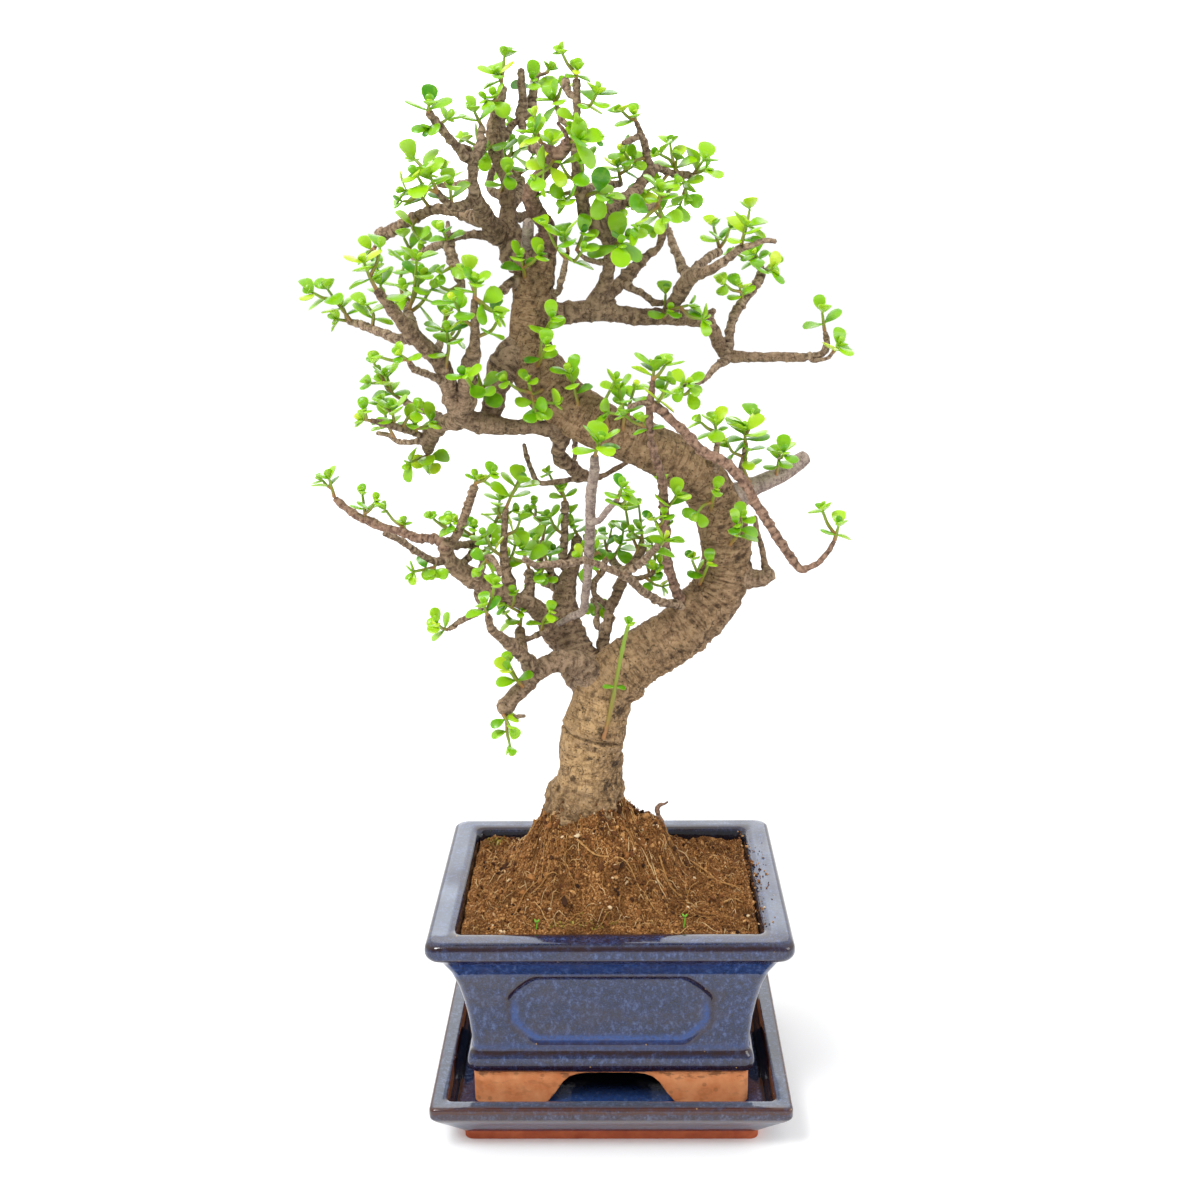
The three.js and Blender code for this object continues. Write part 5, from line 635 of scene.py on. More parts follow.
def leaf_of(place: Array, axis: Array, pair: int, side: int, pairs: int, length: float,
            seed: int, opened: float = 0.0) -> Leaf:
    """The leaf of one side of a pair: it leaves the shoot sideways, each pair square to the one
    before, leans towards the tip and turns its face up to the light.

    Args:
        place: Where it leaves the shoot.
        axis: The shoot's direction there.
        pair: Which pair, from the shoot's root.
        side: 0 or 1, the side of the pair.
        pairs: How many pairs the shoot has.
        length: The leaf's length before its own draw.
        seed: Starts the leaf's draws.
        opened: How much further it leans out and how much flatter it lies, from 0 to 1.

    Returns:
        The leaf.
    """
    draw = Draws(seed).next
    level = unit(np.cross([1.0, 0.35, 0.0], axis))
    square = np.cross(axis, level)
    turn = pair * math.pi / 2 + side * math.pi + 0.5 * draw()
    from_tip = pairs - 1 - pair
    lean = (0.95 if from_tip == 0 else 1.25) + 0.28 * draw() + 0.25 * opened
    out = square * math.cos(turn) + level * math.sin(turn)
    along = axis * math.cos(lean) + out * math.sin(lean)
    light = axis * 0.6 + np.array([0.35 * draw(), -0.25 + 0.35 * draw(), 0.8 + 0.6 * opened])
    up = unit(light - np.dot(light, along) * along)
    size = length * ((0.86, 1.0)[from_tip] if from_tip < 2 else 0.9) * (1 + 0.1 * draw())
    return Leaf(place, along, np.cross(up, along), up, size)


def shoot_stations(host: Sequence[Station], way: Sequence[Station], lean: float) -> list[Station]:
    """A green shoot's stations: it leaves a thick stem at its face, a thin one at its middle.

    Args:
        host: The stem or shoot that it grows from.
        way: Its way on the elevation.
        lean: How far its tip leans in depth, towards the eye if negative.

    Returns:
        Rows of x, z, radius, depth.
    """
    x, z, radius, depth = nearest_on_stem(host, *way[0])
    thick = radius > 3
    aside = math.hypot(way[0][0] - x, way[0][1] - z)
    out = math.copysign(0.85, lean) if thick and lean else 0.0
    face = out * math.sqrt(max(0.0, radius ** 2 - aside ** 2))
    first = (*(way[0] if thick else (x, z)), SHOOT_RADIUS, depth + face)
    rest = [(px, pz, SHOOT_RADIUS) for px, pz in way[1:]]
    rest[-1] = (*rest[-1], depth + face + lean)
    return with_depths([first, *rest], depth)


def along_route(places: Array, share: float) -> tuple[Array, Array]:
    """Where on a route a share of its length is, a radius back, with the direction there.

    Args:
        places: The route's places.
        share: The share of its length.

    Returns:
        The place and the direction.
    """
    steps = np.linalg.norm(np.diff(places, axis=0), axis=1)
    left = share * steps.sum()
    i = 0
    while i + 1 < len(steps) and left > steps[i]:
        left -= steps[i]
        i += 1
    axis = unit(places[i + 1] - places[i])
    return places[i] + axis * (left - SHOOT_RADIUS), axis


def blade_points(leaf: Leaf) -> Array:
    """Points spread over a leaf's blade, 5 along by 5 across.

    Args:
        leaf: The leaf.

    Returns:
        25 rows of x, y, z.
    """
    u = np.repeat([0.3, 0.5, 0.7, 0.88, 1.0], 5)
    v = np.tile([-0.9, -0.45, 0.0, 0.45, 0.9], 5)
    wide = leaf.length * LEAF_WIDTH * 0.5 * np.sin(math.pi * np.minimum(0.86, 0.12 + 0.8 * u))
    return leaf.root + np.outer(u * leaf.length, leaf.along) + np.outer(v * wide, leaf.across)


class Room:
    """The stems and blades that a new leaf must stay clear of."""

    def __init__(self, stems: dict[str, list[Station]]) -> None:
        """Keeps every stem's straight pieces with their larger radius.

        Args:
            stems: The stations of each stem.
        """
        starts, ends, radii, names = [], [], [], []
        for name, stations in stems.items():
            places, radius = in_space(stations)
            starts.append(places[:-1])
            ends.append(places[1:])
            radii.append(np.maximum(radius[:-1], radius[1:]))
            names += [name] * (len(places) - 1)
        self.starts, self.ends = np.concatenate(starts), np.concatenate(ends)
        self.radii, self.names = np.concatenate(radii), np.array(names)

    def blocked(self, blade: Array, own: Sequence[str], blades: Array) -> bool:
        """Whether a blade would touch a stem that isn't its own, or another branch's leaf.

        The distance from a point to a straight piece is taken to its nearest point, at the
        share dot(point - start, step) / dot(step, step), kept between 0 and 1.

        Args:
            blade: The points spread over the leaf.
            own: The stems that the leaf may touch.
            blades: The points of the other leaves, 25 rows each.

        Returns:
            True if it is too near.
        """
        other = ~np.isin(self.names, own)
        start, step = self.starts[other], (self.ends - self.starts)[other]
        way = blade[:, None] - start
        share = np.clip((way * step).sum(-1) / (step * step).sum(-1), 0, 1)
        away = np.linalg.norm(way - share[..., None] * step, axis=-1)
        if (away < self.radii[other] + LEAF_CLEAR + LEAF_THICKNESS / 2).any():
            return True
        close = blades[np.linalg.norm(blades[:, 12] - blade[12], axis=-1) <= LEAF_REACH]
        gaps = np.linalg.norm(close[:, :, None] - blade, axis=-1)
        return bool((gaps < LEAF_CLEAR + LEAF_THICKNESS).any())


@dataclass
class Branch:
    """A leafy branch: its own woody stems, its shoots' places and its leaves."""

    name: str
    stems: tuple[str, ...]
    shoots: list[Array] = field(default_factory=list)
    leaves: list[Leaf] = field(default_factory=list)


def plan_branches(stems: dict[str, list[Station]]) -> list[Branch]:
    """Grows every leafy branch: first the leaves of the solid model, then those it leaves out.

    Args:
        stems: The stations of every woody stem.

    Returns:
        The branches in their order.
    """
    room = Room(stems)
    branches: list[Branch] = []
    blades = np.zeros((0, 25, 3))
    later: list[tuple[Branch, Array, int, int, int, float, int]] = []
    for number, (name, own, shoots) in enumerate(LEAFY):
        branch = Branch(name, own)
        routes: list[list[Station]] = []
        fresh: list[Array] = []
        for order, (host, way, lean, pairs, length) in enumerate(shoots):
            grown_from = routes[host] if isinstance(host, int) else stems[host]
            routes.append(shoot_stations(grown_from, way, lean))
            places = in_space(routes[-1])[0]
            branch.shoots.append(places)
            kept = 1 if length < SMALL_LEAF else PAIRS_KEPT
            for pair in range(pairs):
                seed = number * BRANCH_SEEDS + order * SHOOT_SEEDS + pair * PAIR_SEEDS
                for side in (0, 1):
                    job = (branch, places, pair, side, pairs, length,
                           seed + side * PAIR_SEEDS // 2)
                    if pair < pairs - kept:
                        later.append(job)
                    else:
                        fresh += place_leaf(job, room, blades)
        branches.append(branch)
        if fresh:
            blades = np.concatenate([blades, np.array(fresh)])
    for number, (branch, (_, _, shoots)) in enumerate(zip(branches, LEAFY)):
        for order, (_, _, _, _, length) in enumerate(shoots):
            if branch.name not in NO_SIDE_SHOOTS:
                seed = SIDE_SHOOT_SEED + number * BRANCH_SEEDS + order * SHOOT_SEEDS
                places = side_shoot(branch.shoots[order], seed)
                branch.shoots.append(places)
                later += [(branch, places, pair, side, 2, length, seed + pair * 16 + side * 8)
                          for pair in (0, 1) for side in (0, 1)]
    named = {branch.name: branch for branch in branches}
    for number, (name, host, way, lean, pairs, length) in enumerate(EXTRA_SHOOTS):
        places = in_space(shoot_stations(stems[host], way, lean))[0]
        named[name].shoots.append(places)
        seed = EXTRA_SHOOT_SEED + number * EXTRA_SHOOT_SEEDS
        later += [(named[name], places, pair, side, pairs, length,
                   seed + pair * PAIR_SEEDS + side * PAIR_SEEDS // 2)
                  for pair in range(pairs) for side in (0, 1)]
    for job in later:
        fresh = place_leaf(job, room, blades, 0.8)
        if fresh:
            blades = np.concatenate([blades, np.array(fresh)])
    return branches


def side_shoot(places: Array, seed: int) -> Array:
    """A short shoot that leaves a green one sideways and bends up to the light.

    Args:
        places: The green shoot's places.
        seed: Starts its draws.

    Returns:
        Its places in mm.
    """
    draw = Draws(seed).next
    place, axis = along_route(places, 0.5 + 0.35 * draw())
    level = unit(np.cross([1.0, 0.35, 0.0], axis))
    angle = 3.2 * draw()
    out = np.cross(axis, level) * math.cos(angle) + level * math.sin(angle)
    first = unit(0.5 * axis + out + [0, 0, 0.2])
    last = unit(0.8 * axis + 0.9 * out + [0, 0, 0.5])
    reach = 9.5 + 3 * draw()
    return np.array([place, place + 0.5 * reach * first, place + 0.5 * reach * (first + last)])


def place_leaf(job: tuple[Branch, Array, int, int, int, float, int], room: Room,
               blades: Array, opened: float = 0.0) -> list[Array]:
    """Draws a leaf until it fits, and gives it to its branch.

    Args:
        job: The branch, the shoot's places, the pair, side, pairs, length and seed.
        room: What the leaf must stay clear of.
        blades: The other branches' leaves.
        opened: How much further the leaf opens than the solid model's leaves do.

    Returns:
        The leaf's blade points, or nothing if it never fits.
    """
    branch, places, pair, side, pairs, length, seed = job
    share = 1.0 if pairs == 1 else 0.45 + 0.55 * pair / (pairs - 1)
    place, axis = along_route(places, share)
    for attempt in range(LEAF_TRIES):
        long = length * (1 if attempt < 5 else 0.75)
        leaf = leaf_of(place, axis, pair, side, pairs, long, seed + attempt, opened)
        blade = blade_points(leaf)
        if not room.blocked(blade, branch.stems, blades):
            branch.leaves.append(leaf)
            return [blade]
    return []


# ---- surfaces ----

def noise(points: Array, size: float | Sequence[float], seed: int = 0) -> Array:
    """Smooth value noise from -1 to 1: a draw at each corner of a lattice of the given size,
    blended across each cell by 3t^2 - 2t^3.

    Args:
        points: Rows of x, y, z in mm.
        size: The lattice's cell size in mm, the same or one for each axis.
        seed: Tells one noise from another.

    Returns:
        One value a row.
    """
    grid = points / np.asarray(size, float)
    cell = np.floor(grid).astype(np.int64)
    share = grid - cell
    ease = share * share * (3 - 2 * share)
    total = np.zeros(len(points))
    for corner in range(8):
        bits = np.array([corner & 1, corner >> 1 & 1, corner >> 2 & 1])
        key = (cell + bits) @ np.array([73856093, 19349663, 83492791]) + seed * 2654435761
        key = (key ^ (key >> 13)) * 1274126177
        key = (key ^ (key >> 16)) & 0xFFFFFF
        weight = np.prod(np.where(bits, ease, 1 - ease), axis=1)
        total += weight * (key / 0x7FFFFF - 1)
    return total


def smooth_step(low: float, high: float, x: Array) -> Array:
    """Rises from 0 at low to 1 at high as 3t^2 - 2t^3."""
    t = np.clip((x - low) / (high - low), 0, 1)
    return t * t * (3 - 2 * t)


@dataclass
class Patch:
    """Points in mm with their faces, finish numbers and four shade values a point."""

    points: Array
    faces: NDArray[np.int64]
    finish: int = 0
    shades: Array | None = None
    wound: Array | None = None


def placed(name: str, data: bpy.types.ID) -> bpy.types.Object:
    """A new object of the scene, at the origin.

    Args:
        name: Its name.
        data: Its mesh, light or camera.

    Returns:
        The object.
    """
    thing = bpy.data.objects.new(name, data)
    bpy.context.scene.collection.objects.link(thing)
    return thing


class Skin:
    """Gathers patches into one mesh object in the row frame."""

    def __init__(self, name: str, finishes: Sequence[bpy.types.Material]) -> None:
        """Starts an empty skin with its name and its materials."""
        self.name, self.finishes = name, list(finishes)
        self.patches: list[Patch] = []

    def add(self, patch: Patch) -> None:
        """Adds a patch."""
        self.patches.append(patch)

    def build(self, sharp: float = math.radians(50)) -> bpy.types.Object:
        """Makes the mesh object. A triangle's row repeats its last corner.

        Args:
            sharp: Edges that turn by more than this stay crisp.

        Returns:
            The object, at the origin.
        """
        points = np.concatenate([p.points for p in self.patches]) * MM
        starts = np.cumsum([0] + [len(p.points) for p in self.patches[:-1]])
        faces = np.concatenate([p.faces + s for p, s in zip(self.patches, starts)])
        finish = np.concatenate([np.full(len(p.faces), p.finish) for p in self.patches])
        sides = np.where(faces[:, 2] == faces[:, 3], 3, 4)
        mesh = bpy.data.meshes.new(self.name)
        mesh.vertices.add(len(points))
        mesh.vertices.foreach_set("co", points.astype(np.float32).ravel())
        keep = np.arange(4)[None] < sides[:, None]
        corners = faces[keep].astype(np.int32)
        mesh.loops.add(len(corners))
        mesh.loops.foreach_set("vertex_index", corners)
        mesh.polygons.add(len(faces))
        first = np.concatenate([[0], np.cumsum(sides)[:-1]]).astype(np.int32)
        mesh.polygons.foreach_set("loop_start", first)
        mesh.polygons.foreach_set("material_index", finish.astype(np.int32))
        mesh.polygons.foreach_set("use_smooth", np.ones(len(faces), bool))
        if any(p.shades is not None for p in self.patches):
            shades = np.concatenate([np.zeros((len(p.points), 4)) if p.shades is None else p.shades
                                     for p in self.patches])
            layer = mesh.attributes.new("shade", "FLOAT_COLOR", "POINT")
            layer.data.foreach_set("color", shades.astype(np.float32).ravel())
        if any(p.wound is not None for p in self.patches):
            wound = np.concatenate([p.points if p.wound is None else p.wound for p in self.patches])
            layer = mesh.attributes.new("wound", "FLOAT_VECTOR", "POINT")
            layer.data.foreach_set("vector", wound.astype(np.float32).ravel())
        mesh.update(calc_edges=True)
        mesh.validate()
        mesh.set_sharp_from_angle(angle=sharp)
        for material in self.finishes:
            mesh.materials.append(material)
        return placed(self.name, mesh)


def ring_faces(rings: int, around: int) -> NDArray[np.int64]:
    """Faces of a skin over rings of equal counts. Two middle points follow the rings' points and
    close the ends with fans.

    Args:
        rings: How many rings.
        around: How many points each has.

    Returns:
        Rows of four point numbers.
    """
    k, i = np.meshgrid(np.arange(rings - 1) * around, np.arange(around), indexing="ij")
    j = (i + 1) % around
    quads = np.stack([k + i, k + j, k + around + j, k + around + i], -1).reshape(-1, 4)
    i, j = i[0], j[0]
    first, last, top = rings * around, rings * around + 1, (rings - 1) * around
    return np.concatenate([quads, np.stack([np.full(around, first), j, i, i], -1),
                           np.stack([np.full(around, last), top + i, top + j, top + j], -1)])


def repeated(faces: Array, count: int, size: int) -> NDArray[np.int64]:
    """The faces of a shape with size points, for count shapes whose points follow each other."""
    return (np.asarray(faces)[None] + (np.arange(count) * size)[:, None, None]).reshape(-1, 4)


def one_draw_each(rng: np.random.Generator, count: int, size: int) -> Array:
    """Shades whose first value is one draw for each of count shapes with size points.

    Args:
        rng: The draws.
        count: How many shapes.
        size: How many points each has.

    Returns:
        Rows of four values.
    """
    table = np.zeros((count * size, 4))
    table[:, 0] = np.repeat(rng.random(count), size)
    return table


def closed_skin(rings: Array) -> tuple[Array, NDArray[np.int64]]:
    """Points and faces of a closed skin over rings (k, n, 3), with a middle point at each end."""
    points = np.concatenate([rings.reshape(-1, 3), rings[:1].mean(1), rings[-1:].mean(1)])
    return points, ring_faces(rings.shape[0], rings.shape[1])


def curve_through(values: Array, knots: Array, at: Array) -> Array:
    """A smooth curve through rows of values at the given knots: on each span a cubic whose slopes
    at the knots are the slopes between their neighbours.

    Args:
        values: One row a knot.
        knots: Rising places of the rows.
        at: Where the curve is wanted.

    Returns:
        One row for each place in at.
    """
    slopes = np.gradient(values, knots, axis=0)
    i = np.clip(np.searchsorted(knots, at, side="right") - 1, 0, len(knots) - 2)
    span = (knots[i + 1] - knots[i])[:, None]
    t = ((at - knots[i]) / span[:, 0])[:, None]
    return ((2 * t ** 3 - 3 * t ** 2 + 1) * values[i] + (t ** 3 - 2 * t ** 2 + t) * span * slopes[i]
            + (3 * t ** 2 - 2 * t ** 3) * values[i + 1] + (t ** 3 - t ** 2) * span * slopes[i + 1])


def blurred(values: Array, along: int, around: int) -> Array:
    """The moving mean of a table, over rows held at both ends and columns that close a ring.

    Args:
        values: The table.
        along: How many rows it reaches each way.
        around: How many columns it reaches each way.

    Returns:
        The table of means.
    """
    wide = np.pad(np.pad(values, ((along, along), (0, 0)), mode="edge"),
                  ((0, 0), (around, around)), mode="wrap")
    down = np.cumsum(np.pad(wide, ((1, 0), (0, 0))), axis=0)
    down = (down[2 * along + 1:] - down[:-2 * along - 1]) / (2 * along + 1)
    side = np.cumsum(np.pad(down, ((0, 0), (1, 0))), axis=1)
    return (side[:, 2 * around + 1:] - side[:, :-2 * around - 1]) / (2 * around + 1)


@dataclass
class Tube:
    """A tube's dense middle line: places, radii, distances along, and its frame, all in mm."""

    places: Array
    radii: Array
    run: Array
    along: Array
    side: Array
    other: Array

    @staticmethod
    def through(places: Array, radii: Array, step: float) -> "Tube":
        """A smooth middle line through stations, with rings the given step apart.

        The side direction is the world axis that the line keeps furthest from, less its part
        along the line, so the rings don't twist.

        Args:
            places: The stations' places.
            radii: Their radii.
            step: How far apart the rings are.

        Returns:
            The tube.
        """
        knots = np.concatenate([[0.0], np.cumsum(np.linalg.norm(np.diff(places, axis=0), axis=1))])
        run = np.linspace(0, knots[-1], max(4, int(math.ceil(knots[-1] / step)) + 1))
        line = curve_through(np.column_stack([places, radii]), knots, run)
        along = unit(np.gradient(line[:, :3], run, axis=0))
        axis = np.eye(3)[int(np.argmin(np.abs(along).max(axis=0)))]
        side = unit(axis - (along @ axis)[:, None] * along)
        return Tube(line[:, :3], np.maximum(line[:, 3], 0.25), run, along, side,
                    np.cross(along, side))

    def outward(self, turn: Array) -> Array:
        """Side * cos(turn) + other * sin(turn) at each ring and turn."""
        return (self.side[:, None] * np.cos(turn)[None, :, None]
                + self.other[:, None] * np.sin(turn)[None, :, None])

    def skin(self, around: int, relief: Callable[["Tube", Array, Array], Array] | None = None,
             finish: int = 0, blunt: float = 0.8, start_run: float = 0.0) -> Patch:
        """The tube's skin: place + reach * (side * cos(turn) + other * sin(turn)), where reach is
        the radius times its relief, drawn in at the tip over a rounded end.

        Args:
            around: Points in a ring.
            relief: Gives the share of the radius at each ring and turn.
            finish: The skin's material number.
            blunt: How long the rounded tip is, in radii.
            start_run: Where its wound coordinates start, so that no two stems look alike.

        Returns:
            The patch, with shades: how far the skin stands out or in (0.5 is level), which the bark
            paints as shade in its crevices and as a highlight where it stands out; how far it faces
            right and down, where the bark paints shade; the share along and 1; and with the wound
            coordinates radius * cos(turn), radius * sin(turn), distance along.
        """
        turn = np.arange(around) * 2 * math.pi / around
        reach = np.repeat(self.radii[:, None], around, axis=1)
        stand = np.full(reach.shape, 0.5)
        if relief is not None:
            share = relief(self, turn, self.run)
            step = self.run[1] - self.run[0]
            # How far the skin stands out from its surroundings: the bark paints shade where it sinks
            # and a highlight where it rises.
            rise = (share - blurred(share, max(1, round(1.6 / step)), max(1, around // 28))) * reach
            stand = np.clip(0.5 + rise / (0.4 + 0.05 * reach), 0, 1)
            reach = reach * share
        end = max(blunt * self.radii[-1], 1e-6)
        tip = np.clip((self.run - (self.run[-1] - end)) / end, 0, 0.96)
        reach = reach * np.sqrt(1 - tip ** 2)[:, None]
        normal = self.outward(turn)
        points, faces = closed_skin(self.places[:, None] + reach[..., None] * normal)
        # How far each point faces right and down, away from the key light: the bark paints shade
        # there.
        faced = smooth_step(0.05, 0.75, normal @ np.array([0.75, -0.05, -0.65]))
        along = np.repeat((self.run / self.run[-1])[:, None], around, axis=1)
        shade = np.stack([stand, faced, along, np.ones_like(along)], axis=-1).reshape(-1, 4)
        way = np.stack([reach * np.cos(turn)[None], reach * np.sin(turn)[None],
                        np.repeat(self.run[:, None] + start_run, around, axis=1)], axis=-1)
        way = np.concatenate([way.reshape(-1, 3), way[:1].mean(1), way[-1:].mean(1)])
        return Patch(points, faces, finish, np.concatenate([shade, shade[:1], shade[-1:]]), way)


# ---- finishes ----

def linear(code: str) -> tuple[float, float, float, float]:
    """An sRGB hex value as linear red, green, blue and alpha.

    Args:
        code: The value, as "#RRGGBB".

    Returns:
        The four linear values: part / 12.92 near black, else ((part + 0.055) / 1.055)^2.4.
    """
    parts = [int(code[i:i + 2], 16) / 255 for i in (1, 3, 5)]
    flat = [p / 12.92 if p <= 0.04045 else ((p + 0.055) / 1.055) ** 2.4 for p in parts]
    return (flat[0], flat[1], flat[2], 1.0)


def add(tree: bpy.types.NodeTree, kind: str, inputs: dict[Any, Any] | None = None,
        **settings: Any) -> bpy.types.Node:
    """Adds a shader node.

    Args:
        tree: The material's node tree.
        kind: The node's type.
        inputs: Socket names or numbers with a value, or with a socket to link from.
        settings: The node's own properties.

    Returns:
        The node.
    """
    node = tree.nodes.new(kind)
    for name, value in settings.items():
        setattr(node, name, value)
    for name, value in (inputs or {}).items():
        if isinstance(value, bpy.types.NodeSocket):
            tree.links.new(value, node.inputs[name])
        else:
            node.inputs[name].default_value = value
    return node


def start(name: str) -> tuple[bpy.types.Material, bpy.types.NodeTree]:
    """A new material with an empty node tree.

    Args:
        name: The material's name.

    Returns:
        The material and its tree.
    """
    material = bpy.data.materials.new(name)
    material.use_nodes = True
    material.node_tree.nodes.clear()
    return material, material.node_tree


def ramp(tree: bpy.types.NodeTree, source: bpy.types.NodeSocket,
         stops: Sequence[tuple[float, str]]) -> bpy.types.NodeSocket:
    """Colours along a value.

    Args:
        tree: The material's node tree.
        source: The value.
        stops: Rows of place and hex code.

    Returns:
        The colour.
    """
    node = add(tree, "ShaderNodeValToRGB", {"Fac": source})
    points = node.color_ramp.elements
    points[0].position, points[1].position = stops[0][0], stops[-1][0]
    points[0].color, points[1].color = linear(stops[0][1]), linear(stops[-1][1])
    for place, code in stops[1:-1]:
        points.new(place).color = linear(code)
    return node.outputs["Color"]


def level(tree: bpy.types.NodeTree, source: bpy.types.NodeSocket, low: float, high: float,
          floor: float = 0.0, top: float = 1.0) -> bpy.types.NodeSocket:
    """A value eased from floor to top as the source goes from low to high.

    Args:
        tree: The material's node tree.
        source: The value read.
        low: Where it starts to rise.
        high: Where it ends.
        floor: The value given below low.
        top: The value given above high.

    Returns:
        The eased value.
    """
    return add(tree, "ShaderNodeMapRange", {"Value": source, "From Min": low, "From Max": high,
                                            "To Min": floor, "To Max": top},
               interpolation_type="SMOOTHSTEP").outputs["Result"]


def mixed(tree: bpy.types.NodeTree, share: Any, a: Any, b: Any) -> bpy.types.NodeSocket:
    """Colour a mixed with colour b by a share; a colour may be a socket or a hex code.

    Args:
        tree: The material's node tree.
        share: The share of colour b.
        a: The first colour.
        b: The second colour.

    Returns:
        The mixed colour.
    """
    sides = [linear(side) if isinstance(side, str) else side for side in (a, b)]
    return add(tree, "ShaderNodeMix", {0: share, 6: sides[0], 7: sides[1]},
               data_type="RGBA").outputs[2]


def scaled(tree: bpy.types.NodeTree, size: float, stretch: tuple[float, float, float],
           wound: bool) -> bpy.types.NodeSocket:
    """Coordinates whose unit is size mm times stretch: the object's own, or wound round a stem.

    Args:
        tree: The material's node tree.
        size: The unit in mm.
        stretch: How much longer it is along each axis.
        wound: Whether they follow the stem: across, across and along it, in mm.

    Returns:
        The coordinates.
    """
    if wound:
        where = add(tree, "ShaderNodeAttribute", attribute_name="wound").outputs["Vector"]
    else:
        where = add(tree, "ShaderNodeTexCoord").outputs["Object"]
        size *= MM
    return add(tree, "ShaderNodeMapping", {
        "Vector": where, "Scale": tuple(1 / (size * s) for s in stretch)}).outputs["Vector"]


def grain(tree: bpy.types.NodeTree, size: float, detail: float = 3.0,
          stretch: tuple[float, float, float] = (1, 1, 1), rough: float = 0.55,
          wound: bool = False) -> bpy.types.NodeSocket:
    """Noise whose grains are about size mm, longer by stretch.

    Args:
        tree: The material's node tree.
        size: The grains' size in mm.
        detail: How many finer layers.
        stretch: How much longer the grains are on each axis.
        rough: How strong the finer layers are.
        wound: Whether it winds round a stem.

    Returns:
        The noise, about 0.5.
    """
    return add(tree, "ShaderNodeTexNoise", {
        "Vector": scaled(tree, size, stretch, wound), "Scale": 1.0, "Detail": detail,
        "Roughness": rough}).outputs["Fac"]


def flecks(tree: bpy.types.NodeTree, size: float, feature: str = "F1",
           stretch: tuple[float, float, float] = (1, 1, 1), wound: bool = False
           ) -> bpy.types.NodeSocket:
    """Distances in a scatter of cells about size mm apart.

    Args:
        tree: The material's node tree.
        size: The cells' size in mm.
        feature: The distance taken.
        stretch: How much longer the cells are on each axis.
        wound: Whether they wind round a stem.

    Returns:
        The distance, in cells.
    """
    return add(tree, "ShaderNodeTexVoronoi", {
        "Vector": scaled(tree, size, stretch, wound), "Scale": 1.0},
        feature=feature).outputs["Distance"]


def product(tree: bpy.types.NodeTree, a: Any, b: Any) -> bpy.types.NodeSocket:
    """One value times another; each may be a socket or a number."""
    return add(tree, "ShaderNodeMath", {0: a, 1: b}, operation="MULTIPLY").outputs[0]


def total(tree: bpy.types.NodeTree, a: Any, b: Any) -> bpy.types.NodeSocket:
    """One value plus another; each may be a socket or a number."""
    return add(tree, "ShaderNodeMath", {0: a, 1: b}, operation="ADD").outputs[0]


def shades(tree: bpy.types.NodeTree) -> tuple[bpy.types.NodeSocket, ...]:
    """The four values of the shade attribute.

    Args:
        tree: The material's node tree.

    Returns:
        The four values.
    """
    shade = add(tree, "ShaderNodeAttribute", attribute_name="shade")
    split = add(tree, "ShaderNodeSeparateColor", {"Color": shade.outputs["Color"]}).outputs
    return split[0], split[1], split[2], shade.outputs["Alpha"]


def relief(tree: bpy.types.NodeTree, height: bpy.types.NodeSocket, depth: float,
           strength: float = 1.0) -> bpy.types.NodeSocket:
    """A bump of the given depth in mm."""
    return add(tree, "ShaderNodeBump", {"Height": height, "Distance": depth * MM,
                                        "Strength": strength}).outputs["Normal"]


def surface(tree: bpy.types.NodeTree, inputs: dict[str, Any]) -> None:
    """The finish's surface, joined to the material's output."""
    shader = add(tree, "ShaderNodeBsdfPrincipled", inputs)
    add(tree, "ShaderNodeOutputMaterial", {"Surface": shader.outputs[0]})


class BarkKind(Enum):
    """The barks of the tree, from its foot to its twigs."""

    TRUNK = "trunk_bark"
    LIMB = "limb_bark"
    TWIG = "twig_bark"
    RED = "young_bark"
    GREY = "smooth_grey_bark"


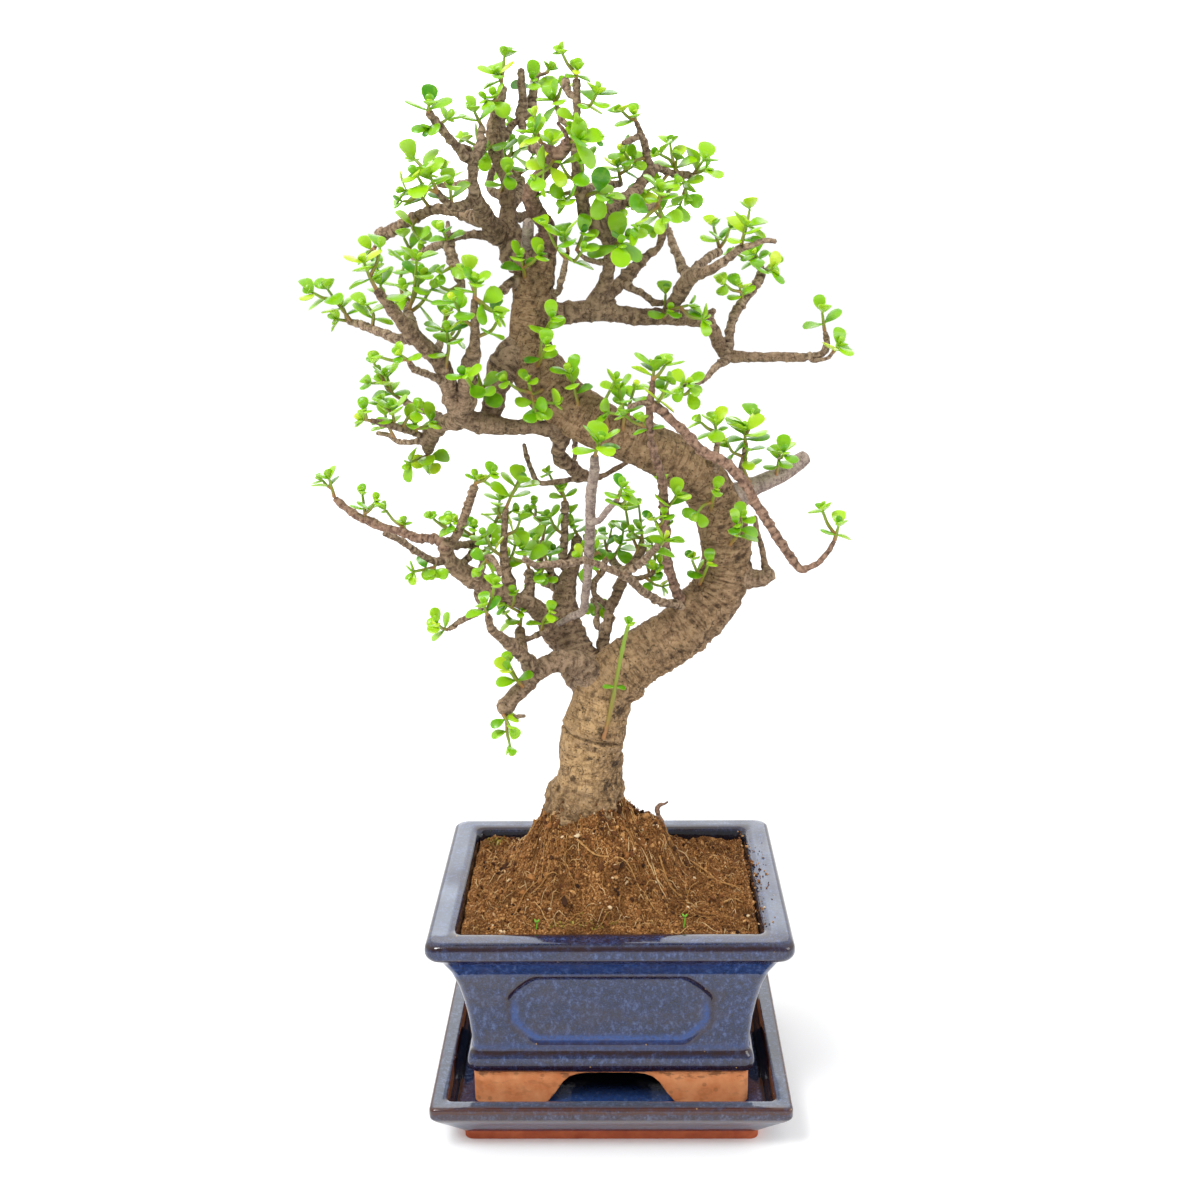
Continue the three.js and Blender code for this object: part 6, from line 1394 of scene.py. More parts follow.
@dataclass(frozen=True)
class Bark:
    """Old bark of a succulent tree: dull dry skin with rings round the stem, flaky patches and dark
    pits, with a painted highlight where it stands out and painted shade in its crevices.

    The shade attribute holds how far the skin stands out, for the painted highlight and shade, how
    far it faces right and down, where more shade is painted, and the share along the stem.
    """

    kind: BarkKind
    pale: str
    middle: str
    dark: str
    pits: float = 0.5
    depth: float = 0.35
    rings: float = 0.5
    foot: tuple[str, str] | None = None
    # How dark the painted shade in the crevices is.
    crease_shade: float = 0.6
    cracks: float = 0.75
    scars: tuple[tuple[float, float, float], ...] = ()

    def build(self) -> bpy.types.Material:
        """The bark's material: 2.4 mm mottling, 4 mm flakes, 0.9 mm rings, cracks 3.4 mm and pits
        2 mm apart; on the trunk a pale foot, rotten below, and old scars.

        Returns:
            The material.
        """
        material, tree = start(self.kind.value)
        stand, side, _, _ = shades(tree)
        tone = ramp(tree, grain(tree, 2.4, 6, (1, 1, 0.7), 0.74),
                    [(0.33, self.dark), (0.45, self.middle), (0.63, self.pale)])
        if self.foot is not None:
            where = add(tree, "ShaderNodeTexCoord").outputs["Object"]
            height = add(tree, "ShaderNodeSeparateXYZ", {"Vector": where}).outputs["Z"]
            low = level(tree, total(tree, height, product(tree, grain(tree, 9.0, 3), 0.03)),
                        0.198, 0.24, 1.0, 0.0)
            pale_foot = ramp(tree, grain(tree, 1.9, 5, (1, 1, 1.2), 0.7),
                             [(0.3, self.dark), (0.4, self.foot[1]), (0.56, self.foot[0])])
            tone = mixed(tree, low, tone, pale_foot)
        flakes = level(tree, grain(tree, 4.2, 4, (1.3, 1.3, 0.8), 0.62), 0.53, 0.57)
        tone = mixed(tree, product(tree, flakes, 0.22), tone, self.dark)
        patches = level(tree, grain(tree, 3.1, 5, (1.2, 1.2, 0.9), 0.7), 0.54, 0.6, 0.0, 0.4)
        tone = mixed(tree, patches, tone, self.pale)
        wide = level(tree, grain(tree, 16, 2), 0.42, 0.68, 0.0, 0.15)
        tone = mixed(tree, wide, tone, self.middle)
        ring = grain(tree, 0.9, 3, (7, 7, 1), 0.6, wound=True)
        lines = product(tree, level(tree, ring, 0.55, 0.64), self.rings)
        tone = mixed(tree, lines, tone, self.dark)
        tone = mixed(tree, product(tree, level(tree, ring, 0.46, 0.36), 0.7 * self.rings), tone,
                     self.pale)
        # Painted shade on the side that faces right and down, broken up by 1.5 mm noise.
        dim = level(tree, grain(tree, 1.5, 5, rough=0.75), 0.42, 0.58, 0.1, 0.7)
        tone = mixed(tree, product(tree, side, dim), tone, self.dark)
        # Painted shade in the crevices and a painted highlight where the skin stands out.
        tone = mixed(tree, level(tree, stand, 0.08, 0.42, self.crease_shade, 0.0), tone, "#2B1D14")
        tone = mixed(tree, level(tree, stand, 0.55, 0.9, 0.0, 0.55), tone, self.pale)
        edges = flecks(tree, 3.4, "DISTANCE_TO_EDGE", (0.75, 0.75, 1.7))
        cracks = product(tree, level(tree, edges, 0.01, 0.06, 1.0, 0.0),
                         level(tree, grain(tree, 6.0, 4), 0.47, 0.58, 0.0, self.cracks))
        cracks = product(tree, cracks, level(tree, grain(tree, 1.4, 4), 0.44, 0.54))
        tone = mixed(tree, cracks, tone, "#2E2015")
        if self.foot is not None:
            base = level(tree, total(tree, height, product(tree, grain(tree, 5.0, 4), 0.05)),
                         0.158, 0.178, 1.0, 0.0)
            rotten = ramp(tree, grain(tree, 1.6, 5, rough=0.75),
                          [(0.36, "#2A1C12"), (0.5, "#6A4E30"), (0.62, "#A08560")])
            tone = mixed(tree, product(tree, base, 0.85), tone, rotten)
        if self.scars:
            front = add(tree, "ShaderNodeVectorMath", {0: where, 1: (1000.0, 150.0, 1000.0)},
                        operation="MULTIPLY").outputs[0]
            ragged = product(tree, grain(tree, 1.6, 4, rough=0.7), 3.0)
        for x, z, size in self.scars:
            away = add(tree, "ShaderNodeVectorMath", {0: front, 1: (x, -2.0, z)},
                       operation="DISTANCE").outputs["Value"]
            away = total(tree, product(tree, away, 1 / size), ragged)
            tone = mixed(tree, level(tree, away, 1.9, 2.5, 0.8, 0.0), tone, "#2E2016")
        holes = level(tree, flecks(tree, 2.0, stretch=(1, 1, 0.8)), 0.16, 0.28, 1.0, 0.0)
        holes = product(tree, holes, level(tree, grain(tree, 5.0, 3), 0.46, 0.54, 0.0, self.pits))
        tone = mixed(tree, holes, tone, "#21160E")
        rough = total(tree, grain(tree, 0.8, 5, rough=0.75), product(tree, flakes, 0.5))
        rough = total(tree, rough, product(tree, total(tree, lines, cracks), -0.8))
        surface(tree, {"Base Color": tone, "Roughness": 0.8, "Specular IOR Level": 0.28,
                       "Normal": relief(tree, rough, self.depth, 1.0)})
        return material


@dataclass(frozen=True)
class GreenShoot:
    """New growth: smooth green skin that is olive-brown at its older foot.

    The shade attribute's third value is the share along the shoot.
    """

    young: str = "#7C9A22"
    middle: str = "#7E7E24"
    old: str = "#96683A"

    def build(self) -> bpy.types.Material:
        """The shoot's material, with streaks 3 mm wide and 6 mm long.

        Returns:
            The material.
        """
        material, tree = start("green_shoot")
        along = total(tree, shades(tree)[2], product(tree, grain(tree, 3.0, 3, (1, 1, 2)), 0.3))
        tone = ramp(tree, along, [(0.22, self.old), (0.5, self.middle), (1.0, self.young)])
        surface(tree, {"Base Color": tone, "Roughness": 0.45})
        return material


@dataclass(frozen=True)
class LeafSkin:
    """A succulent leaf: bright yellow-green, waxy, lit through, with a pale rim.

    The shade attribute holds a draw for each leaf, the nearness to the rim, the share along and
    the share towards the upper face.
    """

    deep: str = "#408801"
    green: str = "#6EAB02"
    bright: str = "#97C80E"
    young: str = "#C4D82C"

    def build(self) -> bpy.types.Material:
        """The leaf's material: one colour a leaf, deeper to the root, 2.2 mm mottling.

        Returns:
            The material.
        """
        material, tree = start("jade_leaf")
        split = shades(tree)
        tone = ramp(tree, split[0], [(0.0, self.deep), (0.3, self.green), (0.75, self.bright),
                                     (1.0, self.young)])
        root = level(tree, split[2], 0.0, 0.45, 0.45, 0.0)
        tone = mixed(tree, root, tone, self.deep)
        fleck = level(tree, grain(tree, 2.2, 3), 0.4, 0.7, 0.0, 0.25)
        tone = mixed(tree, fleck, tone, self.bright)
        below = level(tree, split[3], 0.2, 0.5, 0.35, 0.0)
        tone = mixed(tree, below, tone, "#A4C63A")
        rim = level(tree, split[1], 0.86, 1.0, 0.0, 0.5)
        tone = mixed(tree, rim, tone, "#BECA48")
        surface(tree, {"Base Color": tone, "Roughness": 0.3, "IOR": 1.45,
                       "Subsurface Weight": 0.25, "Subsurface Radius": (0.6, 1.0, 0.2),
                       "Subsurface Scale": 0.0012, "Coat Weight": 0.1, "Coat Roughness": 0.25,
                       "Normal": relief(tree, grain(tree, 1.6, 2), 0.05, 0.5)})
        return material


@dataclass(frozen=True)
class Glaze:
    """Blue ceramic glaze, poured and fired: glossy and glassy, deep where it pooled, and broken
    to brown where it ran thin over the edges.

    The shade attribute holds how thin and how thick the glaze lies, how much painted shade it
    takes, and how clear it is of the pale mark on flat tops, partly a milky haze that settles there
    and partly a painted reflection of the bright sky.
    """

    name: str
    deep: str
    blue: str
    light: str
    thin: str
    pooled: str
    cloud: str = "#45424A"

    def build(self) -> bpy.types.Material:
        """The glaze's material: 2.4 mm mottling, 20 mm clouds, 0.8 mm pale and 1.2 mm dark specks,
        and a faint ripple 7 mm wide.

        Returns:
            The material.
        """
        material, tree = start(self.name)
        thin, pooled, painted_shade, clear = shades(tree)
        tone = ramp(tree, grain(tree, 2.4, 6, (1, 1, 1.6), 0.76),
                    [(0.34, self.deep), (0.52, self.blue), (0.72, self.light)])
        clouds = level(tree, grain(tree, 20.0, 4, (1, 1, 0.7), 0.6), 0.48, 0.62, 0.0, 0.4)
        tone = mixed(tree, clouds, tone, self.cloud)
        speckle = level(tree, grain(tree, 0.8, 4, (1, 1, 0.8), 0.75), 0.52, 0.66, 0.0, 0.42)
        tone = mixed(tree, speckle, tone, self.light)
        dots = level(tree, grain(tree, 1.2, 4, (1, 1, 0.8), 0.7), 0.46, 0.34, 0.0, 0.75)
        tone = mixed(tree, dots, tone, self.deep)
        pool = product(tree, pooled, level(tree, grain(tree, 1.2, 4), 0.36, 0.58, 0.4, 1.0))
        tone = mixed(tree, pool, tone, self.pooled)
        worn = product(tree, thin, level(tree, grain(tree, 1.6, 5, (2.5, 2.5, 1), 0.65), 0.36, 0.52,
                                         0.6, 1.0))
        tone = mixed(tree, worn, tone, self.thin)
        # A pale mark on flat tops: partly a milky haze of the glaze, partly a painted reflection of
        # the bright sky.
        tone = mixed(tree, level(tree, clear, 0.0, 1.0, 0.6, 0.0), tone, "#A9B4C4")
        # Painted shade, near black, on the pot's inside and on the tray's inner walls and floor
        # under the pot.
        tone = mixed(tree, painted_shade, tone, "#110E0D")
        bright = level(tree, flecks(tree, 5.5), 0.05, 0.075, 0.8, 0.0)
        tone = mixed(tree, product(tree, bright, level(tree, thin, 0.3, 0.6)), tone, "#B08A5A")
        surface(tree, {"Base Color": tone, "Roughness": 0.1, "IOR": 1.5, "Coat Weight": 0.2,
                       "Coat Roughness": 0.03,
                       "Normal": relief(tree, grain(tree, 7.0, 2), 0.25, 0.18)})
        return material


@dataclass(frozen=True)
class Terracotta:
    """Unglazed fired clay: dull orange-brown, a little sandy, darkened where water and glaze
    reached it."""

    name: str
    pale: str = "#EFA370"
    clay: str = "#D98250"
    stain: str = "#4A3324"
    stained: float = 0.6

    def build(self) -> bpy.types.Material:
        """The clay's material: 6 mm clouds, stains 9 mm wide, spots 6 mm apart and 0.7 mm grit.

        Returns:
            The material.
        """
        material, tree = start(self.name)
        tone = ramp(tree, grain(tree, 6.0, 4), [(0.3, self.clay), (0.7, self.pale)])
        edge = level(tree, shades(tree)[0], 0.0, 1.0, 0.25, 1.0)
        blot = level(tree, grain(tree, 9.0, 5, (1, 1, 0.5), 0.65), 0.52, 0.6, 0.0, self.stained)
        tone = mixed(tree, product(tree, blot, edge), tone, self.stain)
        spots = product(tree, level(tree, flecks(tree, 6.0), 0.12, 0.22, 1.0, 0.0), 0.5)
        tone = mixed(tree, product(tree, spots, self.stained), tone, self.stain)
        surface(tree, {"Base Color": tone, "Roughness": 0.88, "Specular IOR Level": 0.2,
                       "Normal": relief(tree, grain(tree, 0.7, 4), 0.12, 0.7)})
        return material


@dataclass(frozen=True)
class Peat:
    """Loose soil of peat and coconut fibre: dull, crumbly, warm brown with pale bits."""

    name: str
    dark: str = "#40250F"
    brown: str = "#905E32"
    pale: str = "#D4A269"

    def build(self) -> bpy.types.Material:
        """The soil's material: 0.9 mm crumbs, painted shade in gaps 1.3 mm apart, in clouds of 12
        mm.

        Returns:
            The material.
        """
        material, tree = start(self.name)
        tone = ramp(tree, grain(tree, 0.9, 5, rough=0.75), [(0.36, self.dark), (0.5, self.brown),
                                                            (0.64, self.pale)])
        cloud = level(tree, grain(tree, 12.0, 4), 0.45, 0.62, 0.0, 0.55)
        tone = mixed(tree, cloud, tone, self.dark)
        # Painted shade, near black, in the gaps between crumbs.
        gaps = level(tree, flecks(tree, 1.3, "DISTANCE_TO_EDGE"), 0.0, 0.12, 0.75, 0.0)
        tone = mixed(tree, gaps, tone, "#1E110A")
        surface(tree, {"Base Color": tone, "Roughness": 0.95, "Specular IOR Level": 0.1,
                       "Normal": relief(tree, grain(tree, 0.8, 5, rough=0.7), 0.6, 1.0)})
        return material


@dataclass(frozen=True)
class Litter:
    """Small dry bits on the soil. The shade attribute's first value picks each one's colour."""

    name: str
    stops: tuple[tuple[float, str], ...]
    roughness: float = 0.9

    def build(self) -> bpy.types.Material:
        """The bits' material, one colour each, with 1.5 mm mottling.

        Returns:
            The material.
        """
        material, tree = start(self.name)
        tone = ramp(tree, shades(tree)[0], self.stops)
        dim = level(tree, grain(tree, 1.5, 3), 0.4, 0.7, 0.0, 0.4)
        tone = mixed(tree, dim, tone, self.stops[0][1])
        surface(tree, {"Base Color": tone, "Roughness": self.roughness, "Specular IOR Level": 0.2})
        return material


@dataclass(frozen=True)
class Plastic:
    """Moulded black polypropylene mesh: matt, with a faint sheen on its ribs."""

    def build(self) -> bpy.types.Material:
        """The mesh's material, with the fine grain of its mould.

        Returns:
            The material.
        """
        material, tree = start("moulded_mesh")
        surface(tree, {"Base Color": linear("#1C1C1C"), "Roughness": 0.55,
                       "Normal": relief(tree, grain(tree, 0.5, 2), 0.05, 0.5)})
        return material


# ---- the tree ----

RED_STEMS = ("brown_limb", "long_left", "long_right", "dark_rise", "crook_twig", "tip_twig")
GREY_STEMS = ("front_grey", "leader_stub", "front_side", "stub_upper")


def bark_kind(name: str, radius: float) -> BarkKind:
    """The bark of a stem.

    Args:
        name: The stem's name.
        radius: Its widest radius in mm.

    Returns:
        The kind of bark.
    """
    if name == "trunk":
        return BarkKind.TRUNK
    if name in RED_STEMS:
        return BarkKind.RED
    if name in GREY_STEMS:
        return BarkKind.GREY
    return BarkKind.LIMB if radius > 2.6 else BarkKind.TWIG


@dataclass
class BarkRelief:
    """The swells, wrinkles, rings and knobs of a stem's bark, as shares of its radius."""

    kind: BarkKind
    seed: int
    host_radius: float = 0.0

    def __call__(self, tube: Tube, turn: Array, run: Array) -> Array:
        """The share of the radius at each ring and turn.

        Args:
            tube: The stem's middle line.
            turn: The turns round it.
            run: The distances along it in mm.

        Returns:
            An array with a row for each ring.
        """
        rings, around = len(run), len(turn)
        radius = np.repeat(tube.radii, around)
        spin = np.tile(turn, rings)
        far = np.repeat(run, around)
        normal = tube.outward(turn).reshape(-1, 3)
        place = np.repeat(tube.places, around, axis=0) + radius[:, None] * normal
        wound = np.column_stack([6 * np.cos(spin), 6 * np.sin(spin), far])
        share = np.ones(len(spin))
        if self.kind is BarkKind.TRUNK:
            share += self.trunk(place, wound, spin, radius, tube, normal)
        else:
            share += self.twig(place, wound, far, radius)
        if self.host_radius > 0:
            collar = np.exp(-np.maximum(far - self.host_radius, 0) / (0.8 * radius + 0.3))
            share += np.minimum(0.38, 0.9 / radius) * collar
        return share.reshape(rings, around)

    def trunk(self, place: Array, wound: Array, spin: Array, radius: Array, tube: Tube,
              normal: Array) -> Array:
        """Swells round the trunk, wrinkles across its bends, flaky patches and a crease ring.

        The swells are sin(3 turn + 0.13 z) + 0.6 sin(5 turn - 0.19 z). A wrinkle is a crest of
        noise that is 2.2 mm along and 14 mm around, and grows where the trunk bends. The crease is
        a bell 0.9 mm wide with a lip above it. Flakes, lumps and grit are noise of 5, 9, 3.2 and
        1.4 mm, stronger on the side that faces right and down; knee and foot are noise of 1.1 to
        4.5 mm over their own heights.

        Args:
            place: Where each point is.
            wound: The same place wound round the stem.
            spin: Its turn.
            radius: The stem's radius there.
            tube: The stem's middle line.
            normal: Which way each point faces.

        Returns:
            What is added to the share of the radius.
        """
        around = len(spin) // len(tube.run)
        z = np.repeat(tube.places[:, 2], around)
        turned = spin + math.pi / 2
        swell = 0.045 * (np.sin(3 * turned + 0.13 * z) + 0.6 * np.sin(5 * turned - 0.19 * z))
        bend = np.linalg.norm(np.gradient(tube.along, tube.run, axis=0), axis=1)
        bent = np.repeat(smooth_step(0.003, 0.013, blurred(bend[:, None], 15, 0)[:, 0]), around)
        bent = bent * smooth_step(196, 206, z)
        crest = 1 - np.abs(noise(wound, (7.0, 7.0, 2.2), self.seed)) * 2.4
        fine = 1 - np.abs(noise(wound, (3.0, 3.0, 1.2), self.seed + 5)) * 2.2
        wrinkle = (0.12 + 0.88 * bent * smooth_step(330, 230, z)) * (0.32 * crest + 0.34 * fine)
        rough_side = smooth_step(0.1, 0.8, normal @ np.array([0.8, -0.1, -0.6]))
        edges = smooth_step(0.02, 0.12, noise(place, (5.0, 5.0, 3.6), self.seed + 1))
        flake = edges * (0.1 + 0.45 * rough_side + 0.15 * smooth_step(230, 300, z))
        lump = 0.6 * noise(place, 9.0, self.seed + 2) + 0.3 * noise(place, 3.2, self.seed + 3)
        grit = (0.16 + 0.35 * rough_side) * noise(place, 1.4, self.seed + 4)
        crease_z = 172.6 + 0.03 * (place[:, 0] + 8) + 1.2 * noise(place, 8.0, self.seed + 6)
        crease = (0.4 * np.exp(-((z - crease_z - 2.2) / 1.5) ** 2)
                  - 1.2 * np.exp(-((z - crease_z) / 0.9) ** 2)) * smooth_step(9, 1, place[:, 0])
        knee = noise(place, 4.5, self.seed + 8) * smooth_step(206, 198, z)
        knee = knee * smooth_step(186, 194, z)
        foot = smooth_step(158, 138, z) * (1.5 * noise(place, (3.6, 3.6, 8.0), self.seed + 7)
                                           + 1.1 * noise(place, 2.1, self.seed + 9)
                                           + 0.5 * noise(place, 1.1, self.seed + 10))
        return swell + (wrinkle + flake + lump + grit + crease + knee + foot - 0.35) / radius

    def twig(self, place: Array, wound: Array, far: Array, radius: Array) -> Array:
        """Rings where leaves once sat, about 2.4 radii + 1.6 mm apart, with knobs and rough skin.

        A ring is max(0, sin(2 pi phase))^6; knobs, wrinkles and flakes are noise cut off at a
        level.

        Args:
            place: Where each point is.
            wound: The same place wound round the stem.
            far: Its distance along the stem.
            radius: The stem's radius there.

        Returns:
            What is added to the share of the radius.
        """
        wide = float(np.median(radius))
        gap = 1.6 + 2.4 * min(wide, 3.0)
        phase = far / gap + 0.4 * noise(wound, (30, 30, 2.2 * gap), self.seed) + 0.37 * self.seed
        ring = np.maximum(0, np.sin(2 * math.pi * phase)) ** 6
        rough = 1.0 if self.kind is not BarkKind.GREY else 0.4
        grow = 1.0 if wide < 2.6 else 0.55
        knob = smooth_step(0.3, 0.65, noise(place, 1.6 + 0.4 * wide, self.seed + 1))
        small = noise(place, 1.15, self.seed + 2)
        swell = noise(wound, (14, 14, 9.0), self.seed + 3)
        wrinkle = 1 - np.abs(noise(wound, (5.0, 5.0, 1.3), self.seed + 4)) * 2
        flake = smooth_step(0.02, 0.14, noise(place, (3.0, 3.0, 2.2), self.seed + 5))
        return (rough * grow * (0.16 * ring + 0.3 * knob + 0.1 * small + 0.07 * wrinkle)
                + 0.07 * swell + 0.25 * rough * flake / (1.5 + radius) - 0.08)


@dataclass
class Tree:
    """The grown stems: trunk, limbs and bare twigs, and the leafy branches."""

    stems: dict[str, list[Station]]
    barks: list[bpy.types.Material]
    shoot: bpy.types.Material
    leaf: bpy.types.Material
    trunk_step: float = 0.85
    trunk_around: int = 92
    leaf_breadth: float = 0.375
    leaf_bend: tuple[float, float] = (-0.06, 0.24)
    leaf_cup: tuple[float, float] = (-0.05, 0.4)

    def rooted(self, name: str) -> tuple[Array, Array, float]:
        """A stem's places and radii, and the radius of the stem it grows from, at its root.

        A stem that carries on where another one ends starts a little way down inside it, as wide
        as that one, and needs no collar.

        Args:
            name: The stem's name.

        Returns:
            The places, the radii and the other stem's radius, or 0 for no collar.
        """
        places, radii = in_space(self.stems[name])
        host, first = {stem: (host, drawn[0]) for stem, host, drawn in STEMS}[name]
        if host is None:
            return places, radii, 0.0
        below, wide = in_space(self.stems[host])
        if np.linalg.norm(below[-1] - places[0]) > 0.6 * wide[-1]:
            return places, radii, nearest_on_stem(self.stems[host], *first[:2])[2]
        back = below[-1] + 1.8 * wide[-1] * unit(below[-2] - below[-1])
        radii[0] = max(radii[0], 0.97 * wide[-1])
        return np.concatenate([[back], places]), np.concatenate([[0.9 * wide[-1]], radii]), 0.0

    def stem(self, name: str, number: int) -> Patch:
        """The skin of one woody stem.

        Args:
            name: The stem's name.
            number: Its number in the table, which starts its draws.

        Returns:
            The patch.
        """
        places, radii, host_radius = self.rooted(name)
        widest = float(radii.max())
        kind = bark_kind(name, widest)
        if kind is BarkKind.TRUNK:
            tube = Tube.through(places, radii, self.trunk_step)
            around = self.trunk_around
        else:
            tube = Tube.through(places, radii, min(1.4, max(0.6, 0.26 * widest)))
            around = 30 if widest > 4 else 22 if widest > 2.8 else 14 if widest > 1.3 else 9
        finish = list(BarkKind).index(kind)
        return tube.skin(around, BarkRelief(kind, number * 11, host_radius), finish, 0.55,
                         53.0 * number)

    def wood(self) -> bpy.types.Object:
        """The wood that holds no leaves, in one piece.

        Returns:
            The piece.
        """
        leafy = {own for _, stems, _ in LEAFY for own in stems}
        skin = Skin("grown_wood", self.barks)
        for number, (name, _, _) in enumerate(STEMS):
            if name not in leafy:
                skin.add(self.stem(name, number))
        skin.add(self.curled_root())
        return skin.build()

    @staticmethod
    def curled_root() -> Patch:
        """A root end that sticks out of the heap right of the trunk and curls over.

        Returns:
            The patch.
        """
        places = np.array([[25.0, 1, 118], [24.3, 1, 124], [23.2, 1, 129], [21.8, 1, 132.5],
                           [21.4, 1, 135.2], [22.6, 1, 137], [24.6, 1, 137.4], [26.4, 1, 138.6]])
        radii = np.array([1.9, 1.5, 1.2, 1.0, 0.9, 0.8, 0.6, 0.35])
        return Tube.through(places, radii, 0.5).skin(
            10, BarkRelief(BarkKind.TWIG, 88), list(BarkKind).index(BarkKind.RED))

    def green(self, places: Array, seed: int) -> Patch:
        """A green shoot: a thin tube that narrows to its tip. The tall one stands clear of the
        trunk's face and is thicker.

        Args:
            places: The shoot's places.
            seed: Starts its draws.

        Returns:
            The patch.
        """
        tall = np.linalg.norm(places[-1] - places[0]) > 35
        if tall:
            clear = [places[0] + [-0.9, -2.4, -1.8], places[0] + [0, -2.0, 1.5],
                     places[1] + [0, -0.9, 0]]
            places = np.concatenate([clear, places[2:]])
        thick = SHOOT_RADIUS * np.linspace(1.5 if tall else 1.2, 1.2 if tall else 0.8, len(places))
        run = np.concatenate([[0.0], np.cumsum(np.linalg.norm(np.diff(places, axis=0), axis=1))])
        dense = np.linspace(0, run[-1], max(5, int(run[-1] / 1.2) + 2))
        line = np.column_stack([np.interp(dense, run, places[:, k]) for k in range(3)])
        line[1:-1] = 0.5 * line[1:-1] + 0.25 * (line[:-2] + line[2:])
        tube = Tube.through(line, np.interp(dense, run, thick), 0.9)
        return tube.skin(7, BarkRelief(BarkKind.GREY, seed), len(self.barks),
                         start_run=31.0 * seed)

    def leaves(self, leaves: Sequence[Leaf], seed: int) -> Patch:
        """All leaves of a branch at once.

        On each leaf the half width is shape(u) times 0.375 of its length, and the section at u is
        a lens: across = half width * cos(turn), up = thickness * sin(turn). The blade rises as
        0.08 u, bends down as bend * u^2 and its sides rise as cup * across^2.

        Args:
            leaves: The leaves.
            seed: Starts their draws.

        Returns:
            The patch, with shades: draw, nearness to the rim, share along, share up.
        """
        rng = np.random.default_rng(seed)
        u = np.array([0.0, 0.12, 0.28, 0.48, 0.7, 0.88, 0.975])
        shape = np.array([0.1, 0.2, 0.58, 0.9, 1.0, 0.8, 0.42])
        thick = np.array([0.55, 0.6, 0.8, 0.95, 0.95, 0.7, 0.35])
        turn = np.arange(6) * math.pi / 3
        v = np.cos(turn) * np.where(np.abs(np.cos(turn)) > 0.9, 1.0, 1.15)
        w = np.sin(turn)
        count = len(leaves)
        length = np.array([leaf.length for leaf in leaves])
        bend = rng.uniform(*self.leaf_bend, count)
        cup = rng.uniform(*self.leaf_cup, count)
        broad = length * self.leaf_breadth * rng.uniform(0.88, 1.1, count)
        half = broad[:, None, None] * shape[None, :, None]
        across = half * v
        lift = (cup[:, None, None] * across ** 2 / broad[:, None, None]
                - (bend * length)[:, None, None] * u[None, :, None] ** 2
                + (0.08 * length)[:, None, None] * u[None, :, None])
        up = LEAF_THICKNESS * 0.36 * thick[None, :, None] * w + lift
        ahead = (length[:, None] * u[None, :])[:, :, None] * np.ones(len(turn))
        frames = np.array([[leaf.along, leaf.across, leaf.up] for leaf in leaves])
        roots = np.array([leaf.root for leaf in leaves])
        local = np.stack([ahead, across, up], axis=-1)
        rings = roots[:, None, None] + np.einsum("nkjc,ncd->nkjd", local, frames)
        body = rings.reshape(count, -1, 3)
        tip = rings[:, -1:].mean(2) + (0.03 * length)[:, None, None] * frames[:, :1]
        points = np.concatenate([body, rings[:, :1].mean(2), tip], axis=1)
        size = points.shape[1]
        faces = repeated(ring_faces(len(u), len(turn)), count, size)
        rim = np.concatenate([np.tile(np.abs(np.cos(turn)), len(u)), [0, 1]])
        ride = np.concatenate([np.repeat(u, len(turn)), [0, 1]])
        face = np.concatenate([np.tile(w * 0.55 + 0.5, len(u)), [0.5, 0.5]])
        draw = np.clip(rng.normal(0.5, 0.22, count), 0, 1)
        shades = np.stack([np.repeat(draw, size), np.tile(rim, count), np.tile(ride, count),
                           np.tile(face, count)], axis=1)
        return Patch(points.reshape(-1, 3), faces, len(self.barks) + 1, shades)

    def tip_leaves(self, branch: Branch) -> list[Leaf]:
        """A pair of small young leaves, folded up, at the tip of every shoot.

        Args:
            branch: The branch.

        Returns:
            The leaves.
        """
        young = []
        for order, places in enumerate(branch.shoots):
            axis = unit(places[-1] - places[-2])
            for side in (0, 1):
                seed = TIP_SEED + len(branch.name) * 977 + order * 37 + side
                leaf = leaf_of(places[-1] - 0.4 * axis, axis, 1, side, 1, TIP_LEAF, seed)
                along = unit(leaf.along + 1.1 * axis)
                up = unit(axis - np.dot(axis, along) * along)
                young.append(Leaf(leaf.root, along, np.cross(up, along), up, leaf.length))
        return young

    def branch(self, branch: Branch, number: int) -> bpy.types.Object:
        """A leafy branch: thin stems, green shoots, leaves and young leaves.

        Args:
            branch: The branch.
            number: Its number, which starts its draws.

        Returns:
            The piece.
        """
        name = branch.name.replace("_leaves", "") + "_spray"
        skin = Skin(name, [*self.barks, self.shoot, self.leaf])
        order = {name: i for i, (name, _, _) in enumerate(STEMS)}
        for name in branch.stems:
            skin.add(self.stem(name, order[name]))
        for i, places in enumerate(branch.shoots):
            skin.add(self.green(places, 300 + number * 8 + i))
        skin.add(self.leaves(branch.leaves + self.tip_leaves(branch), 5000 + number))
        return skin.build(math.radians(75))


# ---- pot, tray and soil ----

